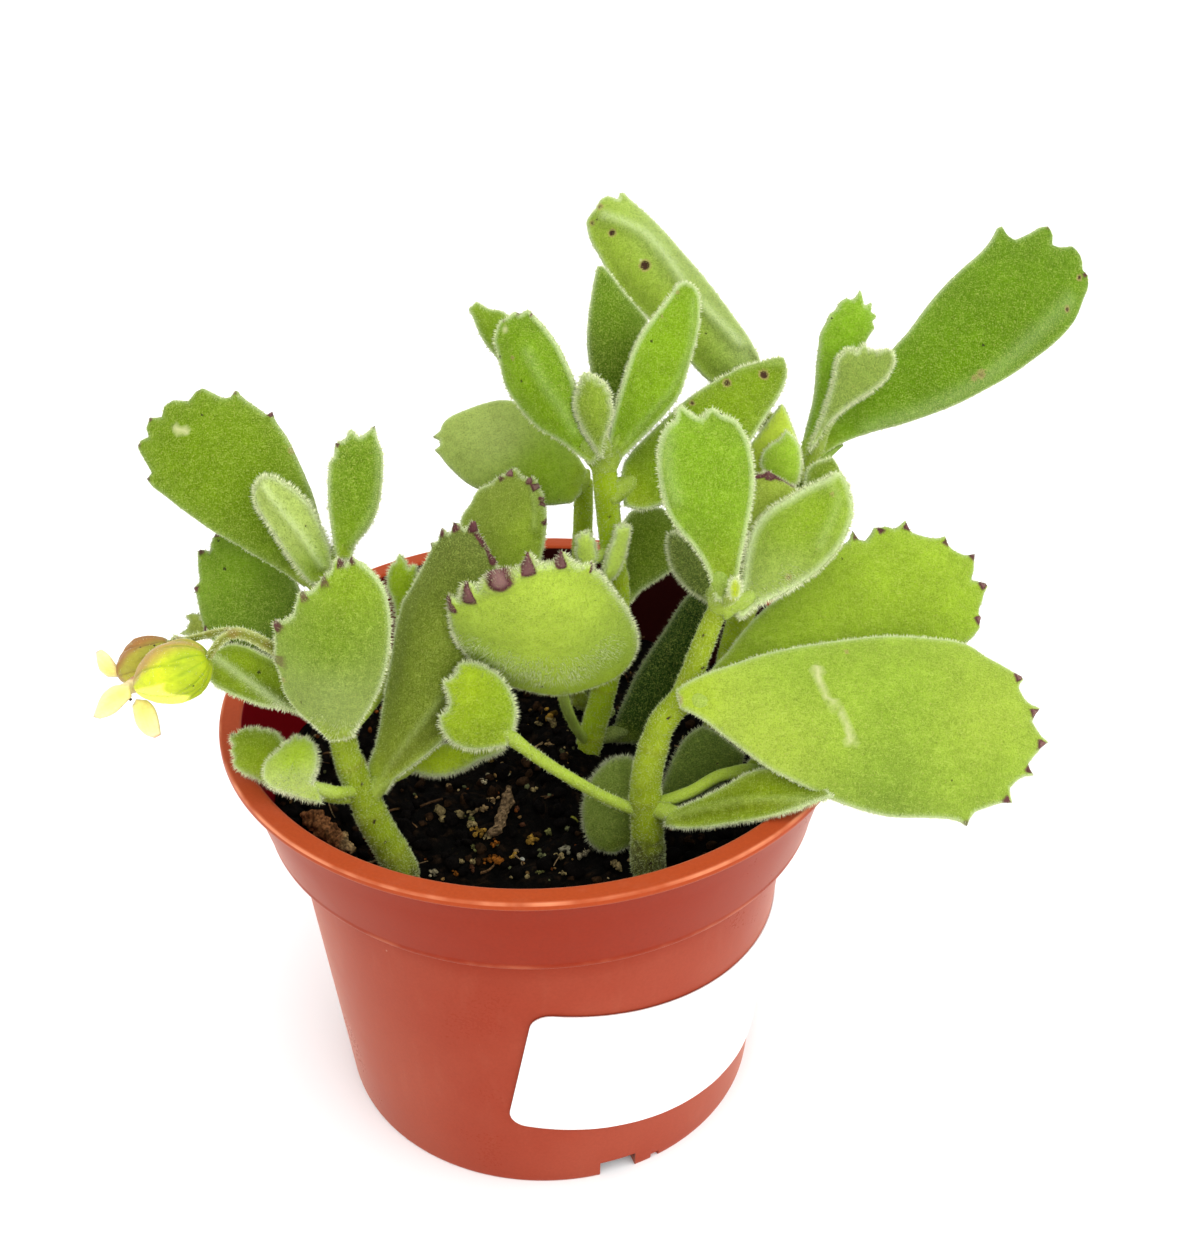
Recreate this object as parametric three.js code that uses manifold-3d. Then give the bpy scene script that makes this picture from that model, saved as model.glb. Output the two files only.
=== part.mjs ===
// Potted bear's paw succulent in a four inch nursery pot.
// Millimetres, +Z up, the origin at the centre of the underside of the pot, -Y towards the front.
import * as THREE from "three";
import { mergeVertices } from "three/addons/utils/BufferGeometryUtils.js";
import Module from "manifold-3d";

const wasm = await Module();
wasm.setup();
const { Manifold, Mesh } = wasm;

// Driving dimensions of the pot.
const POT_HEIGHT = 76;
const RIM_RADIUS = 52; // outer edge of the flat lip
const LIP_INNER_RADIUS = 48.2;
const LIP_THICKNESS = 1.5;
const COLLAR_TOP_RADIUS = 50.2;
const COLLAR_BOTTOM_RADIUS = 46;
const COLLAR_DEPTH = 18.2;
const BODY_TOP_RADIUS = 42.4;
const BASE_RADIUS = 36.6;
const WALL = 1.1;
const FLOOR = 1.6;
const BASE_BEVEL = 0.8;
const DRAIN_COUNT = 3; // cut-outs through the corner of the foot, each with a small slot beside it
const DRAIN_WIDTH = 6.4;
const DRAIN_HEIGHT = 3.4;
const DRAIN_FIRST_DEG = -73;
const SLOT_WIDTH = 1.6;
const SLOT_HEIGHT = 1.3;
const SLOT_TURN_DEG = 11;
const SOIL_LEVEL = 60;
const GAP = 0.3; // clear space between neighbouring pieces

// Each stem is a round tube along a path, with a radius at each point.
const STEMS = [
  { name: "stem_left", path: [[-22.04, -23.6, 50.0], [-22.54, -23.6, 59.0], [-26.12, -23.6, 69.72], [-27.7, -23.1, 75.3], [-29.48, -22.1, 81.93], [-30.46, -19.6, 89.9], [-30.85, -17.1, 99.12], [-30.61, -15.5, 109.33]], radius: [2.6, 2.6, 2.5, 2.4, 2.1, 1.9, 1.8, 1.7] },
  { name: "stem_centre", path: [[8.3, 4.79, 52.0], [8.3, 4.79, 60.0], [10.49, 4.79, 69.8], [12.78, 4.6, 80.99], [13.65, 4.0, 91.11], [12.87, 3.4, 99.99], [12.12, 2.8, 108.56], [11.56, 2.4, 116.56]], radius: [2.2, 2.2, 2.1, 2.0, 1.9, 1.9, 1.9, 1.9] },
  { name: "stem_right", path: [[16.39, -26.13, 50.0], [16.39, -26.13, 59.0], [16.22, -26.13, 69.52], [16.07, -25.83, 77.1], [18.46, -24.13, 86.12], [22.02, -22.63, 90.43], [24.33, -21.13, 96.57], [26.28, -20.13, 101.7], [27.75, -19.63, 104.65]], radius: [2.7, 2.7, 2.5, 2.4, 2.3, 2.3, 2.1, 2.0, 1.8] },
  { name: "stem_back_right", path: [[30.0, 10.0, 50.0], [31.0, 10.5, 58.0], [33.5, 11.5, 75.0], [37.0, 12.5, 90.0], [41.0, 13.5, 102.0], [44.15, 14.0, 106.29]], radius: [2.4, 2.4, 2.2, 2.1, 2.0, 1.8] },
  { name: "stem_back_centre", path: [[8.0, 20.0, 50.0], [8.0, 20.0, 58.0], [8.2, 19.0, 75.0], [8.33, 17.0, 91.21], [8.6, 16.0, 99.49], [8.86, 15.0, 107.14]], radius: [2.0, 2.0, 1.9, 1.7, 1.6, 1.5] },
];

// Each leaf is a fleshy blade. "at" is where it joins its stem, "along" points to its tip, "facing" is the
// normal of its seen face, and "edge" is its toothed outline in that plane (mm along, mm across).
const LEAVES = [
  { name: "leaf_upper_left_large", at: [-32.56, -15.0, 107.82], along: [-0.655, 0.4353, 0.6176], facing: [-0.1, -0.8602, 0.5001], thick: 4.6, cup: 1.5, bend: 2.0,
    petiole: [[-30.64, -15.73, 107.88], [-34.52, -13.69, 109.67]], petioleRadius: [1.38, 1.38],
    edge: [[0.53, 1.32], [15.35, 5.22], [27.02, 7.48], [28.1, 7.33], [28.19, 6.14], [32.47, 5.25], [33.02, 4.11], [32.46, 2.89], [33.79, 2.34], [34.47, 0.9], [33.26, -0.56], [34.29, -1.86], [34.0, -3.45], [32.17, -5.14], [32.57, -6.88], [31.86, -8.06], [28.75, -9.37], [28.25, -10.11], [28.64, -11.22], [22.59, -12.22], [22.43, -13.04], [15.3, -11.35], [9.73, -9.34], [2.31, -4.77], [0.33, -3.0], [-0.54, -1.34]] },
  { name: "leaf_upper_left_small_folded", at: [-31.03, -18.5, 110.05], along: [-0.4253, 0.3455, 0.8365], facing: [0.0, -0.9243, 0.3818], thick: 3.4, cup: 1.2, bend: 1.0,
    petiole: [[-30.61, -15.5, 109.33], [-32.31, -17.46, 112.56]], petioleRadius: [1.02, 1.02],
    edge: [[0.14, 1.09], [13.79, 2.62], [15.57, 2.33], [17.32, 0.05], [16.67, -1.23], [15.13, -2.34], [10.68, -3.97], [3.19, -3.5], [1.19, -2.59], [-0.15, -1.06]] },
  { name: "leaf_upper_left_small_upright", at: [-27.35, -17.5, 113.11], along: [0.2273, 0.4324, 0.8725], facing: [0.1002, -0.9016, 0.4208], thick: 4.4, cup: -0.6, bend: 1.0,
    petiole: [[-30.61, -15.5, 109.33], [-26.67, -16.2, 115.73]], petioleRadius: [1.32, 1.32],
    edge: [[-0.21, 1.13], [8.23, 3.81], [13.62, 4.64], [14.45, 4.07], [16.44, 4.29], [17.26, 3.0], [18.97, 2.44], [17.98, 0.81], [20.05, -0.85], [16.73, -2.47], [8.88, -3.47], [6.12, -2.96], [2.16, -1.07], [0.22, -1.13]] },
  { name: "leaf_left_dark", at: [-32.06, -15.5, 93.87], along: [-0.6583, 0.4776, 0.5819], facing: [-0.0499, -0.799, 0.5993], thick: 4.2, cup: 1.2, bend: 1.5,
    petiole: [[-30.66, -18.3, 94.69], [-34.04, -14.07, 95.61]], petioleRadius: [1.26, 1.26],
    edge: [[-0.63, 1.21], [8.38, 7.64], [14.45, 10.02], [18.07, 8.96], [22.09, 6.53], [22.32, 5.23], [25.92, 2.49], [24.56, 1.13], [25.89, -0.63], [26.06, -1.81], [23.81, -2.98], [24.02, -4.58], [23.37, -5.25], [20.08, -5.27], [18.96, -6.91], [12.95, -5.83], [0.61, -1.22]] },
  { name: "leaf_left_front", at: [-29.16, -28.5, 88.97], along: [0.1319, 0.0842, 0.9877], facing: [-0.1203, -0.9877, 0.1003], thick: 4.6, cup: 1.6, bend: 1.5,
    petiole: [[-30.03, -20.69, 86.42], [-28.77, -28.25, 91.94]], petioleRadius: [1.38, 1.38],
    edge: [[-0.54, 1.62], [4.07, 6.55], [7.52, 8.91], [12.33, 10.11], [18.09, 10.48], [19.93, 7.81], [23.6, 6.54], [24.19, 5.25], [27.01, 2.85], [28.82, 2.43], [29.38, 1.62], [28.8, 0.71], [29.77, -0.05], [29.38, -1.49], [26.09, -4.85], [20.46, -6.28], [12.88, -5.93], [9.41, -5.11], [0.56, -1.62]] },
  { name: "leaf_left_low_trough", at: [-32.28, -24.0, 90.07], along: [-0.8635, 0.4204, 0.2788], facing: [-0.0501, -0.6215, 0.7818], thick: 3.4, cup: -1.6, bend: 0.5,
    petiole: [[-30.35, -19.87, 89.01], [-34.87, -22.74, 90.91]], petioleRadius: [1.02, 1.02],
    edge: [[-0.53, 1.82], [2.86, 1.33], [8.35, 2.85], [14.18, 3.48], [16.92, 3.18], [18.79, 1.92], [19.54, 0.03], [19.15, -1.82], [17.94, -3.06], [15.27, -3.94], [5.86, -3.66], [2.62, -2.92], [0.33, -1.72]] },
  { name: "leaf_left_hidden_tip", at: [-38.59, -3.6, 88.96], along: [-0.9534, 0.2447, 0.1766], facing: [-0.0504, -0.7062, 0.7062], thick: 3.0, cup: 0.6, bend: 0.5,
    petiole: [[-30.61, -18.65, 93.37], [-41.45, -2.87, 89.49]], petioleRadius: [0.9, 0.9],
    edge: [[-1.43, 0.62], [18.47, 2.13], [17.31, 1.11], [17.13, -0.08], [18.11, -0.88], [16.53, -1.65], [1.42, -0.62]] },
  { name: "leaf_low_left_a", at: [-35.86, -23.0, 75.75], along: [-0.7865, 0.4807, 0.3877], facing: [-0.0998, -0.7184, 0.6885], thick: 3.0, cup: 0.8, bend: 0.5,
    petiole: [[-27.4, -23.2, 74.4], [-32.35, -24.2, 75.44], [-38.01, -21.69, 76.81]], petioleRadius: [1.25, 1.2, 1.2],
    edge: [[-0.4, 0.93], [4.28, 2.71], [11.26, 3.76], [12.82, 2.97], [13.64, 1.3], [15.17, -0.12], [13.29, -2.57], [9.62, -4.4], [5.48, -3.24], [0.41, -0.93]] },
  { name: "leaf_low_left_b", at: [-33.07, -27.5, 78.06], along: [-0.5691, 0.6052, 0.5566], facing: [-0.0501, -0.7012, 0.7112], thick: 3.4, cup: -0.8, bend: 0.5,
    petiole: [[-27.8, -23.2, 75.6], [-31.01, -27.0, 77.94], [-34.12, -26.38, 79.08]], petioleRadius: [1.3, 1.25, 1.3],
    edge: [[-0.99, 0.7], [3.54, 4.32], [5.2, 5.3], [6.93, 5.57], [8.52, 4.56], [9.45, 2.91], [10.25, -0.91], [9.94, -2.04], [8.81, -3.18], [6.91, -3.57], [4.93, -2.9], [2.33, 0.13], [0.95, -0.71]] },
  { name: "leaf_centre_left_large", at: [-24.88, -23.5, 74.69], along: [0.3592, 0.3623, 0.8601], facing: [-0.2001, -0.8703, 0.4501], thick: 5.0, cup: 2.2, bend: 1.0,
    petiole: [[-27.32, -23.21, 73.98], [-23.81, -22.41, 77.27]], petioleRadius: [1.5, 1.5],
    edge: [[-0.18, 0.87], [2.86, 2.93], [11.06, 3.42], [29.28, 6.24], [39.99, 4.05], [41.78, 4.4], [41.66, 2.59], [43.28, 2.52], [43.61, 1.63], [43.09, 0.43], [44.42, 0.27], [44.68, -0.45], [40.06, -5.47], [37.59, -6.73], [29.01, -7.71], [11.79, -6.81], [3.21, -1.72], [0.17, -0.86]] },
  { name: "leaf_centre_left_back_folded", at: [-5.81, -3.0, 89.26], along: [0.1503, 0.3805, 0.9125], facing: [-0.1506, -0.9034, 0.4015], thick: 4.6, cup: 1.8, bend: 1.0,
    petiole: [[9.6, 4.8, 66.0], [4.0, 3.6, 76.0], [-5.36, -1.86, 92.0]], petioleRadius: [1.6, 1.5, 1.7],
    edge: [[-0.66, 1.73], [8.34, 7.01], [12.14, 8.48], [15.36, 8.51], [18.65, 8.04], [22.95, 6.02], [27.23, 0.18], [25.94, -0.79], [26.3, -2.48], [25.47, -3.37], [19.71, -5.49], [13.32, -5.31], [9.2, -4.51], [0.65, -1.72]] },
  { name: "leaf_left_behind_small", at: [-20.36, -8.0, 88.95], along: [-0.0248, 0.5217, 0.8528], facing: [0.0, -0.853, 0.5219], thick: 3.2, cup: 0.6, bend: 0.5,
    petiole: [[-29.8, -21.2, 84.5], [-25.0, -14.0, 86.5], [-20.43, -6.43, 91.51]], petioleRadius: [1.2, 1.1, 1.2],
    edge: [[0.08, 1.34], [6.38, 1.21], [11.46, 2.16], [13.66, 2.03], [16.84, 0.1], [14.39, -1.32], [14.98, -1.97], [14.63, -2.56], [6.91, -2.71], [3.0, -2.3], [-0.09, -1.32]] },
  { name: "leaf_centre_front_round", at: [4.08, -16.0, 87.04], along: [-0.1992, -0.2572, 0.9456], facing: [0.1005, -0.9652, -0.2413], thick: 5.6, cup: 2.6, bend: -0.5,
    petiole: [[8.4, 4.8, 61.8], [6.22, 0.5, 68.31], [4.51, -7.0, 78.21], [3.48, -16.77, 89.88]], petioleRadius: [1.5, 1.5, 1.5, 1.7],
    edge: [[0.19, 1.23], [3.35, 6.91], [5.21, 9.24], [7.83, 11.19], [14.97, 13.15], [18.93, 12.88], [23.57, 12.13], [24.27, 11.37], [23.55, 10.38], [26.68, 9.15], [26.79, 7.96], [25.98, 7.14], [28.21, 5.58], [29.22, 4.02], [28.71, 0.92], [28.97, -0.17], [30.25, -0.91], [28.51, -2.29], [27.85, -3.64], [27.61, -4.94], [28.63, -5.92], [21.45, -10.43], [13.71, -12.37], [5.82, -13.22], [2.81, -12.42], [0.62, -10.44], [-0.36, -7.72], [-0.26, -1.22]] },
  { name: "leaf_low_centre_round", at: [-4.37, -27.0, 86.37], along: [-0.5941, 0.4344, 0.677], facing: [0.05, -0.8201, 0.5701], thick: 3.6, cup: 0.8, bend: -0.5,
    petiole: [[16.2, -26.1, 70.6], [9.54, -27.3, 75.3], [2.94, -27.6, 80.65], [-1.46, -27.6, 84.62], [-5.85, -25.92, 88.05]], petioleRadius: [1.3, 1.25, 1.25, 1.3, 1.4],
    edge: [[-0.4, 0.7], [2.2, 4.9], [3.55, 6.11], [5.06, 6.81], [6.53, 6.97], [8.05, 6.71], [9.52, 5.92], [9.36, 4.52], [10.13, 3.34], [13.21, 2.41], [12.82, 1.2], [12.98, -0.26], [13.82, -1.12], [12.27, -3.31], [9.02, -4.75], [7.0, -4.87], [3.03, -3.6], [0.39, -0.7]] },
  { name: "leaf_low_centre_under", at: [-21.37, -17.5, 75.76], along: [0.9938, 0.0867, 0.069], facing: [0.0, -0.6222, 0.7828], thick: 2.8, cup: 0.5, bend: 0.3,
    petiole: [[-27.48, -23.16, 74.54], [-18.48, -17.25, 75.96]], petioleRadius: [0.9, 0.9],
    edge: [[0.16, 0.63], [6.03, 2.18], [9.53, 2.31], [15.06, 0.95], [16.16, -0.2], [6.31, -2.87], [3.53, -2.46], [-0.16, -0.62]] },
  { name: "leaf_stem2_bud_left", at: [9.78, -1.2, 100.63], along: [-0.3986, 0.2917, 0.8695], facing: [-0.1509, -0.956, 0.2516], thick: 2.2, cup: 0.3, bend: 0.2,
    petiole: [[12.77, 3.31, 101.2], [9.31, -0.85, 101.66]], petioleRadius: [0.9, 0.9],
    edge: [[-0.56, 0.79], [0.58, 1.84], [2.21, 2.3], [5.81, 1.09], [6.58, 0.03], [6.42, -1.11], [4.89, -1.44], [0.56, -0.79]] },
  { name: "leaf_stem2_bud_right", at: [11.53, -2.0, 99.38], along: [0.3473, 0.2896, 0.8919], facing: [0.1509, -0.956, 0.2516], thick: 2.4, cup: 0.3, bend: 0.2,
    petiole: [[12.88, 3.41, 99.86], [12.09, -1.54, 100.81]], petioleRadius: [0.9, 0.9],
    edge: [[0.2, 0.49], [4.59, 1.67], [8.28, 1.1], [8.91, 0.14], [8.29, -1.28], [6.1, -1.89], [-0.2, -0.5]] },
  { name: "leaf_top_centre_left", at: [10.24, 0.0, 118.81], along: [-0.4874, 0.4066, 0.7728], facing: [-0.2209, -0.9136, 0.3414], thick: 4.8, cup: 1.4, bend: 1.5,
    petiole: [[11.56, 2.4, 116.56], [8.78, 1.22, 121.13]], petioleRadius: [1.44, 1.44],
    edge: [[-0.27, 0.91], [5.37, 3.1], [8.09, 4.75], [11.09, 5.67], [15.97, 6.18], [23.62, 3.97], [25.58, 1.41], [25.59, -1.18], [24.8, -1.63], [24.81, -3.03], [19.99, -4.15], [12.69, -3.9], [7.02, -1.68], [0.27, -0.9]] },
  { name: "leaf_top_centre_left_behind", at: [5.99, 8.0, 121.02], along: [-0.5854, 0.4721, 0.6591], facing: [-0.0999, -0.8488, 0.5192], thick: 3.0, cup: 0.6, bend: 1.0,
    petiole: [[11.56, 2.4, 116.56], [4.23, 9.42, 123.0]], petioleRadius: [0.9, 0.9],
    edge: [[-1.23, 2.18], [17.45, 2.09], [23.71, 0.84], [23.91, -0.91], [18.27, -3.67], [14.61, -3.99], [5.41, -3.1], [1.24, -2.17]] },
  { name: "bud_top_centre", at: [11.29, -0.7, 120.75], along: [-0.1005, 0.3592, 0.9278], facing: [0.0, -0.9326, 0.361], thick: 4.4, cup: 0.0, bend: 0.5,
    petiole: [[11.56, 2.4, 116.56], [11.08, 0.08, 122.77]], petioleRadius: [1.32, 1.32],
    edge: [[-0.11, 0.32], [6.71, 3.1], [8.51, 3.01], [12.09, 0.69], [11.41, 0.03], [11.31, -0.72], [10.31, -1.49], [6.92, -2.1], [4.83, -1.83], [0.11, -0.32]] },
  { name: "leaf_top_centre_right", at: [12.92, 1.5, 118.7], along: [0.4432, 0.4269, 0.7882], facing: [0.12, -0.8996, 0.4198], thick: 4.8, cup: 1.4, bend: 1.5,
    petiole: [[11.56, 2.4, 116.56], [14.25, 2.78, 121.07]], petioleRadius: [1.44, 1.44],
    edge: [[0.11, 1.24], [8.56, 3.23], [15.5, 4.04], [18.89, 3.88], [28.07, 1.67], [28.81, 0.81], [28.79, -0.57], [27.75, -1.9], [22.6, -4.09], [12.91, -5.54], [9.56, -4.8], [-0.1, -1.26]] },
  { name: "leaf_top_back", at: [12.23, 9.0, 116.54], along: [-0.0054, 0.5407, 0.8412], facing: [0.02, -0.841, 0.5406], thick: 4.4, cup: 1.2, bend: 2.0,
    petiole: [[11.59, 2.42, 116.16], [12.21, 10.62, 119.06]], petioleRadius: [1.32, 1.32],
    edge: [[-0.2, 0.95], [15.8, 2.41], [28.47, 0.19], [28.44, -0.76], [19.61, -7.45], [11.69, -5.79], [0.2, -0.95]] },
  { name: "leaf_top_right_broad", at: [14.43, 3.0, 111.57], along: [0.803, 0.429, 0.4138], facing: [0.05, -0.7404, 0.6703], thick: 5.0, cup: -1.8, bend: 1.0,
    petiole: [[11.93, 2.66, 111.37], [16.84, 4.29, 112.81]], petioleRadius: [1.5, 1.5],
    edge: [[1.17, 1.86], [4.77, 3.91], [19.64, 5.03], [27.18, 4.03], [34.35, 1.29], [33.1, -0.93], [30.74, -2.62], [21.54, -5.99], [17.32, -6.99], [7.68, -6.9], [0.44, -4.19], [-1.26, -1.9]] },
  { name: "leaf_mid_right_olive", at: [14.54, 4.0, 90.49], along: [0.4164, 0.5782, 0.7016], facing: [0.0995, -0.796, 0.597], thick: 3.8, cup: 1.0, bend: 0.8,
    petiole: [[13.6, 4.03, 90.58], [15.79, 5.73, 92.6]], petioleRadius: [1.14, 1.14],
    edge: [[0.16, 0.87], [11.75, 5.1], [14.28, 4.69], [16.01, 2.73], [16.98, 0.08], [16.08, -2.82], [13.89, -5.19], [11.61, -6.13], [8.61, -5.5], [2.68, -1.78], [-0.16, -0.87]] },
  { name: "leaf_shadow_large", at: [14.1, 5.0, 61.48], along: [0.5136, 0.4584, 0.7253], facing: [0.15, -0.8803, 0.4501], thick: 4.0, cup: 1.0, bend: 0.5,
    petiole: [[8.89, 4.79, 62.65], [15.65, 6.38, 63.66]], petioleRadius: [1.2, 1.2],
    edge: [[-0.87, 2.0], [3.71, 2.98], [13.61, 3.56], [23.79, 2.84], [29.55, 1.6], [29.67, -0.77], [27.47, -3.3], [24.0, -4.94], [19.61, -5.61], [15.35, -5.77], [2.67, -3.28], [0.86, -2.05]] },
  { name: "leaf_right_furry_behind", at: [27.27, -16.0, 103.29], along: [-0.5694, 0.5145, 0.6412], facing: [-0.2504, -0.8514, 0.4608], thick: 3.2, cup: 0.6, bend: 0.5,
    petiole: [[27.36, -19.77, 103.88], [26.04, -14.89, 104.68]], petioleRadius: [0.96, 0.96],
    edge: [[-0.76, 0.99], [3.35, 2.42], [5.58, 2.62], [7.87, 2.37], [10.13, 1.35], [12.04, -0.11], [11.53, -1.25], [9.28, -2.2], [6.75, -2.54], [3.69, -2.1], [0.77, -0.98]] },
  { name: "leaf_right_front_tall", at: [27.41, -23.5, 107.42], along: [-0.1525, 0.2976, 0.9424], facing: [0.0, -0.9536, 0.3011], thick: 5.2, cup: -1.2, bend: 1.5,
    petiole: [[27.75, -19.63, 104.65], [26.95, -22.61, 110.25]], petioleRadius: [1.56, 1.56],
    edge: [[0.21, 1.01], [5.91, 1.78], [14.06, 5.6], [19.47, 6.26], [24.94, 5.24], [26.54, 4.21], [27.44, 2.44], [29.14, 1.83], [29.28, 1.09], [27.24, -0.83], [28.25, -3.15], [25.99, -5.96], [23.01, -7.11], [20.71, -7.28], [15.03, -6.51], [-0.19, -1.0]] },
  { name: "leaf_right_upper", at: [29.69, -20.5, 103.36], along: [0.6514, 0.4532, 0.6085], facing: [0.0799, -0.8385, 0.539], thick: 4.8, cup: 1.6, bend: 0.8,
    petiole: [[27.57, -19.7, 104.29], [31.65, -19.14, 105.19]], petioleRadius: [1.44, 1.44],
    edge: [[0.3, 1.29], [1.86, 1.23], [3.72, 1.97], [10.8, 5.52], [13.63, 5.81], [20.38, 3.8], [25.84, 1.35], [26.3, 0.55], [25.82, -0.99], [23.12, -4.48], [20.48, -5.7], [17.32, -6.3], [11.29, -5.51], [2.0, -1.55], [-0.28, -1.3]] },
  { name: "bud_right_tiny", at: [28.56, -26.9, 109.82], along: [0.0581, 0.3006, 0.952], facing: [0.0, -0.9536, 0.3011], thick: 1.8, cup: 0, bend: 0,
    petiole: [[27.75, -19.63, 104.65], [28.59, -26.72, 110.4]], petioleRadius: [0.9, 0.9],
    edge: [[-0.01, 0.57], [1.31, 0.93], [2.63, 0.71], [3.38, 0.03], [2.52, -0.73], [1.2, -0.94], [0.01, -0.57]] },
  { name: "leaf_right_purple_edged", at: [34.77, -12.0, 101.83], along: [0.0271, 0.5036, 0.8635], facing: [0.0502, -0.8634, 0.502], thick: 3.6, cup: 0.8, bend: 0.8,
    petiole: [[27.9, -19.6, 104.6], [34.85, -10.49, 104.42]], petioleRadius: [1.3, 1.3],
    edge: [[-0.82, 1.54], [6.19, 2.23], [17.57, 1.14], [18.17, -1.19], [15.42, -5.7], [12.98, -5.97], [4.61, -3.67], [0.82, -1.53]] },
  { name: "leaf_right_small_folded", at: [42.11, 7.5, 109.21], along: [-0.1285, 0.4708, 0.8728], facing: [-0.1002, -0.8818, 0.4609], thick: 3.4, cup: 0.6, bend: 0.5,
    petiole: [[44.15, 14.0, 106.29], [41.9, 8.26, 110.61]], petioleRadius: [1.02, 1.02],
    edge: [[-0.13, 0.66], [2.58, 4.42], [4.41, 4.77], [6.06, 4.03], [7.81, 1.04], [8.91, -0.11], [6.56, -1.65], [4.45, -1.8], [0.13, -0.66]] },
  { name: "leaf_right_small_behind", at: [43.78, 11.0, 110.09], along: [-0.2663, 0.5256, 0.808], facing: [-0.0999, -0.8488, 0.5192], thick: 2.8, cup: 0.4, bend: 0.5,
    petiole: [[44.15, 14.0, 106.29], [43.2, 12.13, 111.83]], petioleRadius: [0.9, 0.9],
    edge: [[-1.15, 0.62], [1.63, 0.92], [4.11, 1.83], [5.98, 3.41], [7.92, 4.14], [9.71, 2.9], [11.99, -0.51], [4.39, -0.94], [1.14, -0.6]] },
  { name: "leaf_right_back_fragment", at: [46.02, 6.0, 106.78], along: [0.3087, 0.5951, 0.742], facing: [0.0995, -0.796, 0.597], thick: 3.0, cup: 0.4, bend: 0.3,
    petiole: [[43.6, 13.9, 105.4], [46.45, 6.83, 107.81]], petioleRadius: [1.3, 1.3],
    edge: [[-0.8, 1.29], [2.5, 3.19], [4.31, 3.35], [5.67, 2.72], [7.71, -0.12], [5.48, -2.24], [3.14, -2.35], [0.81, -1.3]] },
  { name: "leaf_back_right_large", at: [46.04, 16.0, 107.37], along: [0.7961, 0.4002, 0.454], facing: [0.1199, -0.8396, 0.5298], thick: 4.8, cup: 1.8, bend: 2.0,
    petiole: [[44.15, 14.0, 106.29], [48.43, 17.2, 108.73]], petioleRadius: [1.44, 1.44],
    edge: [[-0.33, 0.67], [3.95, 2.91], [11.11, 4.75], [34.92, 9.36], [45.69, 10.13], [51.07, 11.53], [51.99, 11.26], [51.52, 9.36], [51.97, 8.12], [58.28, 6.42], [57.99, 5.1], [56.56, 3.56], [59.38, 1.28], [59.53, -0.52], [58.35, -2.8], [58.54, -4.38], [57.51, -5.7], [52.07, -8.75], [45.54, -9.54], [36.67, -8.94], [26.77, -7.03], [7.31, 0.01], [4.11, 0.47], [0.32, -0.67]] },
  { name: "leaf_back_right_upright", at: [45.41, 17.5, 109.57], along: [0.3492, 0.4588, 0.817], facing: [0.0803, -0.8834, 0.4618], thick: 3.8, cup: 0.9, bend: 1.0,
    petiole: [[44.15, 14.0, 106.29], [46.46, 18.88, 112.02]], petioleRadius: [1.14, 1.14],
    edge: [[-0.96, 0.81], [8.65, 1.84], [19.22, 4.11], [22.63, 3.68], [25.0, 2.74], [26.14, 1.91], [26.14, 0.89], [28.3, 0.15], [25.89, -1.33], [27.0, -2.47], [25.39, -2.82], [25.18, -4.07], [23.93, -3.52], [23.21, -4.38], [11.51, -1.55], [0.96, -0.8]] },
  { name: "leaf_back_right_furry", at: [45.84, 12.5, 113.74], along: [0.6244, 0.4057, 0.6675], facing: [0.0803, -0.8834, 0.4618], thick: 3.4, cup: -0.5, bend: 0.8,
    petiole: [[44.15, 14.0, 106.29], [47.71, 13.72, 115.74]], petioleRadius: [1.02, 1.02],
    edge: [[-1.48, 0.11], [5.65, 2.28], [13.62, 5.64], [15.34, 5.24], [15.59, 4.13], [17.82, 2.82], [17.45, 1.48], [19.67, -0.88], [19.06, -1.93], [15.63, -2.73], [6.63, -0.08], [3.96, 0.3], [1.45, -0.07]] },
  { name: "leaf_back_long", at: [36.86, 20.0, 118.0], along: [-0.5631, 0.4396, 0.6998], facing: [-0.0502, -0.8634, 0.502], thick: 5.0, cup: 1.6, bend: 2.0,
    petiole: [[43.6, 13.9, 105.6], [42.0, 16.0, 110.0], [35.17, 21.32, 120.1]], petioleRadius: [1.6, 1.6, 1.8],
    edge: [[0.49, 1.35], [7.85, 4.06], [27.4, 6.79], [37.0, 5.78], [39.73, 4.58], [41.15, 0.69], [40.99, -0.6], [39.28, -1.75], [40.23, -2.45], [39.98, -3.07], [30.64, -4.63], [20.82, -5.43], [7.9, -5.46], [4.92, -4.91], [1.93, -3.53], [-0.49, -1.36]] },
  { name: "leaf_back_left_pale", at: [8.99, 14.0, 107.67], along: [-0.9418, 0.2196, 0.2544], facing: [-0.05, -0.8401, 0.5401], thick: 4.6, cup: 1.0, bend: 1.2,
    petiole: [[8.86, 15.0, 107.14], [6.16, 14.66, 108.43]], petioleRadius: [1.38, 1.38],
    edge: [[-0.02, 1.69], [1.0, 3.88], [6.62, 6.0], [15.85, 6.32], [18.57, 5.8], [22.41, 3.91], [24.99, 2.3], [24.23, 1.4], [24.47, 0.63], [25.94, 0.37], [24.09, -3.59], [22.08, -5.38], [17.14, -8.62], [14.24, -9.18], [10.29, -8.52], [6.67, -6.74], [0.02, -1.7]] },
  { name: "leaf_right_large_back", at: [28.06, -17.5, 88.72], along: [0.9295, 0.2763, 0.2445], facing: [0.0797, -0.7975, 0.5981], thick: 4.6, cup: 1.6, bend: 1.0,
    petiole: [[22.59, -22.27, 91.94], [30.85, -16.67, 89.45]], petioleRadius: [1.38, 1.38],
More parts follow.
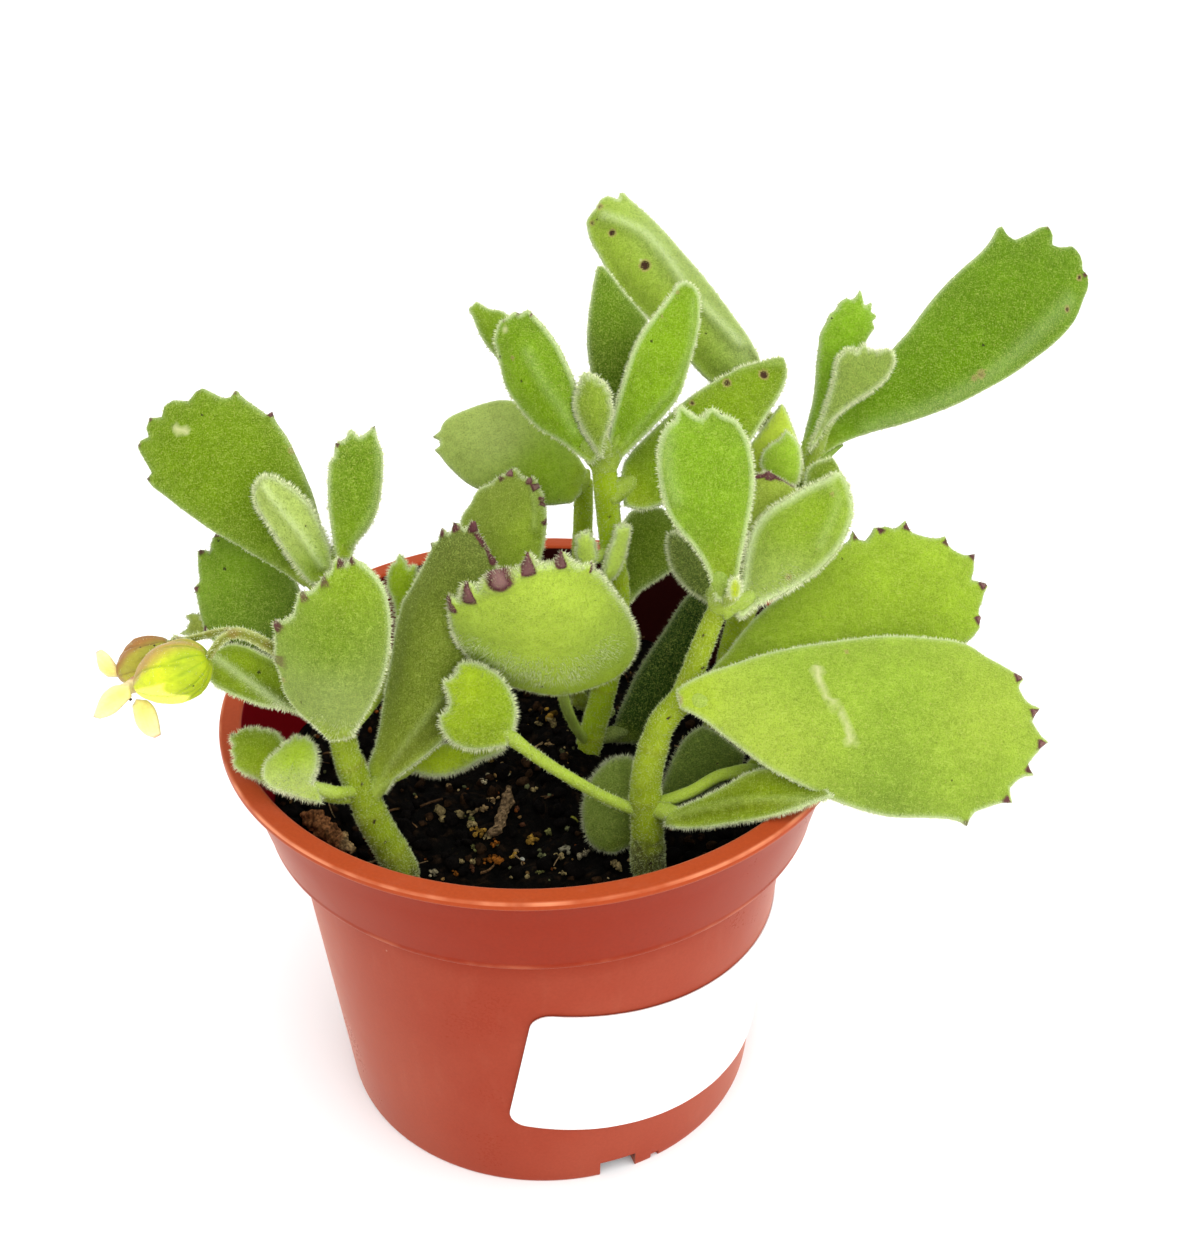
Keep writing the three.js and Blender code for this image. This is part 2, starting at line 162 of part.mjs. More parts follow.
    edge: [[-1.93, 1.41], [9.29, 7.18], [22.3, 11.36], [27.71, 12.36], [29.03, 13.21], [29.37, 11.83], [30.17, 11.31], [32.96, 12.24], [34.2, 12.24], [35.15, 11.31], [37.37, 11.43], [37.64, 9.55], [41.97, 6.7], [42.37, 4.97], [43.46, 3.48], [45.15, 2.44], [43.21, -0.88], [45.02, -2.13], [41.9, -6.28], [41.59, -8.35], [37.0, -9.81], [32.18, -9.31], [25.74, -7.77], [1.91, -1.41]] },
  { name: "leaf_right_large_front", at: [20.71, -27.0, 92.73], along: [0.9868, -0.0531, -0.1532], facing: [0.0599, -0.7586, 0.6488], thick: 5.0, cup: 2.0, bend: 0.6,
    petiole: [[22.25, -22.49, 91.04], [23.67, -27.16, 92.27]], petioleRadius: [1.5, 1.5],
    edge: [[-0.44, 1.37], [3.48, 4.24], [16.04, 9.74], [29.67, 13.32], [41.31, 14.01], [43.35, 13.64], [51.52, 9.78], [51.39, 7.89], [52.21, 6.44], [54.3, 5.01], [53.62, 2.94], [55.83, 0.17], [53.48, -3.42], [54.09, -4.85], [51.11, -7.28], [51.36, -9.19], [46.25, -11.4], [45.16, -13.3], [42.95, -12.96], [33.54, -13.57], [24.52, -12.08], [14.74, -8.76], [4.33, -2.86], [0.44, -1.37]] },
  { name: "leaf_low_right_trough", at: [18.87, -29.6, 72.36], along: [0.9168, -0.2413, 0.3183], facing: [-0.3993, -0.5691, 0.7188], thick: 4.0, cup: -1.2, bend: 0.4,
    petiole: [[16.17, -26.03, 72.17], [21.62, -30.32, 73.32]], petioleRadius: [1.2, 1.2],
    edge: [[-0.38, -1.05], [5.5, -2.4], [15.04, -2.36], [26.46, -0.35], [23.26, 2.9], [17.24, 5.11], [14.38, 4.93], [0.43, 1.02]] },
  { name: "leaf_low_right_under", at: [32.05, -24.0, 77.0], along: [0.9395, -0.3121, 0.1413], facing: [-0.2999, -0.5498, 0.7796], thick: 3.0, cup: 0.6, bend: 0.3,
    petiole: [[16.3, -26.0, 72.0], [22.74, -27.0, 75.34], [27.77, -25.6, 77.28], [34.66, -24.87, 77.39]], petioleRadius: [1.0, 0.95, 0.95, 1.1],
    edge: [[-0.6, 0.46], [0.35, 1.82], [3.07, 2.92], [6.47, 3.38], [10.07, 3.18], [13.44, 1.98], [15.42, 0.14], [14.34, -2.06], [11.34, -3.1], [7.65, -2.97], [0.6, -0.47]] },
  { name: "leaf_low_shadow_left", at: [16.1, -23.5, 65.09], along: [-0.3857, 0.4804, 0.7877], facing: [-0.0502, -0.8634, 0.502], thick: 3.6, cup: 0.8, bend: 0.5,
    petiole: [[16.29, -26.13, 65.09], [15.23, -22.41, 66.87]], petioleRadius: [1.08, 1.08],
    edge: [[-0.74, 0.86], [-1.13, 3.47], [-0.99, 6.19], [0.34, 8.02], [2.46, 8.78], [5.42, 8.27], [8.32, 6.93], [10.44, 5.08], [11.94, 2.65], [12.6, -0.08], [11.98, -2.57], [10.34, -3.89], [7.39, -3.57], [0.75, -0.87]] },
  { name: "leaf_low_shadow_right", at: [19.87, -18.0, 65.43], along: [0.7398, 0.4327, 0.5152], facing: [0.0499, -0.799, 0.5993], thick: 3.4, cup: 0.8, bend: 0.5,
    petiole: [[16.29, -26.13, 65.37], [21.87, -16.83, 66.83]], petioleRadius: [1.02, 1.02],
    edge: [[-1.03, 1.24], [7.35, 5.1], [10.68, 5.66], [13.33, 5.09], [14.24, 2.84], [15.0, -2.87], [12.96, -4.47], [1.03, -1.24]] },
];

// The flower stalk, its buds and loose bits on the soil: tubes with a radius at each point.
const TUBES = [
  { name: "flower_stalk", path: [[-32.38, -21.6, 96.46], [-35.12, -22.6, 99.04], [-37.71, -24.0, 102.2], [-40.15, -25.2, 105.0], [-42.43, -26.0, 106.65], [-44.43, -26.4, 106.15], [-46.2, -26.6, 104.31]], radius: [1.1, 1.05, 1.0, 0.95, 0.9, 0.7, 0.6] },
  { name: "flower_stalk_back", path: [[-42.18, -25.9, 106.41], [-43.92, -25.4, 106.67], [-46.15, -24.4, 105.79], [-48.74, -23.4, 104.57], [-50.99, -22.6, 103.63]], radius: [0.6, 0.6, 0.6, 0.55, 0.5] },
  { name: "flower_bud_front", path: [[-46.85, -27.02, 102.4], [-48.61, -27.09, 101.77], [-50.36, -27.17, 101.14], [-52.12, -27.25, 100.51], [-53.87, -27.33, 99.89], [-55.63, -27.41, 99.26], [-57.38, -27.48, 98.63]], radius: [1.29, 3.41, 4.31, 4.48, 4.03, 2.96, 0.97] },
  { name: "flower_bud_back", path: [[-53.31, -17.82, 99.9], [-54.7, -17.93, 99.12], [-56.1, -18.04, 98.33], [-57.49, -18.15, 97.54], [-58.89, -18.26, 96.75], [-60.28, -18.37, 95.96], [-61.68, -18.48, 95.17]], radius: [1.0, 2.65, 3.35, 3.49, 3.13, 2.3, 0.76] },
  { name: "bark_chip", path: [[-39.01, -10.14, 59.41], [-36.84, -12.82, 60.39], [-34.67, -15.51, 60.37], [-32.49, -18.2, 59.97], [-30.32, -20.89, 60.4]], radius: [1.1, 1.7, 1.5, 1.6, 1.0] },
  { name: "twig_bit", path: [[-5.81, -7.18, 62.14], [-6.48, -11.46, 62.41], [-7.14, -15.74, 62.3], [-7.81, -20.02, 61.7]], radius: [0.9, 1.3, 1.2, 1.0] },
];

// Petals, as small thin blades.
const PETALS = [
  { name: "petal_upper", at: [-62.25, -18.9, 95.94], along: [-0.71, 0.361, 0.6046], facing: [-0.1002, -0.9016, 0.4208], thick: 0.7, cup: 0.3, bend: 0.3,
    edge: [[-0.38, 0.58], [0.74, 1.66], [2.29, 1.63], [4.5, -0.02], [4.24, -0.87], [3.06, -1.19], [0.38, -0.59]] },
  { name: "petal_lower_left", at: [-58.62, -27.4, 98.31], along: [-0.8559, -0.2699, -0.4411], facing: [0.0, -0.853, 0.5219], thick: 0.7, cup: 0.3, bend: 0.3,
    edge: [[-0.35, -0.81], [1.77, -2.02], [3.18, -1.92], [6.61, 0.14], [5.93, 0.94], [4.15, 1.41], [0.36, 0.8]] },
  { name: "petal_lower_right", at: [-57.4, -27.2, 96.61], along: [0.2723, -0.4639, -0.843], facing: [0.1009, -0.8575, 0.5044], thick: 0.7, cup: 0.3, bend: 0.3,
    edge: [[-0.32, -0.72], [0.47, -1.59], [3.63, -1.73], [5.1, -1.02], [5.93, 0.04], [5.79, 0.98], [4.35, 1.32], [1.09, 1.21], [0.32, 0.72]] },
];

const V = (a) => new THREE.Vector3(a[0], a[1], a[2]);

function geometryFrom(points, faces) {
  const g = new THREE.BufferGeometry();
  g.setAttribute("position", new THREE.Float32BufferAttribute(points.flatMap((p) => [p.x, p.y, p.z]), 3));
  g.setIndex(faces.flat());
  return g;
}

function solid(geometry) {
  const g = geometry.clone();
  g.deleteAttribute("normal");
  g.deleteAttribute("uv");
  const m = mergeVertices(g, 1e-4);
  const made = new Manifold(
    new Mesh({
      numProp: 3,
      vertProperties: new Float32Array(m.attributes.position.array),
      triVerts: new Uint32Array(m.index.array),
    }),
  );
  if (made.volume() >= 0) return made;
  const t = new Uint32Array(m.index.array);
  for (let i = 0; i < t.length; i += 3) [t[i + 1], t[i + 2]] = [t[i + 2], t[i + 1]];
  return new Manifold(
    new Mesh({ numProp: 3, vertProperties: new Float32Array(m.attributes.position.array), triVerts: t }),
  );
}

function geometryOf(made) {
  const m = made.getMesh(),
    v = new Float32Array(m.numVert * 3);
  for (let i = 0; i < m.numVert; i++) v.set(m.vertProperties.subarray(i * m.numProp, i * m.numProp + 3), i * 3);
  const g = new THREE.BufferGeometry();
  g.setAttribute("position", new THREE.BufferAttribute(v, 3));
  g.setIndex(new THREE.BufferAttribute(new Uint32Array(m.triVerts), 1));
  g.computeVertexNormals();
  return g;
}

// The biggest body of a solid, without slivers that a cut leaves.
function mainBody(made) {
  const bodies = made.decompose();
  bodies.sort((a, b) => b.volume() - a.volume());
  return bodies[0];
}

// A closed round tube through points, with domed ends.
function tube(path, radius, sides = 8, extra = 0) {
  const pts = path.map(V),
    points = [],
    faces = [];
  let normal = new THREE.Vector3(0.83, 0.41, 0.37);
  pts.forEach((p, i) => {
    const t = pts[Math.min(i + 1, pts.length - 1)].clone().sub(pts[Math.max(i - 1, 0)]).normalize();
    normal.addScaledVector(t, -normal.dot(t)).normalize();
    const side = t.clone().cross(normal);
    for (let k = 0; k < sides; k++) {
      const a = (2 * Math.PI * k) / sides,
        r = radius[i] + extra;
      points.push(p.clone().addScaledVector(normal, r * Math.cos(a)).addScaledVector(side, r * Math.sin(a)));
    }
  });
  const n = pts.length;
  for (let i = 0; i + 1 < n; i++)
    for (let k = 0; k < sides; k++) {
      const a = i * sides + k,
        b = i * sides + ((k + 1) % sides);
      faces.push([a, b, b + sides], [a, b + sides, a + sides]);
    }
  const t0 = pts[0].clone().sub(pts[1]).normalize(),
    t1 = pts[n - 1].clone().sub(pts[n - 2]).normalize();
  points.push(pts[0].clone().addScaledVector(t0, (radius[0] + extra) * 0.35 + extra));
  points.push(pts[n - 1].clone().addScaledVector(t1, (radius[n - 1] + extra) * 0.35 + extra));
  for (let k = 0; k < sides; k++) {
    faces.push([n * sides, (k + 1) % sides, k]);
    faces.push([n * sides + 1, (n - 1) * sides + k, (n - 1) * sides + ((k + 1) % sides)]);
  }
  return geometryFrom(points, faces);
}

// A leaf: rings from the outline in to the midrib on both faces, domed towards the middle.
const RINGS = [
  [1, 0],
  [0.86, 0.62],
  [0.34, 1],
];
function blade(leaf) {
  const at = V(leaf.at),
    n = V(leaf.facing).normalize(),
    d = V(leaf.along);
  d.addScaledVector(n, -d.dot(n)).normalize();
  const w = n.clone().cross(d),
    edge = leaf.edge,
    N = edge.length;
  const length = Math.max(...edge.map((p) => p[0])),
    half = Math.max(...edge.map((p) => Math.abs(p[1])));
  const tip = edge.findIndex((p) => p[0] === length);
  // How far each point of the outline lies along its side, and the midrib between the sides.
  const run = edge.map(() => 0);
  let s = 0;
  for (let i = 1; i <= tip; i++) run[i] = s += Math.hypot(edge[i][0] - edge[i - 1][0], edge[i][1] - edge[i - 1][1]);
  for (let i = 0; i <= tip; i++) run[i] /= s;
  s = 0;
  for (let i = N - 2; i >= tip; i--) {
    s += Math.hypot(edge[i][0] - edge[i + 1][0], edge[i][1] - edge[i + 1][1]);
    if (i > tip) run[i] = s;
  }
  for (let i = N - 1; i > tip; i--) run[i] /= s;
  const side = (first, last, step, t) => {
    for (let i = first; i !== last; i += step) {
      const a = run[i],
        b = run[i + step];
      if (t <= b) {
        const f = (t - a) / Math.max(b - a, 1e-6);
        return [0, 1].map((c) => edge[i][c] + f * (edge[i + step][c] - edge[i][c]));
      }
    }
    return edge[last];
  };
  run[N - 1] = 0;
  const middle = (t) => {
    const u = Math.min(Math.max(t, 0.04), 0.74),
      a = side(0, tip, 1, u),
      b = side(N - 1, tip, -1, u);
    return [(a[0] + b[0]) / 2, (a[1] + b[1]) / 2, Math.hypot(a[0] - b[0], a[1] - b[1])];
  };
  const rise = (a, b) => {
    const u = (2 * Math.min(Math.max(a, 0), length)) / length - 1,
      v = b / half;
    return leaf.bend * (1 - u * u) - leaf.cup * v * v;
  };
  const points = [],
    faces = [],
    start = [];
  const put = (a, b, h) => {
    points.push(at.clone().addScaledVector(d, a).addScaledVector(w, b).addScaledVector(n, rise(a, b) + h));
    return points.length - 1;
  };
  const rings = { 1: [], "-1": [] };
  for (const face of [1, -1])
    RINGS.forEach(([f, high], r) => {
      if (r === 0 && face === -1) {
        rings[face].push(rings[1][0]);
        return;
      }
      rings[face].push(
        edge.map((p, k) => {
          const m = middle(run[k]);
          const thick = Math.min(leaf.thick * Math.min(1, 0.5 + run[k] * 2), 0.9 * m[2]);
          let [x, y] = p;
          if (r > 0) {
            // inner rings follow a smoothed outline, so that teeth fade out
            const q = edge[Math.max(k - 1, 0)],
              z = edge[Math.min(k + 1, N - 1)];
            x = (q[0] + 2 * x + z[0]) / 4;
            y = (q[1] + 2 * y + z[1]) / 4;
          }
          return put(m[0] + f * (x - m[0]), m[1] + f * (y - m[1]), (face * high * thick) / 2);
        }),
      );
    });
  for (const face of [1, -1]) {
    const R = rings[face];
    for (let r = 0; r + 1 < R.length; r++)
      for (let k = 0; k < N; k++) {
        const j = (k + 1) % N,
          q = [
            [R[r][k], R[r][j], R[r + 1][j]],
            [R[r][k], R[r + 1][j], R[r + 1][k]],
          ];
        faces.push(...(face === 1 ? q : q.map(([a, b, c]) => [a, c, b])));
      }
    // The innermost ring closes like a zip between its two sides.
    const I = R[R.length - 1];
    let i = 0,
      j = N - 1;
    while (j - i > 1) {
      const left = i + 1 <= tip && (j - 1 < tip || run[i + 1] <= run[j - 1] || j - 1 < i + 1);
      const t = left || j - 1 <= i ? [I[i], I[i + 1], I[j]] : [I[i], I[j - 1], I[j]];
      faces.push(face === 1 ? t : [t[0], t[2], t[1]]);
      if (left || j - 1 <= i) i++;
      else j--;
    }
  }
  return geometryFrom(points, faces);
}

const root = new THREE.Group();
root.name = "potted_bears_paw";
function add(name, geometry, colour, roughness) {
  const mesh = new THREE.Mesh(
    geometry,
    new THREE.MeshStandardMaterial({ color: new THREE.Color(colour), roughness, metalness: 0 }),
  );
  mesh.name = name;
  root.add(mesh);
  return mesh;
}

// The pot: one lathed wall with a flat lip, a collar and a tapered body, less the drain cut-outs round its foot.
const collarY = POT_HEIGHT - COLLAR_DEPTH;
const profile = [
  [0, 0],
  [BASE_RADIUS - BASE_BEVEL, 0],
  [BASE_RADIUS, BASE_BEVEL],
  [BODY_TOP_RADIUS, collarY],
  [COLLAR_BOTTOM_RADIUS, collarY],
  [COLLAR_TOP_RADIUS, POT_HEIGHT - LIP_THICKNESS],
  [RIM_RADIUS - 0.25, POT_HEIGHT - LIP_THICKNESS],
  [RIM_RADIUS, POT_HEIGHT - LIP_THICKNESS / 2],
  [RIM_RADIUS - 0.3, POT_HEIGHT],
  [LIP_INNER_RADIUS + 0.3, POT_HEIGHT],
  [LIP_INNER_RADIUS, POT_HEIGHT - 0.4],
  [COLLAR_BOTTOM_RADIUS - WALL - 0.2, collarY + WALL],
  [BODY_TOP_RADIUS - WALL, collarY],
  [BASE_RADIUS - WALL, FLOOR],
  [0, FLOOR],
].map(([x, y]) => new THREE.Vector2(x, y));
const lathe = new THREE.LatheGeometry(profile, 56);
lathe.rotateX(Math.PI / 2);
let pot = solid(lathe);
for (let i = 0; i < DRAIN_COUNT; i++) {
  const turn = DRAIN_FIRST_DEG + (360 / DRAIN_COUNT) * i;
  [
    [9, DRAIN_WIDTH, DRAIN_HEIGHT, BASE_RADIUS - 1.2, turn],
    [3, SLOT_WIDTH, SLOT_HEIGHT, BASE_RADIUS + 0.6, turn + SLOT_TURN_DEG],
  ].forEach(([deep, wide, high, r, deg]) => {
    const box = new THREE.BoxGeometry(deep, wide, high * 2);
    box.translate(r, 0, 0);
    box.rotateZ((deg * Math.PI) / 180);
    pot = pot.subtract(solid(box));
  });
}
add("pot", geometryOf(mainBody(pot)), 0xb5553a, 0.5);

// The potting mix fills the pot up to an uneven top, with a socket round each stem.
function wallRadius(z) {
  if (z <= collarY) return BASE_RADIUS - WALL + ((BODY_TOP_RADIUS - BASE_RADIUS) * (z - FLOOR)) / (collarY - FLOOR);
  const f = (z - collarY - WALL) / (POT_HEIGHT - 0.4 - collarY - WALL);
  return COLLAR_BOTTOM_RADIUS - WALL - 0.2 + (LIP_INNER_RADIUS - COLLAR_BOTTOM_RADIUS + WALL + 0.2) * Math.max(f, 0);
}
function soilTop(x, y) {
  return (
    SOIL_LEVEL +
    0.9 * Math.sin(0.16 * x + 1.1) * Math.cos(0.19 * y - 0.4) +
    0.5 * Math.sin(0.43 * x - 0.31 * y) -
    (2.2 * (x * x + y * y)) / 2000
  );
}
const SOIL_SEGMENTS = 40;
function soil() {
  const points = [],
    faces = [],
    rows = [];
  const row = (f) => {
    const first = points.length;
    for (let k = 0; k < SOIL_SEGMENTS; k++) points.push(f((2 * Math.PI * k) / SOIL_SEGMENTS));
    rows.push(first);
  };
  const ring = (r, z) => (a) => new THREE.Vector3(r * Math.cos(a), r * Math.sin(a), z);
  points.push(new THREE.Vector3(0, 0, FLOOR + GAP));
  row(ring(BASE_RADIUS - WALL - 0.5, FLOOR + GAP));
  row(ring(wallRadius(collarY - 0.6) - 0.5, collarY - 1.6));
  for (const f of [1, 0.84, 0.6, 0.34]) {
    row((a) => {
      const r = f === 1 ? BODY_TOP_RADIUS - WALL - 0.6 : (BODY_TOP_RADIUS - WALL) * f,
        x = r * Math.cos(a),
        y = r * Math.sin(a);
      return new THREE.Vector3(x, y, soilTop(x, y));
    });
  }
  for (let i = 0; i + 1 < rows.length; i++)
    for (let k = 0; k < SOIL_SEGMENTS; k++) {
      const a = rows[i] + k,
        b = rows[i] + ((k + 1) % SOIL_SEGMENTS),
        c = rows[i + 1] + ((k + 1) % SOIL_SEGMENTS),
        e = rows[i + 1] + k;
      faces.push([a, b, c], [a, c, e]);
    }
  const last = rows[rows.length - 1];
  points.push(new THREE.Vector3(0, 0, soilTop(0, 0)));
  for (let k = 0; k < SOIL_SEGMENTS; k++) {
    faces.push([0, rows[0] + ((k + 1) % SOIL_SEGMENTS), rows[0] + k]);
    faces.push([points.length - 1, last + k, last + ((k + 1) % SOIL_SEGMENTS)]);
  }
  return geometryFrom(points, faces);
}
let soilBody = solid(soil());
const stemSolids = STEMS.map((s) => solid(tube(s.path, s.radius)));
const stemClear = STEMS.map((s) => solid(tube(s.path, s.radius, 8, GAP + 0.05)));
stemClear.forEach((c) => (soilBody = soilBody.subtract(c)));
add("soil", geometryOf(mainBody(soilBody)), 0x1c1512, 0.95);
STEMS.forEach((s, i) => add(s.name, geometryOf(stemSolids[i]), 0xa3b93c, 0.55));
const done = STEMS.map((s, i) => [s.name, stemSolids[i]]);
// A leaf a little larger all round, to cut the clear space between it and its neighbours.
function grown(leaf) {
  const e = leaf.edge,
    area = e.reduce((s, p, k) => s + p[0] * e[(k + 1) % e.length][1] - p[1] * e[(k + 1) % e.length][0], 0),
    out = area > 0 ? 1 : -1;
  const edge = e.map((p, k) => {
    const a = e[(k + e.length - 1) % e.length],
      b = e[(k + 1) % e.length],
      x = b[0] - a[0],
      y = b[1] - a[1],
      r = Math.hypot(x, y) || 1;
    return [p[0] + (out * GROW * y) / r, p[1] - (out * GROW * x) / r];
  });
  return solid(blade({ ...leaf, edge, thick: leaf.thick + 2.4 * GROW })).add(
    solid(tube(leaf.petiole, leaf.petioleRadius, 6, GROW)),
  );
}
const GROW = 0.33;
const placed = [];
LEAVES.forEach((leaf) => {
  let made = solid(blade(leaf)).add(solid(tube(leaf.petiole, leaf.petioleRadius, 6)));
  stemClear.forEach((c) => {
    if (made.intersect(c).volume() > 0) made = made.subtract(c);
  });
  placed.forEach((c) => {
    if (made.intersect(c).volume() > 0) made = made.subtract(c);
  });
  placed.push(grown(leaf));
  add(leaf.name, geometryOf(mainBody(made)), 0x8aa63a, 0.6);
});
const TUBE_COLOURS = {
  flower_stalk: 0x8f9a4a,
  flower_bud_front: 0xc9d637,
  flower_bud_back: 0x9a8f3c,
  bark_chip: 0x6b4426,
  twig_bit: 0x7a6f60,
};
const stalks = TUBES.filter((t) => t.name.startsWith("flower_stalk")).map((t) => solid(tube(t.path, t.radius, 7)));
add("flower_stalk", geometryOf(mainBody(stalks[0].add(stalks[1]))), TUBE_COLOURS.flower_stalk, 0.7);
TUBES.filter((t) => !t.name.startsWith("flower_stalk")).forEach((t) => add(t.name, tube(t.path, t.radius, t.name.includes("bud") ? 10 : 7), TUBE_COLOURS[t.name], 0.7));
PETALS.forEach((p) => add(p.name, geometryOf(solid(blade(p))), 0xf2ecb0, 0.6));

// The blank paper label is a rounded rectangle laid round the front right of the tapered body, a little askew.
// It is laid out flat on the unrolled cone of the body, from the bearing and height where its middle line starts.
const LABEL_BEARING_DEG = -60;
const LABEL_HEIGHT_ON_POT = 28;
const LABEL_LEFT = -25.8;
const LABEL_LENGTH = 70;
const LABEL_BOTTOM = -16;
const LABEL_WIDTH = 28.1;
const LABEL_TILT_DEG = -7.2;
const LABEL_CORNER = 3.2;
const LABEL_CLEAR = 0.3;
const LABEL_THICKNESS = 0.2;
function label() {
  const slope = (BODY_TOP_RADIUS - BASE_RADIUS) / (collarY - BASE_BEVEL),
    apex = BASE_BEVEL - BASE_RADIUS / slope,
    alpha = Math.atan(slope),
    middle = (LABEL_HEIGHT_ON_POT - apex) / Math.cos(alpha),
    tilt = (LABEL_TILT_DEG * Math.PI) / 180,
    points = [],
    faces = [];
  const put = (u, v, out) => {
    const x = u * Math.cos(tilt) - v * Math.sin(tilt),
      y = middle + u * Math.sin(tilt) + v * Math.cos(tilt),
      rho = Math.hypot(x, y),
      turn = Math.atan2(x, y) / Math.sin(alpha) + (LABEL_BEARING_DEG * Math.PI) / 180,
      z = apex + rho * Math.cos(alpha),
      r = slope * (z - apex) + out;
    points.push(new THREE.Vector3(r * Math.cos(turn), r * Math.sin(turn), z));
  };
  const corner = [0, 0.08, 0.3, 0.62, 1],
    inset = (t) => LABEL_CORNER * (1 - Math.sqrt(Math.max(0, 1 - (1 - t) ** 2))),
    columns = corner.map((t) => [LABEL_LEFT + t * LABEL_CORNER, inset(t)]),
    steps = 26;
  for (let i = 1; i < steps; i++)
    columns.push([LABEL_LEFT + LABEL_CORNER + ((LABEL_LENGTH - 2 * LABEL_CORNER) * i) / steps, 0]);
  [...corner].reverse().forEach((t) => columns.push([LABEL_LEFT + LABEL_LENGTH - t * LABEL_CORNER, inset(t)]));
  columns.forEach(([u, d]) => {
    put(u, LABEL_BOTTOM + d, LABEL_CLEAR);
    put(u, LABEL_BOTTOM + LABEL_WIDTH - d, LABEL_CLEAR);
    put(u, LABEL_BOTTOM + LABEL_WIDTH - d, LABEL_CLEAR + LABEL_THICKNESS);
    put(u, LABEL_BOTTOM + d, LABEL_CLEAR + LABEL_THICKNESS);
  });
  for (let i = 0; i + 1 < columns.length; i++)
    for (let k = 0; k < 4; k++) {
      const a = i * 4 + k,
        b = i * 4 + ((k + 1) % 4);
      faces.push([a, b, b + 4], [a, b + 4, a + 4]);
    }
  const e = (columns.length - 1) * 4;
  faces.push([0, 2, 1], [0, 3, 2], [e, e + 1, e + 2], [e, e + 2, e + 3]);
  return geometryFrom(points, faces);
}
add("label_blank", geometryOf(solid(label())), 0xf7f5f2, 0.5);

export default root;
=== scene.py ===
# Looks of the potted bear's paw succulent: felted toothed leaves, downy stems, a small flower truss,
# gritty potting mix and a terracotta coloured plastic nursery pot. Tables are in millimetres, in the part's frame.
import bpy, math
import numpy as np
from mathutils import Vector, Matrix, noise
from mathutils.geometry import delaunay_2d_cdt


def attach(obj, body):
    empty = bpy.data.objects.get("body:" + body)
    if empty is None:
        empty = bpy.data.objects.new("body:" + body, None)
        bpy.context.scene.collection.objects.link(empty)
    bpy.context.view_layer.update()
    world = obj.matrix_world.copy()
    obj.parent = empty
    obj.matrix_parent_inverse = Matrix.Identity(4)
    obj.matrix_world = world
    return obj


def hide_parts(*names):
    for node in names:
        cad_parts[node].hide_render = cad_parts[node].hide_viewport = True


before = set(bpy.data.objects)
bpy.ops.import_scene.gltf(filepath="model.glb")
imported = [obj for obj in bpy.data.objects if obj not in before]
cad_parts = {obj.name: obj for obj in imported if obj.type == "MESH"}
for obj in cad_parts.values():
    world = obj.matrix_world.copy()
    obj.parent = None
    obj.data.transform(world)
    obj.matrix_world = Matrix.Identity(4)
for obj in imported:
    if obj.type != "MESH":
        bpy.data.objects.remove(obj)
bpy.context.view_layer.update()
MM = 0.001

# ---------------------------------------------------------------- light
SKY_FRONT, SKY_BACK, SKY_LEFT, SKY_RIGHT = 1.05, 1.30, 0.95, 1.15
KEY_FROM, KEY_POWER, KEY_SPREAD = (0.28, -0.55, 0.80), 1.9, 75.0

# ---------------------------------------------------------------- tables
POT_HEIGHT, RIM_RADIUS, LIP_INNER_RADIUS, LIP_THICKNESS = 76.0, 52.0, 48.2, 1.5
COLLAR_TOP_RADIUS, COLLAR_BOTTOM_RADIUS, COLLAR_DEPTH = 50.2, 46.0, 18.2
BODY_TOP_RADIUS, BASE_RADIUS, WALL, FLOOR, BASE_BEVEL, SOIL_LEVEL = 42.4, 36.6, 1.1, 1.6, 0.8, 60.0
COLLAR_Z = POT_HEIGHT - COLLAR_DEPTH

# Greens of the plant, linear RGB: the leaves' own greens; the darker ones (olive, dark, deep) also paint shade on
# leaves and faces in shadow, and glow paints light on the most lit faces.
PALETTE = {
    "lime": (0.2961, 0.4125, 0.0037),
    "bright": (0.2086, 0.3613, 0.0044),
    "mid": (0.1329, 0.2462, 0.0037),
    "olive": (0.0887, 0.1559, 0.0044),
    "dark": (0.0452, 0.0802, 0.0037),
    "deep": (0.0176, 0.0319, 0.0024),
    "pale": (0.2462, 0.3515, 0.0545),
    "grey": (0.2086, 0.2874, 0.0802),
    "glow": (0.3419, 0.491, 0.0091),
}

# Colours of the fine hairs, on the faces and along the edges.
HAIR_FACE, HAIR_EDGE = np.array((0.40, 0.52, 0.09)), np.array((0.86, 0.90, 0.58))
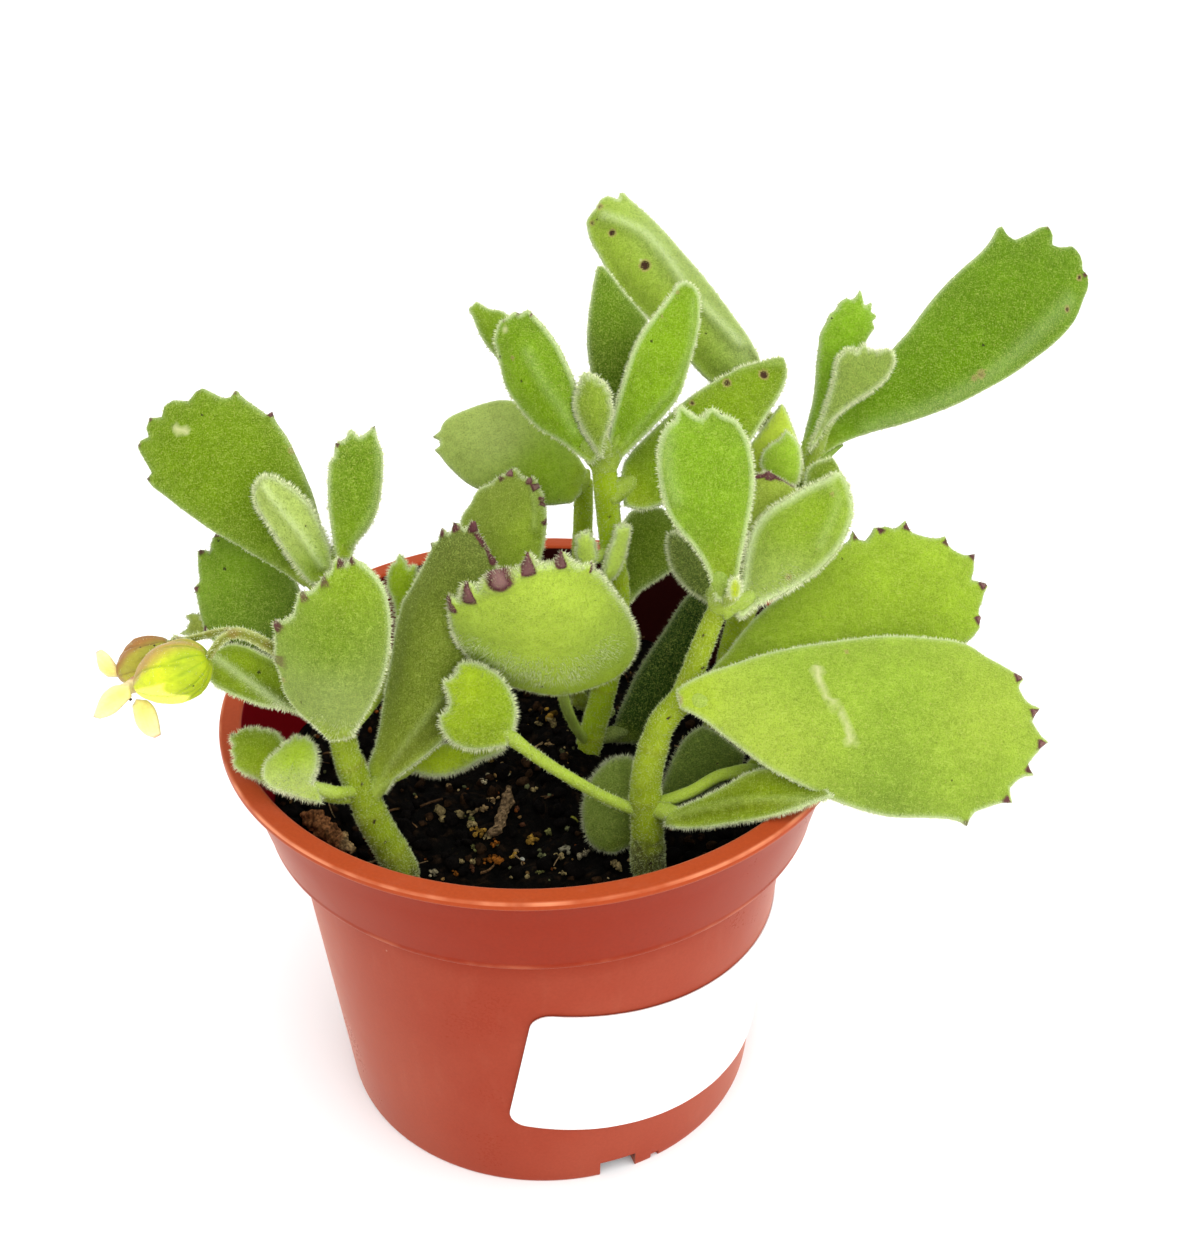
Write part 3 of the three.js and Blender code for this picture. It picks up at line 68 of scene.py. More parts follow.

# Per leaf, the colour gains, the hair dimming, the pale halo, the edge whiteness and the stalk darkening paint light,
# shade and sheen for how lit the leaf is, on top of its own colours.
LEAVES = [
    {'name': 'leaf_upper_left_large', 'region': 'left', 'slot': 'leaf', 'at': [-32.56, -15.0, 107.82], 'along': [-0.655, 0.4353, 0.6176], 'facing': [-0.1, -0.8602, 0.5001], 'thick': 4.6, 'cup': 1.5, 'bend': 2.0, 'back': 'olive', 'edge_fuzz_and_sheen': 0.35, 'fuzz': [0.35, 0.7], 'grad': [(24.2, -7.1, 'mid'), (25.0, 2.3, 'mid'), (8.5, -0.4, 'mid'), (3.4, -1.4, 'olive')], 'petiole': [[-30.64, -15.73, 107.88], [-34.52, -13.69, 109.67]], 'petioleRadius': [1.38, 1.38], 'edge': [[0.53, 1.32], [2.96, 1.74], [6.21, 2.6], [9.47, 3.48], [12.76, 4.4], [15.35, 5.22], [18.17, 5.85], [21.44, 6.52], [24.32, 6.99], [27.02, 7.48], [28.1, 7.33], [28.19, 6.14], [30.27, 5.74], [32.47, 5.25], [33.02, 4.11], [32.46, 2.89], [33.79, 2.34], [34.47, 0.9], [33.26, -0.56], [34.29, -1.86], [34.0, -3.45], [32.17, -5.14], [32.57, -6.88], [31.86, -8.06], [30.24, -8.67], [28.75, -9.37], [28.25, -10.11], [28.64, -11.22], [26.6, -11.43], [24.27, -11.94], [22.59, -12.22], [22.43, -13.04], [21.02, -12.59], [18.16, -12.18], [15.3, -11.35], [12.24, -10.31], [9.73, -9.34], [7.01, -7.94], [4.71, -6.52], [2.31, -4.77], [0.33, -3.0], [-0.54, -1.34]], 'teeth': [(32.79, 4.73, 0.56, 0.5), (34.47, 0.9, 0.56, 0.7), (27.77, 6.98, 0.56, 0.7), (32.04, -7.43, 0.64, 0.3), (28.31, -11.14, 0.56, 0.5), (22.2, -12.85, 0.64, 0.9)], 'scars': [([[30.42, -0.97], [29.56, -1.44], [28.49, -2.13]], 0.4)], 'spots': [(16.06, -11.47, 0.9, 0.35)], 'tone_and_painted_light': (0.9, 0.85, 0.45), 'spike': 0.3},
    {'name': 'leaf_upper_left_small_folded', 'region': 'left', 'slot': 'leaf', 'at': [-31.03, -18.5, 110.05], 'along': [-0.4253, 0.3455, 0.8365], 'facing': [0.0, -0.9243, 0.3818], 'thick': 3.4, 'cup': 1.2, 'bend': 1.0, 'back': 'pale', 'edge_fuzz_and_sheen': 0.9, 'fuzz': [0.8, 2.2], 'grad': [(15.3, -0.1, 'pale'), (8.2, -1.5, 'pale'), (0.7, -1.5, 'mid')], 'petiole': [[-30.61, -15.5, 109.33], [-32.31, -17.46, 112.56]], 'petioleRadius': [1.02, 1.02], 'edge': [[0.14, 1.09], [2.45, 1.59], [6.16, 1.98], [9.06, 2.19], [11.62, 2.46], [13.79, 2.62], [15.57, 2.33], [16.77, 1.17], [17.32, 0.05], [16.67, -1.23], [15.13, -2.34], [13.13, -3.36], [10.68, -3.97], [8.17, -4.08], [5.66, -3.86], [3.19, -3.5], [1.19, -2.59], [-0.15, -1.06]], 'ridges': [{'line': [[16.47, 0.26], [13.69, -0.24], [10.14, -0.93], [6.54, -1.55], [2.13, -1.69]], 'h': 0.9, 'w': 0.7, 'din': 0.5, 'dout': 0.0, 'wd': 1.2, 'inner': -1, 'pale': 0.4}], 'tone_and_painted_light': (1.45, 1.3, 2.0)},
    {'name': 'leaf_upper_left_small_upright', 'region': 'left', 'slot': 'leaf', 'at': [-27.35, -17.5, 113.11], 'along': [0.2273, 0.4324, 0.8725], 'facing': [0.1002, -0.9016, 0.4208], 'thick': 4.4, 'cup': -0.6, 'bend': 1.0, 'back': 'mid', 'edge_fuzz_and_sheen': 0.8, 'fuzz': [0.55, 1.4], 'grad': [(16.0, 1.3, 'mid'), (9.0, 0.1, 'mid'), (3.1, 0.4, 'bright')], 'petiole': [[-30.61, -15.5, 109.33], [-26.67, -16.2, 115.73]], 'petioleRadius': [1.32, 1.32], 'edge': [[-0.21, 1.13], [2.62, 2.08], [5.42, 3.02], [8.23, 3.81], [11.06, 4.32], [13.62, 4.64], [14.45, 4.07], [16.44, 4.29], [16.88, 3.5], [17.26, 3.0], [18.97, 2.44], [18.01, 1.39], [17.98, 0.81], [18.84, 0.09], [20.05, -0.85], [18.02, -1.66], [16.73, -2.47], [13.94, -3.12], [11.8, -3.37], [8.88, -3.47], [6.12, -2.96], [3.66, -1.81], [2.16, -1.07], [0.22, -1.13]], 'teeth': [(16.35, 3.99, 0.48, 0.7), (19.63, -0.93, 0.48, 0.4)], 'ridges': [{'line': [[17.2, -1.62], [12.47, -2.63], [8.06, -2.43], [2.55, -0.69]], 'h': 0.6, 'w': 0.5, 'din': 0.3, 'dout': 0.0, 'wd': 1.5, 'inner': -1, 'pale': 0.12}], 'tone_and_painted_light': (0.8, 0.8, 0.95)},
    {'name': 'leaf_left_dark', 'region': 'left', 'slot': 'leaf_shaded', 'at': [-32.06, -15.5, 93.87], 'along': [-0.6583, 0.4776, 0.5819], 'facing': [-0.0499, -0.799, 0.5993], 'thick': 4.2, 'cup': 1.2, 'bend': 1.5, 'back': 'dark', 'edge_fuzz_and_sheen': 0.5, 'fuzz': [0.45, 0.9], 'grad': [(19.9, -1.6, 'mid'), (13.3, 0.3, 'olive'), (6.8, 2.3, 'dark')], 'petiole': [[-30.66, -18.3, 94.69], [-34.04, -14.07, 95.61]], 'petioleRadius': [1.26, 1.26], 'edge': [[-0.63, 1.21], [2.07, 3.19], [5.2, 5.4], [8.38, 7.64], [11.4, 9.03], [14.45, 10.02], [16.31, 9.76], [18.07, 8.96], [20.18, 7.63], [22.09, 6.53], [22.32, 5.23], [24.27, 3.92], [25.92, 2.49], [25.25, 1.38], [24.56, 1.13], [25.89, -0.63], [26.06, -1.81], [25.06, -2.61], [23.81, -2.98], [24.02, -4.58], [23.37, -5.25], [21.65, -5.0], [20.08, -5.27], [19.71, -6.35], [18.96, -6.91], [17.36, -6.33], [15.16, -6.4], [12.95, -5.83], [10.62, -4.94], [8.11, -3.84], [5.63, -3.15], [2.85, -2.14], [0.61, -1.22]], 'teeth': [(25.69, 2.05, 0.8, 0.6), (25.94, -1.71, 0.8, 0.8), (23.68, -4.7, 0.88, 1.0), (19.29, -6.79, 0.8, 0.8), (21.86, 6.3, 0.72, 0.8), (16.43, 9.88, 0.64, 0.7)], 'tone_and_painted_light': (1.2, 1.2, 2.1), 'painted_shade': 0.75, 'spike': 0.35},
    {'name': 'leaf_left_front', 'region': 'left', 'slot': 'leaf', 'at': [-29.16, -28.5, 88.97], 'along': [0.1319, 0.0842, 0.9877], 'facing': [-0.1203, -0.9877, 0.1003], 'thick': 4.6, 'cup': 1.6, 'bend': 1.5, 'back': 'mid', 'edge_fuzz_and_sheen': 0.75, 'fuzz': [0.5, 1.1], 'grad': [(27.4, 0.3, 'bright'), (17.4, 1.8, 'mid'), (8.4, 0.7, 'pale'), (2.4, -1.7, 'pale')], 'petiole': [[-30.03, -20.69, 86.42], [-28.77, -28.25, 91.94]], 'petioleRadius': [1.38, 1.38], 'edge': [[-0.54, 1.62], [1.18, 3.16], [2.82, 5.0], [4.07, 6.55], [5.67, 7.96], [7.52, 8.91], [9.99, 9.43], [12.33, 10.11], [15.07, 10.35], [18.09, 10.48], [18.88, 8.82], [19.93, 7.81], [22.2, 7.35], [23.6, 6.54], [24.19, 5.25], [25.88, 4.21], [27.01, 2.85], [28.82, 2.43], [29.38, 1.62], [28.8, 0.71], [29.77, -0.05], [29.38, -1.49], [28.0, -3.3], [26.09, -4.85], [23.48, -5.76], [20.46, -6.28], [17.32, -6.36], [12.88, -5.93], [9.41, -5.11], [6.09, -3.81], [3.37, -2.59], [0.56, -1.62]], 'teeth': [(29.35, -0.09, 0.8, 0.6), (28.93, 1.72, 0.88, 0.62), (26.62, 3.39, 1.12, 0.5), (23.01, 6.5, 1.04, 0.5), (17.4, 10.14, 1.2, 0.62), (12.07, 9.32, 1.6, 0.42)], 'spots': [(9.23, 8.78, 0.7, 0.4)], 'tufts': [(2.07, 0.52, 2.6, 1.6, 0.3), (3.49, 2.77, 2.2, 1.2, 0.3), (2.47, -1.96, 2.0, 1.2, 0.3)], 'tone_and_painted_light': (0.93, 0.86, 1.37), 'painted_sheen': 0.09, 'spike': 0.4},
    {'name': 'leaf_left_low_trough', 'region': 'left', 'slot': 'leaf', 'at': [-32.28, -24.0, 90.07], 'along': [-0.8635, 0.4204, 0.2788], 'facing': [-0.0501, -0.6215, 0.7818], 'thick': 3.4, 'cup': -1.6, 'bend': 0.5, 'back': 'olive', 'edge_fuzz_and_sheen': 0.7, 'fuzz': [0.5, 1.3], 'grad': [(15.1, -2.3, 'bright'), (9.1, -1.0, 'mid'), (5.6, 0.6, 'olive')], 'petiole': [[-30.35, -19.87, 89.01], [-34.87, -22.74, 90.91]], 'petioleRadius': [1.02, 1.02], 'edge': [[-0.53, 1.82], [2.86, 1.33], [5.88, 1.95], [8.35, 2.85], [11.48, 3.32], [14.18, 3.48], [16.92, 3.18], [18.79, 1.92], [19.54, 0.03], [19.15, -1.82], [17.94, -3.06], [15.27, -3.94], [12.27, -3.99], [9.12, -4.0], [5.86, -3.66], [2.62, -2.92], [0.33, -1.72]], 'ridges': [{'line': [[18.67, -0.4], [13.95, 0.3], [9.31, 0.97], [4.42, 1.6]], 'h': 0.8, 'w': 0.7, 'din': 1.3, 'dout': 0.5, 'wd': 2.4, 'inner': 1, 'pale': 0.55}], 'tufts': [(17.3, -0.52, 1.3, 1.6, 0.1), (14.47, 0.03, 1.3, 1.8, 0.1), (11.66, 0.57, 1.3, 1.8, 0.1), (8.87, 1.1, 1.3, 1.8, 0.1), (6.2, 1.49, 1.2, 1.6, 0.1)], 'tone_and_painted_light': (1.13, 0.95, 0.24)},
    {'name': 'leaf_left_hidden_tip', 'region': 'left', 'slot': 'leaf_shaded', 'at': [-38.59, -3.6, 88.96], 'along': [-0.9534, 0.2447, 0.1766], 'facing': [-0.0504, -0.7062, 0.7062], 'thick': 3.0, 'cup': 0.6, 'bend': 0.5, 'back': 'dark', 'edge_fuzz_and_sheen': 0.5, 'fuzz': [0.5, 1.0], 'grad': [(15.0, 0.2, 'olive'), (6.4, 1.3, 'dark')], 'petiole': [[-30.61, -18.65, 93.37], [-41.45, -2.87, 89.49]], 'petioleRadius': [0.9, 0.9], 'edge': [[-1.43, 0.62], [3.39, 1.07], [8.25, 1.51], [12.4, 1.71], [14.92, 1.82], [16.59, 2.03], [18.47, 2.13], [17.31, 1.11], [17.13, -0.08], [18.11, -0.88], [17.62, -1.37], [16.53, -1.65], [13.95, -1.6], [9.98, -1.4], [5.36, -1.07], [1.42, -0.62]], 'tone_and_painted_light': (2.84, 1.98, 9.1), 'painted_shade': 0.6},
    {'name': 'leaf_low_left_a', 'region': 'left', 'slot': 'leaf', 'at': [-35.86, -23.0, 75.75], 'along': [-0.7865, 0.4807, 0.3877], 'facing': [-0.0998, -0.7184, 0.6885], 'thick': 3.0, 'cup': 0.8, 'bend': 0.5, 'back': 'mid', 'edge_fuzz_and_sheen': 0.8, 'fuzz': [0.62, 1.4], 'grad': [(11.1, -0.4, 'mid'), (6.2, 0.8, 'bright')], 'petiole': [[-27.4, -23.2, 74.4], [-32.35, -24.2, 75.44], [-38.01, -21.69, 76.81]], 'petioleRadius': [1.25, 1.2, 1.2], 'edge': [[-0.4, 0.93], [1.99, 1.86], [4.28, 2.71], [6.29, 3.17], [7.93, 3.36], [9.64, 3.78], [10.81, 3.83], [12.02, 3.54], [12.27, 2.6], [13.45, 2.1], [13.59, 1.08], [14.62, 0.83], [15.17, -0.12], [14.39, -0.45], [14.17, -1.18], [13.67, -2.3], [12.95, -2.42], [12.63, -3.23], [11.58, -3.19], [10.82, -3.93], [10.0, -3.92], [9.62, -4.4], [7.81, -3.91], [5.48, -3.24], [2.68, -2.16], [0.41, -0.93]], 'teeth': [(15.17, -0.12, 0.48, 0.5), (13.29, -2.57, 0.4, 0.3)], 'tone_and_painted_light': (1.1, 0.9, 0.55)},
    {'name': 'leaf_low_left_b', 'region': 'left', 'slot': 'leaf', 'at': [-33.07, -27.5, 78.06], 'along': [-0.5691, 0.6052, 0.5566], 'facing': [-0.0501, -0.7012, 0.7112], 'thick': 3.4, 'cup': -0.8, 'bend': 0.5, 'back': 'mid', 'edge_fuzz_and_sheen': 0.9, 'fuzz': [0.68, 1.6], 'grad': [(6.9, 0.7, 'bright'), (7.2, -1.4, 'bright'), (5.2, 3.6, 'pale'), (3.7, 1.0, 'pale')], 'petiole': [[-27.8, -23.2, 75.6], [-31.01, -27.0, 77.94], [-34.12, -26.38, 79.08]], 'petioleRadius': [1.3, 1.25, 1.3], 'edge': [[-0.99, 0.7], [0.5, 2.19], [2.02, 3.26], [3.54, 4.32], [5.2, 5.3], [6.93, 5.57], [8.52, 4.56], [9.28, 3.73], [9.44, 2.38], [9.62, 0.81], [10.05, -0.41], [9.5, -0.6], [9.72, -1.32], [9.97, -2.25], [8.93, -2.3], [8.81, -3.18], [7.9, -3.31], [7.15, -3.75], [4.93, -2.9], [3.3, -1.33], [2.33, 0.13], [0.95, -0.71]], 'tufts': [(4.6, 2.21, 2.2, 2.0, 0.1), (2.68, 0.66, 2.0, 2.0, 0.1)], 'tone_and_painted_light': (1.5, 1.3, 2.2), 'slim': 0.8, 'painted_sheen': 0.3},
    {'name': 'leaf_centre_left_large', 'region': 'left', 'slot': 'leaf', 'at': [-24.88, -23.5, 74.69], 'along': [0.3592, 0.3623, 0.8601], 'facing': [-0.2001, -0.8703, 0.4501], 'thick': 5.0, 'cup': 2.2, 'bend': 1.0, 'back': 'olive', 'edge_fuzz_and_sheen': 0.7, 'fuzz': [0.5, 1.1], 'grad': [(40.7, 0.8, 'olive'), (28.8, 0.6, 'mid'), (15.7, 1.0, 'mid'), (4.5, -0.1, 'bright')], 'petiole': [[-27.32, -23.21, 73.98], [-23.81, -22.41, 77.27]], 'petioleRadius': [1.5, 1.5], 'edge': [[-0.18, 0.87], [2.86, 2.93], [6.72, 2.99], [11.06, 3.42], [14.15, 3.99], [17.21, 4.56], [20.32, 4.99], [23.35, 5.59], [26.43, 6.05], [29.28, 6.24], [31.77, 5.72], [34.57, 5.16], [37.3, 4.78], [39.06, 4.39], [39.99, 4.05], [41.78, 4.4], [41.85, 3.36], [41.66, 2.59], [43.28, 2.52], [43.61, 1.63], [43.09, 0.43], [44.42, 0.27], [44.68, -0.45], [43.48, -1.53], [42.35, -2.86], [41.22, -4.18], [40.06, -5.47], [37.59, -6.73], [33.77, -7.37], [29.01, -7.71], [24.59, -7.63], [19.9, -7.31], [15.71, -7.11], [11.79, -6.81], [8.82, -5.31], [5.85, -3.45], [3.21, -1.72], [0.17, -0.86]], 'ridges': [{'line': [[1.2, 0.65], [6.12, -0.77], [11.05, -2.42], [14.8, -3.72], [18.11, -4.81]], 'h': 0.9, 'w': 0.55, 'din': 0.3, 'dout': 1.4, 'wd': 3.5, 'inner': 1, 'pale': 0.12}], 'marks': [(42.11, 4.21, 40.71, 3.44, 0.54, 1.39, 0.72), (43.49, 2.64, 42.34, 1.44, 0.62, 1.69, 0.74), (44.8, -0.21, 42.87, -0.91, 0.92, 1.92, 0.76), (42.69, -1.96, 41.61, -3.42, 0.77, 0.92, 0.7), (41.04, -4.09, 39.38, -5.54, 0.77, 1.23, 0.76), (39.34, 5.15, 38.53, 4.55, 0.46, 0.77, 0.6)], 'tone_and_painted_light': (1.0, 0.75, 4.0)},
    {'name': 'leaf_centre_left_back_folded', 'region': 'centre', 'slot': 'leaf', 'at': [-5.81, -3.0, 89.26], 'along': [0.1503, 0.3805, 0.9125], 'facing': [-0.1506, -0.9034, 0.4015], 'thick': 4.6, 'cup': 1.8, 'bend': 1.0, 'back': 'olive', 'edge_fuzz_and_sheen': 0.6, 'fuzz': [0.5, 1.0], 'grad': [(22.1, 1.9, 'olive'), (15.5, 4.4, 'olive'), (16.4, -2.7, 'mid')], 'petiole': [[9.6, 4.8, 66.0], [4.0, 3.6, 76.0], [-5.36, -1.86, 92.0]], 'petioleRadius': [1.6, 1.5, 1.7], 'edge': [[-0.66, 1.73], [3.89, 4.33], [8.34, 7.01], [12.14, 8.48], [15.36, 8.51], [18.65, 8.04], [20.74, 6.93], [22.95, 6.02], [23.72, 5.11], [24.17, 4.17], [25.41, 3.18], [26.05, 1.96], [26.95, 1.11], [27.23, 0.18], [25.94, -0.79], [25.88, -1.59], [26.3, -2.48], [25.47, -3.37], [23.99, -4.19], [21.57, -5.11], [19.71, -5.49], [16.54, -5.56], [13.32, -5.31], [9.2, -4.51], [4.97, -3.22], [0.65, -1.72]], 'teeth': [(26.64, 1.06, 0.8, 1.0), (25.48, 2.69, 0.72, 0.6), (25.94, -2.06, 0.8, 0.9), (24.14, -2.77, 0.8, 1.0), (22.59, -2.96, 0.56, 0.9), (21.34, -3.12, 0.64, 1.0), (19.49, -3.5, 0.64, 0.8)], 'ridges': [{'line': [[26.54, -0.69], [25.19, -2.44], [22.03, -3.47], [18.16, -3.94]], 'h': 0.7, 'w': 0.5, 'din': 0.2, 'dout': 1.0, 'wd': 2.0, 'inner': -1, 'pale': 0.12}], 'tone_and_painted_light': (1.85, 1.45, 5.35), 'swing': (2.5, 2.5, 0), 'slim': 0.6, 'stalk_tone_and_painted_shade': (0.25, 0.25, 0.25)},
    {'name': 'leaf_left_behind_small', 'region': 'left', 'slot': 'leaf', 'at': [-20.36, -8.0, 88.95], 'along': [-0.0248, 0.5217, 0.8528], 'facing': [0.0, -0.853, 0.5219], 'thick': 3.2, 'cup': 0.6, 'bend': 0.5, 'back': 'mid', 'edge_fuzz_and_sheen': 0.8, 'fuzz': [0.6, 1.5], 'grad': [(14.1, -0.0, 'mid'), (11.0, -0.6, 'mid')], 'petiole': [[-29.8, -21.2, 84.5], [-25.0, -14.0, 86.5], [-20.43, -6.43, 91.51]], 'petioleRadius': [1.2, 1.1, 1.2], 'edge': [[0.08, 1.34], [3.24, 1.43], [6.38, 1.21], [9.54, 1.48], [11.46, 2.16], [13.66, 2.03], [15.03, 1.47], [15.45, 0.65], [16.84, 0.1], [15.68, -0.77], [14.39, -1.32], [14.98, -1.97], [14.63, -2.56], [12.43, -2.59], [10.06, -2.75], [6.91, -2.71], [3.0, -2.3], [-0.09, -1.32]], 'tone_and_painted_light': (1.85, 1.55, 0.2)},
    {'name': 'leaf_centre_front_round', 'region': 'centre', 'slot': 'leaf', 'at': [4.08, -16.0, 87.04], 'along': [-0.1992, -0.2572, 0.9456], 'facing': [0.1005, -0.9652, -0.2413], 'thick': 5.6, 'cup': 2.6, 'bend': -0.5, 'back': 'mid', 'edge_fuzz_and_sheen': 0.55, 'fuzz': [0.66, 1.6], 'grad': [(26.6, 1.0, 'bright'), (22.6, -7.2, 'bright'), (15.0, 0.6, 'bright'), (7.2, -0.7, 'bright'), (12.3, 10.3, 'mid'), (7.8, -7.1, 'mid')], 'petiole': [[8.4, 4.8, 61.8], [6.22, 0.5, 68.31], [4.51, -7.0, 78.21], [3.48, -16.77, 89.88]], 'petioleRadius': [1.5, 1.5, 1.5, 1.7], 'edge': [[0.19, 1.23], [1.7, 4.19], [3.35, 6.91], [5.21, 9.24], [7.83, 11.19], [11.29, 12.44], [14.97, 13.15], [18.93, 12.88], [23.57, 12.13], [24.27, 11.37], [23.55, 10.38], [26.68, 9.15], [26.79, 7.96], [25.98, 7.14], [28.21, 5.58], [29.22, 4.02], [29.17, 2.28], [28.71, 0.92], [28.97, -0.17], [30.25, -0.91], [29.96, -1.58], [28.51, -2.29], [27.85, -3.64], [27.61, -4.94], [28.63, -5.92], [27.76, -6.65], [25.99, -7.34], [23.58, -9.31], [21.45, -10.43], [17.9, -11.29], [13.71, -12.37], [9.61, -13.01], [5.82, -13.22], [2.81, -12.42], [0.62, -10.44], [-0.36, -7.72], [-0.37, -4.92], [-0.26, -1.22]], 'teeth': [(28.39, 3.49, 3.0, 1.0)], 'ridges': [{'line': [[24.84, 10.72], [26.3, 6.88], [28.22, 1.76], [28.76, -2.48], [26.98, -7.34]], 'h': 0.5, 'w': 1.2, 'din': 0, 'dout': 0.9, 'wd': 3.5, 'inner': -1, 'pale': 0.12}], 'marks': [(24.61, 11.82, 21.14, 11.97, 0.46, 2.16, 0.85), (27.51, 8.35, 23.33, 8.93, 0.62, 2.78, 0.85), (31.55, -1.55, 27.3, -0.64, 0.23, 3.09, 0.85), (29.61, -6.14, 26.84, -5.31, 0.23, 2.47, 0.85), (24.68, -9.8, 23.08, -9.53, 0.23, 1.54, 0.8)], 'tufts': [(13.5, 10.77, 3.2, 2.2, 0.35), (10.2, 7.07, 3.4, 2.6, 0.45), (7.77, 2.3, 3.4, 2.8, 0.5), (6.28, -2.82, 3.2, 2.6, 0.45), (7.41, -7.86, 3.0, 2.0, 0.3)], 'tone_and_painted_light': (1.8, 1.43, 10.98), 'slim': 0.55, 'stalk_tone_and_painted_shade': (1.0, 1.05, 0.6), 'painted_sheen': 0.07, 'stalkpale': 0.1, 'band': 0.55},
    {'name': 'leaf_low_centre_round', 'region': 'centre', 'slot': 'leaf', 'at': [-4.37, -27.0, 86.37], 'along': [-0.5941, 0.4344, 0.677], 'facing': [0.05, -0.8201, 0.5701], 'thick': 3.6, 'cup': 0.8, 'bend': -0.5, 'back': 'mid', 'edge_fuzz_and_sheen': 0.9, 'fuzz': [0.75, 1.6], 'grad': [(9.7, -0.1, 'bright'), (6.1, -1.0, 'mid'), (1.7, 0.6, 'mid')], 'petiole': [[16.2, -26.1, 70.6], [9.54, -27.3, 75.3], [2.94, -27.6, 80.65], [-1.46, -27.6, 84.62], [-5.85, -25.92, 88.05]], 'petioleRadius': [1.3, 1.25, 1.25, 1.3, 1.4], 'edge': [[-0.4, 0.7], [0.23, 1.72], [1.11, 3.3], [2.2, 4.9], [3.55, 6.11], [5.06, 6.81], [6.53, 6.97], [8.05, 6.71], [9.52, 5.92], [9.36, 4.52], [10.13, 3.34], [11.58, 2.76], [13.21, 2.41], [12.82, 1.2], [12.98, -0.26], [13.82, -1.12], [13.31, -2.24], [12.27, -3.31], [10.66, -4.14], [9.02, -4.75], [7.0, -4.87], [5.16, -4.54], [3.03, -3.6], [1.5, -2.17], [0.39, -0.7]], 'tone_and_painted_light': (1.35, 1.1, 1.4), 'painted_sheen': 0.08, 'slim': 0.74},
    {'name': 'leaf_low_centre_under', 'region': 'left', 'slot': 'leaf_shaded', 'at': [-21.37, -17.5, 75.76], 'along': [0.9938, 0.0867, 0.069], 'facing': [0.0, -0.6222, 0.7828], 'thick': 2.8, 'cup': 0.5, 'bend': 0.3, 'back': 'mid', 'edge_fuzz_and_sheen': 0.8, 'fuzz': [0.7, 1.6], 'grad': [(7.3, -0.8, 'bright'), (11.8, -2.3, 'mid')], 'petiole': [[-27.48, -23.16, 74.54], [-18.48, -17.25, 75.96]], 'petioleRadius': [0.9, 0.9], 'edge': [[0.16, 0.63], [2.79, 1.52], [6.03, 2.18], [9.53, 2.31], [12.79, 1.8], [15.06, 0.95], [16.16, -0.2], [14.5, -0.78], [11.89, -1.37], [8.89, -2.49], [6.31, -2.87], [3.53, -2.46], [1.3, -1.49], [-0.16, -0.62]], 'tone_and_painted_light': (1.5, 1.2, 0.3), 'painted_shade': 0.8},
    {'name': 'leaf_stem2_bud_left', 'region': 'centre', 'slot': 'leaf', 'at': [9.78, -1.2, 100.63], 'along': [-0.3986, 0.2917, 0.8695], 'facing': [-0.1509, -0.956, 0.2516], 'thick': 2.2, 'cup': 0.3, 'bend': 0.2, 'back': 'mid', 'edge_fuzz_and_sheen': 0.9, 'fuzz': [0.6, 2.2], 'grad': [(4.2, -0.2, 'mid')], 'petiole': [[12.77, 3.31, 101.2], [9.31, -0.85, 101.66]], 'petioleRadius': [0.9, 0.9], 'edge': [[0.25, 1.47], [1.89, 1.92], [3.42, 1.7], [4.7, 0.91], [5.64, 0.64], [5.54, -0.01], [6.19, -0.49], [5.58, -1.07], [5.74, -1.83], [4.82, -1.58], [3.98, -1.88], [2.61, -1.42], [1.22, -0.93], [0.13, 0.29]], 'tone_and_painted_light': (3.75, 2.69, 25.2)},
    {'name': 'leaf_stem2_bud_right', 'region': 'centre', 'slot': 'leaf', 'at': [11.53, -2.0, 99.38], 'along': [0.3473, 0.2896, 0.8919], 'facing': [0.1509, -0.956, 0.2516], 'thick': 2.4, 'cup': 0.3, 'bend': 0.2, 'back': 'pale', 'edge_fuzz_and_sheen': 0.9, 'fuzz': [0.6, 2.4], 'grad': [(5.5, 0.2, 'bright')], 'petiole': [[12.88, 3.41, 99.86], [12.09, -1.54, 100.81]], 'petioleRadius': [0.9, 0.9], 'edge': [[-1.39, 0.11], [0.46, 0.75], [2.46, 0.96], [4.29, 1.09], [5.84, 0.96], [7.14, 1.06], [8.38, 1.29], [8.13, 0.56], [9.01, 0.35], [8.54, -0.32], [8.86, -0.9], [7.79, -1.28], [6.34, -1.44], [4.55, -1.74], [2.52, -1.78], [0.55, -1.46], [-0.99, -0.78]], 'tone_and_painted_light': (2.2, 1.7, 20.16)},
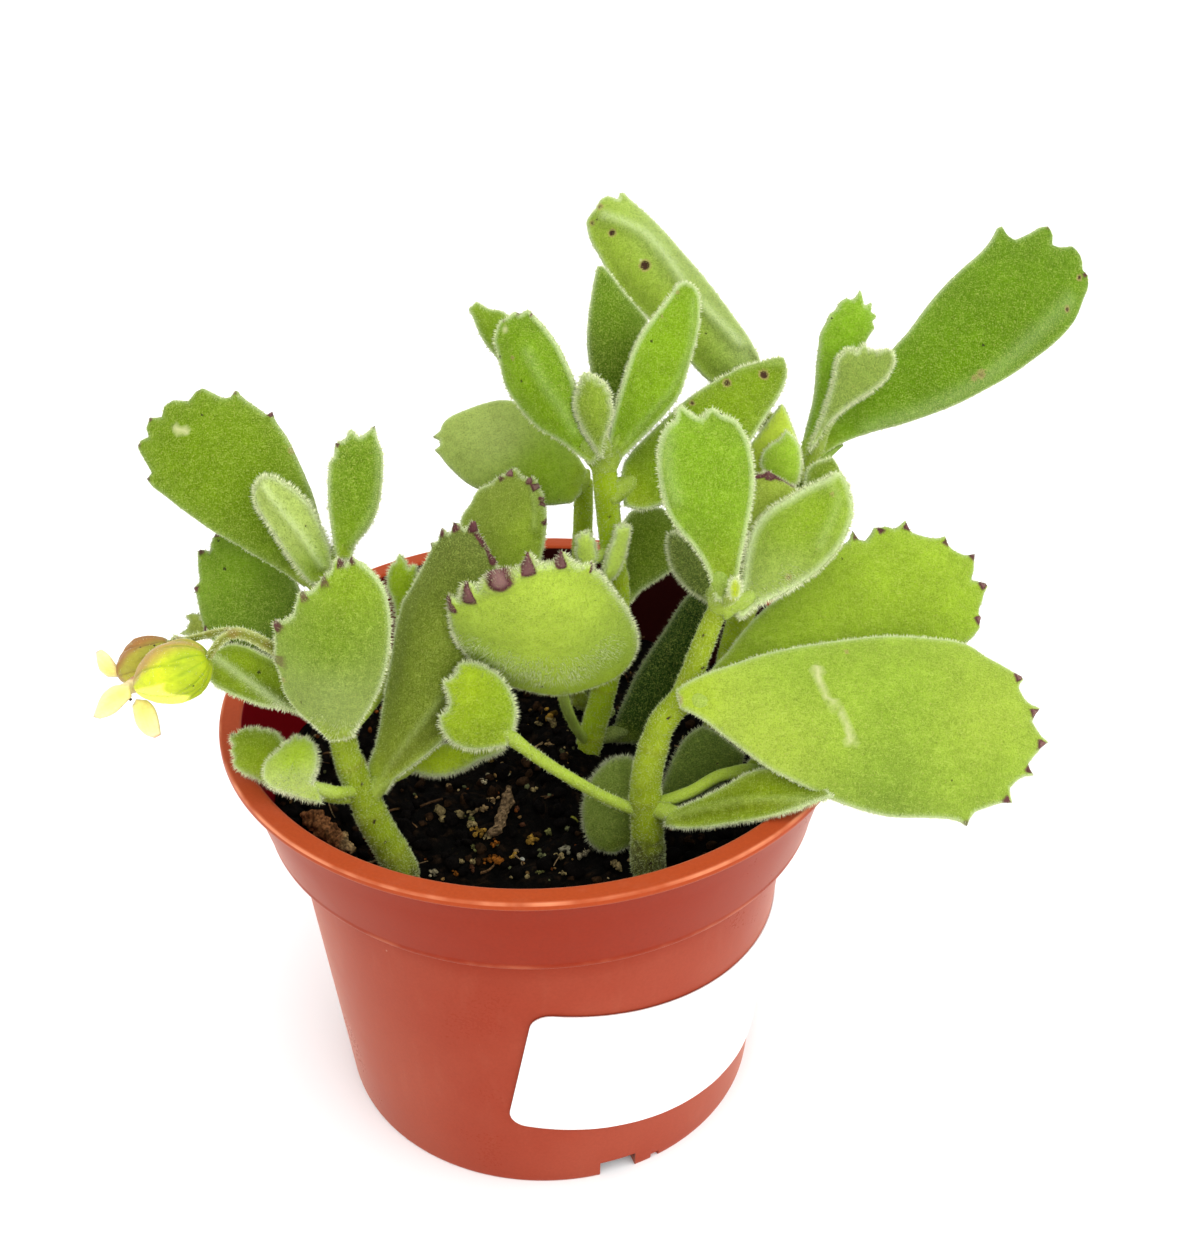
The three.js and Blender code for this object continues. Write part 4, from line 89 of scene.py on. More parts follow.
    {'name': 'leaf_top_centre_left', 'region': 'centre', 'slot': 'leaf', 'at': [10.24, 0.0, 118.81], 'along': [-0.4874, 0.4066, 0.7728], 'facing': [-0.2209, -0.9136, 0.3414], 'thick': 4.8, 'cup': 1.4, 'bend': 1.5, 'back': 'olive', 'edge_fuzz_and_sheen': 0.8, 'fuzz': [0.55, 1.2], 'grad': [(21.6, -1.2, 'mid'), (16.3, 2.9, 'bright'), (9.2, 2.8, 'bright'), (14.4, -3.1, 'mid')], 'petiole': [[11.56, 2.4, 116.56], [8.78, 1.22, 121.13]], 'petioleRadius': [1.44, 1.44], 'edge': [[-0.27, 0.91], [2.34, 1.94], [5.37, 3.1], [8.09, 4.75], [11.09, 5.67], [13.78, 6.05], [15.97, 6.18], [18.04, 5.8], [20.19, 4.96], [22.09, 4.33], [23.62, 3.97], [24.77, 2.66], [25.58, 1.41], [25.39, 0.21], [25.59, -1.18], [24.8, -1.63], [24.81, -3.03], [23.56, -3.39], [22.11, -3.79], [19.99, -4.15], [17.62, -4.35], [15.28, -4.21], [12.69, -3.9], [10.84, -3.49], [9.22, -2.69], [7.02, -1.68], [4.74, -1.3], [2.31, -1.16], [0.27, -0.9]], 'teeth': [(25.25, 0.84, 0.48, 0.4), (25.06, -1.77, 0.4, 0.6), (24.11, -3.34, 0.4, 0.6)], 'ridges': [{'line': [[19.25, -0.22], [13.66, -0.06], [9.16, -0.29], [5.42, -0.04]], 'h': 0.35, 'w': 1.0, 'din': 0.3, 'dout': 0.7, 'wd': 3.5, 'inner': -1, 'pale': 0.12}], 'spots': [(19.7, 2.29, 0.5, 0.5), (23.98, 1.39, 0.8, -0.8)], 'tone_and_painted_light': (0.85, 0.9, 0.25), 'band': 0.7},
    {'name': 'leaf_top_centre_left_behind', 'region': 'centre', 'slot': 'leaf', 'at': [5.99, 8.0, 121.02], 'along': [-0.5854, 0.4721, 0.6591], 'facing': [-0.0999, -0.8488, 0.5192], 'thick': 3.0, 'cup': 0.6, 'bend': 1.0, 'back': 'olive', 'edge_fuzz_and_sheen': 0.7, 'fuzz': [0.5, 1.0], 'grad': [(20.5, -1.3, 'mid')], 'petiole': [[11.56, 2.4, 116.56], [4.23, 9.42, 123.0]], 'petioleRadius': [0.9, 0.9], 'edge': [[-1.23, 2.18], [2.62, 2.08], [6.66, 2.23], [11.06, 2.32], [15.2, 2.04], [17.45, 2.09], [19.97, 1.73], [22.08, 1.09], [23.71, 0.84], [23.68, 0.06], [23.91, -0.91], [23.03, -1.23], [21.51, -1.85], [20.52, -2.85], [18.27, -3.67], [14.61, -3.99], [9.9, -3.67], [5.41, -3.1], [1.24, -2.17]], 'tone_and_painted_light': (1.05, 1.0, 0.2)},
    {'name': 'bud_top_centre', 'region': 'centre', 'slot': 'leaf', 'at': [11.29, -0.7, 120.75], 'along': [-0.1005, 0.3592, 0.9278], 'facing': [0.0, -0.9326, 0.361], 'thick': 4.4, 'cup': 0.0, 'bend': 0.5, 'back': 'pale', 'edge_fuzz_and_sheen': 0.9, 'fuzz': [0.7, 3.0], 'grad': [(9.5, 0.2, 'mid'), (3.5, 0.7, 'mid')], 'petiole': [[11.56, 2.4, 116.56], [11.08, 0.08, 122.77]], 'petioleRadius': [1.32, 1.32], 'edge': [[-1.18, 0.31], [0.95, 1.26], [3.26, 2.34], [5.18, 3.0], [7.05, 3.36], [8.82, 3.11], [9.35, 2.59], [10.25, 2.62], [10.47, 1.98], [11.35, 1.86], [12.3, 1.12], [11.36, 0.79], [12.01, 0.1], [11.09, -0.08], [11.14, -0.84], [10.24, -0.87], [10.12, -1.77], [9.09, -1.63], [8.4, -2.3], [7.4, -1.86], [6.16, -2.15], [4.55, -1.64], [2.53, -0.77], [0.61, -0.08]], 'tone_and_painted_light': (1.3, 1.05, 4.2)},
    {'name': 'leaf_top_centre_right', 'region': 'centre', 'slot': 'leaf', 'at': [12.92, 1.5, 118.7], 'along': [0.4432, 0.4269, 0.7882], 'facing': [0.12, -0.8996, 0.4198], 'thick': 4.8, 'cup': 1.4, 'bend': 1.5, 'back': 'mid', 'edge_fuzz_and_sheen': 0.8, 'fuzz': [0.5, 1.2], 'grad': [(22.1, 1.1, 'bright'), (14.0, 0.8, 'bright'), (5.9, 0.4, 'bright')], 'petiole': [[11.56, 2.4, 116.56], [14.25, 2.78, 121.07]], 'petioleRadius': [1.44, 1.44], 'edge': [[0.11, 1.24], [3.05, 2.15], [5.78, 2.77], [8.56, 3.23], [11.69, 3.66], [15.5, 4.04], [18.89, 3.88], [21.45, 3.35], [23.89, 2.75], [26.15, 2.21], [28.07, 1.67], [28.81, 0.81], [28.79, -0.57], [27.75, -1.9], [25.48, -3.11], [22.6, -4.09], [19.04, -4.69], [15.77, -5.2], [12.91, -5.54], [9.56, -4.8], [5.96, -3.51], [2.72, -2.29], [-0.1, -1.26]], 'ridges': [{'line': [[26.42, -1.1], [20.01, -3.32], [13.58, -3.73], [7.86, -2.09], [1.19, -0.22]], 'h': 0.5, 'w': 0.5, 'din': 0.9, 'dout': 0.2, 'wd': 3.0, 'inner': -1, 'pale': 0.12}], 'spots': [(26.59, 1.35, 0.5, 0.4), (22.24, 2.16, 0.4, 0.4)], 'tone_and_painted_light': (0.8, 0.85, 0.85), 'band': 0.8},
    {'name': 'leaf_top_back', 'region': 'centre', 'slot': 'leaf', 'at': [12.23, 9.0, 116.54], 'along': [-0.0054, 0.5407, 0.8412], 'facing': [0.02, -0.841, 0.5406], 'thick': 4.4, 'cup': 1.2, 'bend': 2.0, 'back': 'olive', 'edge_fuzz_and_sheen': 0.6, 'fuzz': [0.45, 1.0], 'grad': [(22.5, -1.4, 'mid'), (13.0, -1.0, 'olive')], 'petiole': [[11.59, 2.42, 116.16], [12.21, 10.62, 119.06]], 'petioleRadius': [1.32, 1.32], 'edge': [[-0.2, 0.95], [4.12, 1.29], [7.98, 1.63], [12.18, 2.09], [15.8, 2.41], [19.74, 2.07], [23.42, 1.41], [26.99, 0.59], [28.47, 0.19], [28.44, -0.76], [26.75, -2.08], [24.11, -3.84], [21.52, -5.94], [19.61, -7.45], [15.62, -6.92], [11.69, -5.79], [7.81, -4.36], [3.99, -2.64], [0.2, -0.95]], 'tone_and_painted_light': (0.7, 0.75, 0.2)},
    {'name': 'leaf_top_right_broad', 'region': 'centre', 'slot': 'leaf', 'at': [14.43, 3.0, 111.57], 'along': [0.803, 0.429, 0.4138], 'facing': [0.05, -0.7404, 0.6703], 'thick': 5.0, 'cup': -1.8, 'bend': 1.0, 'back': 'olive', 'edge_fuzz_and_sheen': 0.85, 'fuzz': [0.6, 1.3], 'grad': [(24.3, 1.0, 'mid'), (15.1, -0.2, 'mid'), (4.0, -1.5, 'mid')], 'petiole': [[11.93, 2.66, 111.37], [16.84, 4.29, 112.81]], 'petioleRadius': [1.5, 1.5], 'edge': [[1.17, 1.86], [2.46, 2.99], [4.77, 3.91], [7.95, 4.38], [11.41, 4.68], [15.57, 5.07], [19.64, 5.03], [23.48, 4.65], [27.18, 4.03], [30.54, 2.91], [32.87, 2.1], [34.35, 1.29], [33.1, -0.93], [30.74, -2.62], [27.97, -3.78], [24.98, -4.75], [21.54, -5.99], [17.32, -6.99], [12.4, -7.25], [7.68, -6.9], [3.24, -5.59], [0.44, -4.19], [-1.26, -1.9]], 'ridges': [{'line': [[18.13, 6.22], [23.58, 5.29], [29.82, 2.61], [32.91, 0.45]], 'h': 0.5, 'w': 0.6, 'din': 0.3, 'dout': 0, 'wd': 1.5, 'inner': -1, 'pale': 0.12}], 'spots': [(23.63, 3.24, 1.0, 0.8), (29.35, 0.76, 1.2, 0.9), (17.08, 4.05, 0.7, 0.7)], 'tone_and_painted_light': (1.05, 0.95, 0.2)},
    {'name': 'leaf_mid_right_olive', 'region': 'centre', 'slot': 'leaf', 'at': [14.54, 4.0, 90.49], 'along': [0.4164, 0.5782, 0.7016], 'facing': [0.0995, -0.796, 0.597], 'thick': 3.8, 'cup': 1.0, 'bend': 0.8, 'back': 'olive', 'edge_fuzz_and_sheen': 0.8, 'fuzz': [0.5, 1.3], 'grad': [(34.9, -16.4, 'olive')], 'petiole': [[13.6, 4.03, 90.58], [15.79, 5.73, 92.6]], 'petioleRadius': [1.14, 1.14], 'edge': [[0.16, 0.87], [3.26, 1.85], [7.8, 3.72], [11.75, 5.1], [14.28, 4.69], [16.01, 2.73], [16.98, 0.08], [16.08, -2.82], [13.89, -5.19], [11.61, -6.13], [8.61, -5.5], [5.68, -3.77], [2.68, -1.78], [-0.16, -0.87]], 'tone_and_painted_light': (1.0, 0.95, 0.45)},
    {'name': 'leaf_shadow_large', 'region': 'centre', 'slot': 'leaf_shaded', 'at': [14.1, 5.0, 61.48], 'along': [0.5136, 0.4584, 0.7253], 'facing': [0.15, -0.8803, 0.4501], 'thick': 4.0, 'cup': 1.0, 'bend': 0.5, 'back': 'dark', 'edge_fuzz_and_sheen': 0.22, 'fuzz': [0.5, 0.8], 'grad': [(17.2, 2.4, 'dark'), (8.0, 1.3, 'dark')], 'petiole': [[8.89, 4.79, 62.65], [15.65, 6.38, 63.66]], 'petioleRadius': [1.2, 1.2], 'edge': [[-0.87, 2.0], [0.89, 2.38], [3.71, 2.98], [7.09, 3.29], [10.46, 3.59], [13.61, 3.56], [16.84, 3.38], [20.16, 3.04], [23.79, 2.84], [27.36, 2.4], [29.55, 1.6], [29.67, -0.77], [27.47, -3.3], [24.0, -4.94], [19.61, -5.61], [15.35, -5.77], [10.99, -4.91], [6.63, -4.09], [2.67, -3.28], [0.86, -2.05]], 'tone_and_painted_light': (0.19, 0.4, 0.12), 'stalk_tone_and_painted_shade': (0.35, 0.35, 0.35), 'painted_shade': 0.42, 'painted_sheen': 0.04},
    {'name': 'leaf_right_furry_behind', 'region': 'right', 'slot': 'leaf_shaded', 'at': [27.27, -16.0, 103.29], 'along': [-0.5694, 0.5145, 0.6412], 'facing': [-0.2504, -0.8514, 0.4608], 'thick': 3.2, 'cup': 0.6, 'bend': 0.5, 'back': 'olive', 'edge_fuzz_and_sheen': 0.4, 'fuzz': [0.7, 2.2], 'grad': [(6.8, -0.7, 'olive')], 'petiole': [[27.36, -19.77, 103.88], [26.04, -14.89, 104.68]], 'petioleRadius': [0.96, 0.96], 'edge': [[-0.76, 0.99], [1.29, 1.7], [3.35, 2.42], [5.58, 2.62], [7.87, 2.37], [10.13, 1.35], [12.04, -0.11], [11.53, -1.25], [9.28, -2.2], [6.75, -2.54], [3.69, -2.1], [0.77, -0.98]], 'tone_and_painted_light': (0.7, 0.6, 2.9), 'painted_shade': 0.8, 'painted_sheen': 0.05},
    {'name': 'leaf_right_front_tall', 'region': 'right', 'slot': 'leaf', 'at': [27.41, -23.5, 107.42], 'along': [-0.1525, 0.2976, 0.9424], 'facing': [0.0, -0.9536, 0.3011], 'thick': 5.2, 'cup': -1.2, 'bend': 1.5, 'back': 'mid', 'edge_fuzz_and_sheen': 0.75, 'fuzz': [0.5, 1.1], 'grad': [(24.7, 1.0, 'bright'), (19.8, -2.4, 'bright'), (13.3, 1.5, 'bright'), (3.2, 0.2, 'lime')], 'petiole': [[27.75, -19.63, 104.65], [26.95, -22.61, 110.25]], 'petioleRadius': [1.56, 1.56], 'edge': [[0.21, 1.01], [2.81, 1.22], [5.91, 1.78], [9.11, 3.04], [11.72, 4.53], [14.06, 5.6], [16.83, 6.14], [19.47, 6.26], [22.28, 6.03], [24.94, 5.24], [26.54, 4.21], [27.21, 3.36], [27.44, 2.44], [29.14, 1.83], [29.28, 1.09], [28.12, 0.15], [27.24, -0.83], [27.26, -1.55], [27.98, -2.25], [28.25, -3.15], [27.1, -4.21], [25.99, -5.96], [24.78, -6.58], [23.01, -7.11], [20.71, -7.28], [18.0, -7.12], [15.03, -6.51], [12.34, -5.68], [9.48, -4.69], [6.73, -3.72], [3.63, -2.71], [1.47, -1.53], [-0.19, -1.0]], 'ridges': [{'line': [[26.65, 3.79], [21.24, 4.79], [16.86, 4.42]], 'h': 0.3, 'w': 1.2, 'din': 0.6, 'dout': 0.3, 'wd': 2.0, 'inner': 1, 'pale': 0.12}], 'tone_and_painted_light': (0.75, 0.8, 1.95), 'band': 0.9},
    {'name': 'leaf_right_upper', 'region': 'right', 'slot': 'leaf', 'at': [29.69, -20.5, 103.36], 'along': [0.6514, 0.4532, 0.6085], 'facing': [0.0799, -0.8385, 0.539], 'thick': 4.8, 'cup': 1.6, 'bend': 0.8, 'back': 'mid', 'edge_fuzz_and_sheen': 0.9, 'fuzz': [0.65, 1.7], 'grad': [(19.4, -0.0, 'bright'), (14.3, 1.6, 'bright'), (9.7, -2.0, 'pale'), (3.7, 0.8, 'pale')], 'petiole': [[27.57, -19.7, 104.29], [31.65, -19.14, 105.19]], 'petioleRadius': [1.44, 1.44], 'edge': [[0.3, 1.29], [1.86, 1.23], [3.72, 1.97], [5.66, 3.11], [8.06, 4.39], [10.8, 5.52], [13.63, 5.81], [16.32, 5.3], [18.33, 4.46], [20.38, 3.8], [22.3, 2.84], [24.25, 1.87], [25.84, 1.35], [26.3, 0.55], [25.82, -0.99], [24.6, -2.79], [23.12, -4.48], [20.48, -5.7], [17.32, -6.3], [14.08, -6.1], [11.29, -5.51], [8.66, -4.62], [6.27, -3.56], [4.03, -2.42], [2.0, -1.55], [-0.28, -1.3]], 'ridges': [{'line': [[23.93, 1.51], [22.35, -1.25], [15.44, -3.28]], 'h': 0.4, 'w': 0.9, 'din': 0.6, 'dout': 0, 'wd': 2.5, 'inner': -1, 'pale': 0.12}], 'spots': [(8.91, -2.7, 0.7, 0.6), (22.55, -0.1, 0.5, 0.4)], 'tufts': [(3.48, -1.33, 3.2, 1.6, 0.3), (8.03, -3.47, 3.2, 1.4, 0.3)], 'tone_and_painted_light': (0.95, 0.9, 1.1), 'band': 1.3, 'painted_sheen': 0.3},
    {'name': 'bud_right_tiny', 'region': 'right', 'slot': 'leaf', 'at': [28.56, -26.9, 109.82], 'along': [0.0581, 0.3006, 0.952], 'facing': [0.0, -0.9536, 0.3011], 'thick': 1.8, 'cup': 0, 'bend': 0, 'back': 'mid', 'edge_fuzz_and_sheen': 0.9, 'fuzz': [0.6, 2.2], 'grad': [(1.5, 0.0, 'lime')], 'petiole': [[27.75, -19.63, 104.65], [28.59, -26.72, 110.4]], 'petioleRadius': [0.9, 0.9], 'edge': [[-0.01, 0.57], [1.31, 0.93], [2.63, 0.71], [3.38, 0.03], [2.52, -0.73], [1.2, -0.94], [0.01, -0.57]], 'tone_and_painted_light': (1.35, 1.2, 0.7)},
    {'name': 'leaf_right_purple_edged', 'region': 'right', 'slot': 'leaf', 'at': [34.77, -12.0, 101.83], 'along': [0.0271, 0.5036, 0.8635], 'facing': [0.0502, -0.8634, 0.502], 'thick': 3.6, 'cup': 0.8, 'bend': 0.8, 'back': 'olive', 'edge_fuzz_and_sheen': 0.7, 'fuzz': [0.5, 1.3], 'grad': [(13.7, -0.9, 'olive')], 'petiole': [[27.9, -19.6, 104.6], [34.85, -10.49, 104.42]], 'petioleRadius': [1.3, 1.3], 'edge': [[-1.42, 3.06], [0.88, 3.82], [4.69, 3.72], [9.23, 2.82], [13.02, 2.17], [15.29, 1.52], [17.57, 1.14], [17.87, 0.06], [18.17, -1.19], [17.4, -2.41], [16.49, -3.96], [15.42, -5.7], [12.98, -5.97], [9.17, -5.26], [4.61, -3.67], [0.07, -0.93], [-1.43, 1.54]], 'marks': [(17.26, 1.21, 17.55, -0.95, 0.76, 0.91, 0.75), (18.23, -1.13, 16.48, -1.07, 0.46, 1.98, 0.8), (17.55, -1.42, 16.63, -3.43, 0.91, 0.76, 0.72), (16.78, -3.28, 15.41, -5.48, 0.61, 0.46, 0.6)], 'tone_and_painted_light': (2.6, 2.0, 6.05)},
    {'name': 'leaf_right_small_folded', 'region': 'back', 'slot': 'leaf', 'at': [42.11, 7.5, 109.21], 'along': [-0.1285, 0.4708, 0.8728], 'facing': [-0.1002, -0.8818, 0.4609], 'thick': 3.4, 'cup': 0.6, 'bend': 0.5, 'back': 'mid', 'edge_fuzz_and_sheen': 0.8, 'fuzz': [0.5, 1.4], 'grad': [(5.9, 1.4, 'mid')], 'petiole': [[44.15, 14.0, 106.29], [41.9, 8.26, 110.61]], 'petioleRadius': [1.02, 1.02], 'edge': [[-0.13, 0.66], [1.36, 2.84], [2.58, 4.42], [4.41, 4.77], [6.06, 4.03], [7.11, 2.59], [7.81, 1.04], [8.91, -0.11], [7.97, -0.91], [6.56, -1.65], [4.45, -1.8], [2.26, -1.46], [0.13, -0.66]], 'tone_and_painted_light': (1.85, 1.65, 5.1)},
    {'name': 'leaf_right_small_behind', 'region': 'back', 'slot': 'leaf', 'at': [43.78, 11.0, 110.09], 'along': [-0.2663, 0.5256, 0.808], 'facing': [-0.0999, -0.8488, 0.5192], 'thick': 2.8, 'cup': 0.4, 'bend': 0.5, 'back': 'olive', 'edge_fuzz_and_sheen': 0.8, 'fuzz': [0.5, 1.4], 'grad': [(5.6, 1.9, 'mid')], 'petiole': [[44.15, 14.0, 106.29], [43.2, 12.13, 111.83]], 'petioleRadius': [0.9, 0.9], 'edge': [[-1.15, 0.62], [-0.46, 3.75], [1.06, 7.29], [3.86, 7.59], [6.25, 6.68], [7.42, 5.14], [8.79, 3.2], [10.07, 1.45], [11.22, -0.26], [9.58, -0.57], [6.82, -0.7], [3.93, -0.8], [1.14, -0.6]], 'tone_and_painted_light': (3.6, 2.55, 11.9)},
    {'name': 'leaf_right_back_fragment', 'region': 'back', 'slot': 'leaf_shaded', 'at': [46.02, 6.0, 106.78], 'along': [0.3087, 0.5951, 0.742], 'facing': [0.0995, -0.796, 0.597], 'thick': 3.0, 'cup': 0.4, 'bend': 0.3, 'back': 'olive', 'edge_fuzz_and_sheen': 0.8, 'fuzz': [0.5, 1.2], 'grad': [(4.8, 1.5, 'mid')], 'petiole': [[43.6, 13.9, 105.4], [46.45, 6.83, 107.81]], 'petioleRadius': [1.3, 1.3], 'edge': [[-0.8, 1.29], [0.57, 2.33], [2.5, 3.19], [4.31, 3.35], [5.67, 2.72], [6.75, 1.34], [7.71, -0.12], [6.84, -1.19], [5.48, -2.24], [3.14, -2.35], [0.81, -1.3]], 'tone_and_painted_light': (0.85, 0.75, 0.9)},
    {'name': 'leaf_back_right_large', 'region': 'back', 'slot': 'leaf', 'at': [46.04, 16.0, 107.37], 'along': [0.7961, 0.4002, 0.454], 'facing': [0.1199, -0.8396, 0.5298], 'thick': 4.8, 'cup': 1.8, 'bend': 2.0, 'back': 'mid', 'edge_fuzz_and_sheen': 0.45, 'fuzz': [0.4, 0.6], 'grad': [(48.2, 4.0, 'mid'), (33.3, 2.6, 'mid'), (19.1, 1.2, 'mid'), (8.6, 1.2, 'bright')], 'petiole': [[44.15, 14.0, 106.29], [48.43, 17.2, 108.73]], 'petioleRadius': [1.44, 1.44], 'edge': [[-0.33, 0.67], [1.61, 2.06], [3.95, 2.91], [7.22, 3.86], [11.11, 4.75], [15.39, 5.56], [19.95, 6.38], [23.85, 7.12], [26.83, 7.54], [30.78, 8.5], [34.92, 9.36], [38.5, 9.82], [42.14, 10.04], [45.69, 10.13], [48.5, 10.61], [51.07, 11.53], [51.99, 11.26], [51.52, 9.36], [51.97, 8.12], [54.89, 7.43], [57.17, 7.03], [58.28, 6.42], [57.99, 5.1], [56.56, 3.56], [57.34, 2.56], [59.38, 1.28], [59.53, -0.52], [59.0, -2.02], [58.35, -2.8], [58.54, -4.38], [57.51, -5.7], [55.3, -6.99], [52.07, -8.75], [48.98, -9.38], [45.54, -9.54], [41.02, -9.3], [36.67, -8.94], [31.63, -8.04], [26.77, -7.03], [21.38, -5.39], [16.29, -3.51], [11.49, -1.41], [7.31, 0.01], [4.11, 0.47], [0.32, -0.67]], 'teeth': [(58.02, 6.16, 0.56, 0.5), (57.86, -3.69, 0.72, 0.6)], 'ridges': [{'line': [[11.36, -0.55], [21.35, -4.22], [32.97, -6.32], [44.69, -5.88], [52.25, -5.25]], 'h': 0.25, 'w': 1.6, 'din': 0.5, 'dout': 0.2, 'wd': 3.0, 'inner': 1, 'pale': 0.12}], 'spots': [(56.72, -3.56, 0.8, 0.8), (51.04, -6.21, 0.8, 0.7), (31.91, -5.33, 1.2, 0.5), (30.53, -5.1, 0.9, 0.4)], 'tone_and_painted_light': (0.65, 0.75, 0.2), 'slim': 0.5},
    {'name': 'leaf_back_right_upright', 'region': 'back', 'slot': 'leaf', 'at': [45.41, 17.5, 109.57], 'along': [0.3492, 0.4588, 0.817], 'facing': [0.0803, -0.8834, 0.4618], 'thick': 3.8, 'cup': 0.9, 'bend': 1.0, 'back': 'mid', 'edge_fuzz_and_sheen': 0.5, 'fuzz': [0.45, 1.0], 'grad': [(22.7, 0.6, 'mid'), (12.7, -0.2, 'mid')], 'petiole': [[44.15, 14.0, 106.29], [46.46, 18.88, 112.02]], 'petioleRadius': [1.14, 1.14], 'edge': [[-0.96, 0.81], [2.01, 1.19], [5.33, 1.53], [8.65, 1.84], [11.52, 2.48], [14.04, 3.14], [16.63, 3.63], [19.22, 4.11], [21.75, 3.74], [22.63, 3.68], [23.91, 2.91], [25.0, 2.74], [26.14, 1.91], [26.14, 0.89], [26.98, 0.45], [28.3, 0.15], [26.91, -0.82], [25.89, -1.33], [27.0, -2.47], [25.39, -2.82], [25.18, -4.07], [23.93, -3.52], [23.21, -4.38], [21.6, -3.77], [19.02, -3.33], [15.25, -2.42], [11.51, -1.55], [7.91, -1.05], [4.43, -0.91], [0.96, -0.8]], 'tone_and_painted_light': (1.25, 1.35, 1.3)},
    {'name': 'leaf_back_right_furry', 'region': 'back', 'slot': 'leaf_pale', 'at': [45.84, 12.5, 113.74], 'along': [0.6244, 0.4057, 0.6675], 'facing': [0.0803, -0.8834, 0.4618], 'thick': 3.4, 'cup': -0.5, 'bend': 0.8, 'back': 'grey', 'edge_fuzz_and_sheen': 0.9, 'fuzz': [0.75, 2.6], 'grad': [(13.6, 1.6, 'grey'), (8.5, 1.8, 'grey')], 'petiole': [[44.15, 14.0, 106.29], [47.71, 13.72, 115.74]], 'petioleRadius': [1.02, 1.02], 'edge': [[-1.48, 0.11], [1.11, 0.91], [3.43, 1.53], [5.65, 2.28], [8.13, 3.2], [10.51, 4.25], [12.2, 5.16], [13.15, 5.48], [14.06, 5.33], [15.33, 5.24], [15.28, 4.54], [16.09, 4.52], [15.65, 3.54], [16.47, 3.52], [17.74, 3.18], [17.16, 2.11], [17.94, 1.63], [17.73, 0.85], [18.51, 0.36], [19.29, -0.12], [19.54, -0.98], [18.92, -2.02], [17.53, -2.59], [15.63, -2.73], [13.57, -2.4], [11.45, -1.72], [9.16, -0.79], [6.63, -0.08], [3.96, 0.3], [1.45, -0.07]], 'tone_and_painted_light': (0.85, 0.9, 0.5)},
    {'name': 'leaf_back_long', 'region': 'back', 'slot': 'leaf_pale', 'at': [36.86, 20.0, 118.0], 'along': [-0.5631, 0.4396, 0.6998], 'facing': [-0.0502, -0.8634, 0.502], 'thick': 5.0, 'cup': 1.6, 'bend': 2.0, 'back': 'mid', 'edge_fuzz_and_sheen': 0.8, 'fuzz': [0.5, 1.0], 'grad': [(35.2, 4.2, 'bright'), (30.3, 3.6, 'bright'), (26.3, 3.6, 'bright'), (20.3, 3.6, 'bright'), (15.4, 3.2, 'bright'), (9.7, 3.4, 'bright'), (20.9, 1.3, 'bright'), (15.3, 1.8, 'bright'), (7.3, 2.0, 'mid'), (30.6, -5.2, 'grey'), (23.1, -5.6, 'grey'), (16.2, -5.3, 'grey'), (7.9, -4.5, 'grey')], 'petiole': [[43.6, 13.9, 105.6], [42.0, 16.0, 110.0], [35.17, 21.32, 120.1]], 'petioleRadius': [1.6, 1.6, 1.8], 'edge': [[0.49, 1.35], [4.11, 2.76], [7.85, 4.06], [11.82, 4.58], [16.34, 5.28], [21.0, 5.87], [23.94, 6.52], [27.4, 6.79], [30.92, 6.62], [34.02, 6.16], [37.0, 5.78], [39.73, 4.58], [40.21, 3.41], [40.5, 1.98], [41.15, 0.69], [40.99, -0.6], [39.94, -1.43], [39.28, -1.75], [40.23, -2.45], [39.98, -3.07], [37.91, -3.35], [34.97, -4.0], [30.64, -4.63], [25.72, -5.02], [20.82, -5.43], [15.77, -5.55], [11.39, -5.57], [7.9, -5.46], [4.92, -4.91], [1.93, -3.53], [-0.49, -1.36]], 'ridges': [{'line': [[38.57, 1.75], [35.46, -0.14], [31.87, -1.68], [26.88, -2.18], [21.68, -1.93], [17.28, -2.28], [13.28, -2.94], [9.05, -3.66]], 'h': 0.5, 'w': 0.8, 'din': 0.9, 'dout': 0.2, 'wd': 2.2, 'inner': -1, 'pale': 0.45}], 'spots': [(35.44, 2.46, 0.9, 0.9), (27.94, 1.41, 1.3, 1.0), (28.98, 1.45, 0.4, -1.0), (40.15, 1.4, 0.8, 0.6), (38.9, 3.92, 0.6, 0.7)], 'tone_and_painted_light': (1.25, 1.1, 2.1), 'spike': 0.3},
    {'name': 'leaf_back_left_pale', 'region': 'back', 'slot': 'leaf_pale', 'at': [8.99, 14.0, 107.67], 'along': [-0.9418, 0.2196, 0.2544], 'facing': [-0.05, -0.8401, 0.5401], 'thick': 4.6, 'cup': 1.0, 'bend': 1.2, 'back': 'grey', 'edge_fuzz_and_sheen': 0.5, 'fuzz': [0.35, 0.7], 'grad': [(14.9, -2.2, 'grey'), (7.4, 0.5, 'mid')], 'petiole': [[8.86, 15.0, 107.14], [6.16, 14.66, 108.43]], 'petioleRadius': [1.38, 1.38], 'edge': [[-0.02, 1.69], [1.0, 3.88], [3.53, 5.02], [6.62, 6.0], [9.94, 6.19], [13.37, 6.07], [15.85, 6.32], [18.57, 5.8], [20.57, 4.88], [22.41, 3.91], [23.74, 2.95], [24.99, 2.3], [24.23, 1.4], [24.47, 0.63], [25.94, 0.37], [24.96, -0.93], [24.89, -2.32], [24.09, -3.59], [22.08, -5.38], [19.73, -7.13], [17.14, -8.62], [14.24, -9.18], [10.29, -8.52], [6.67, -6.74], [3.23, -4.41], [0.02, -1.7]], 'teeth': [(25.3, 0.19, 0.4, 0.5), (24.03, 2.02, 0.4, 0.4)], 'tone_and_painted_light': (1.6, 1.45, 1.4)},
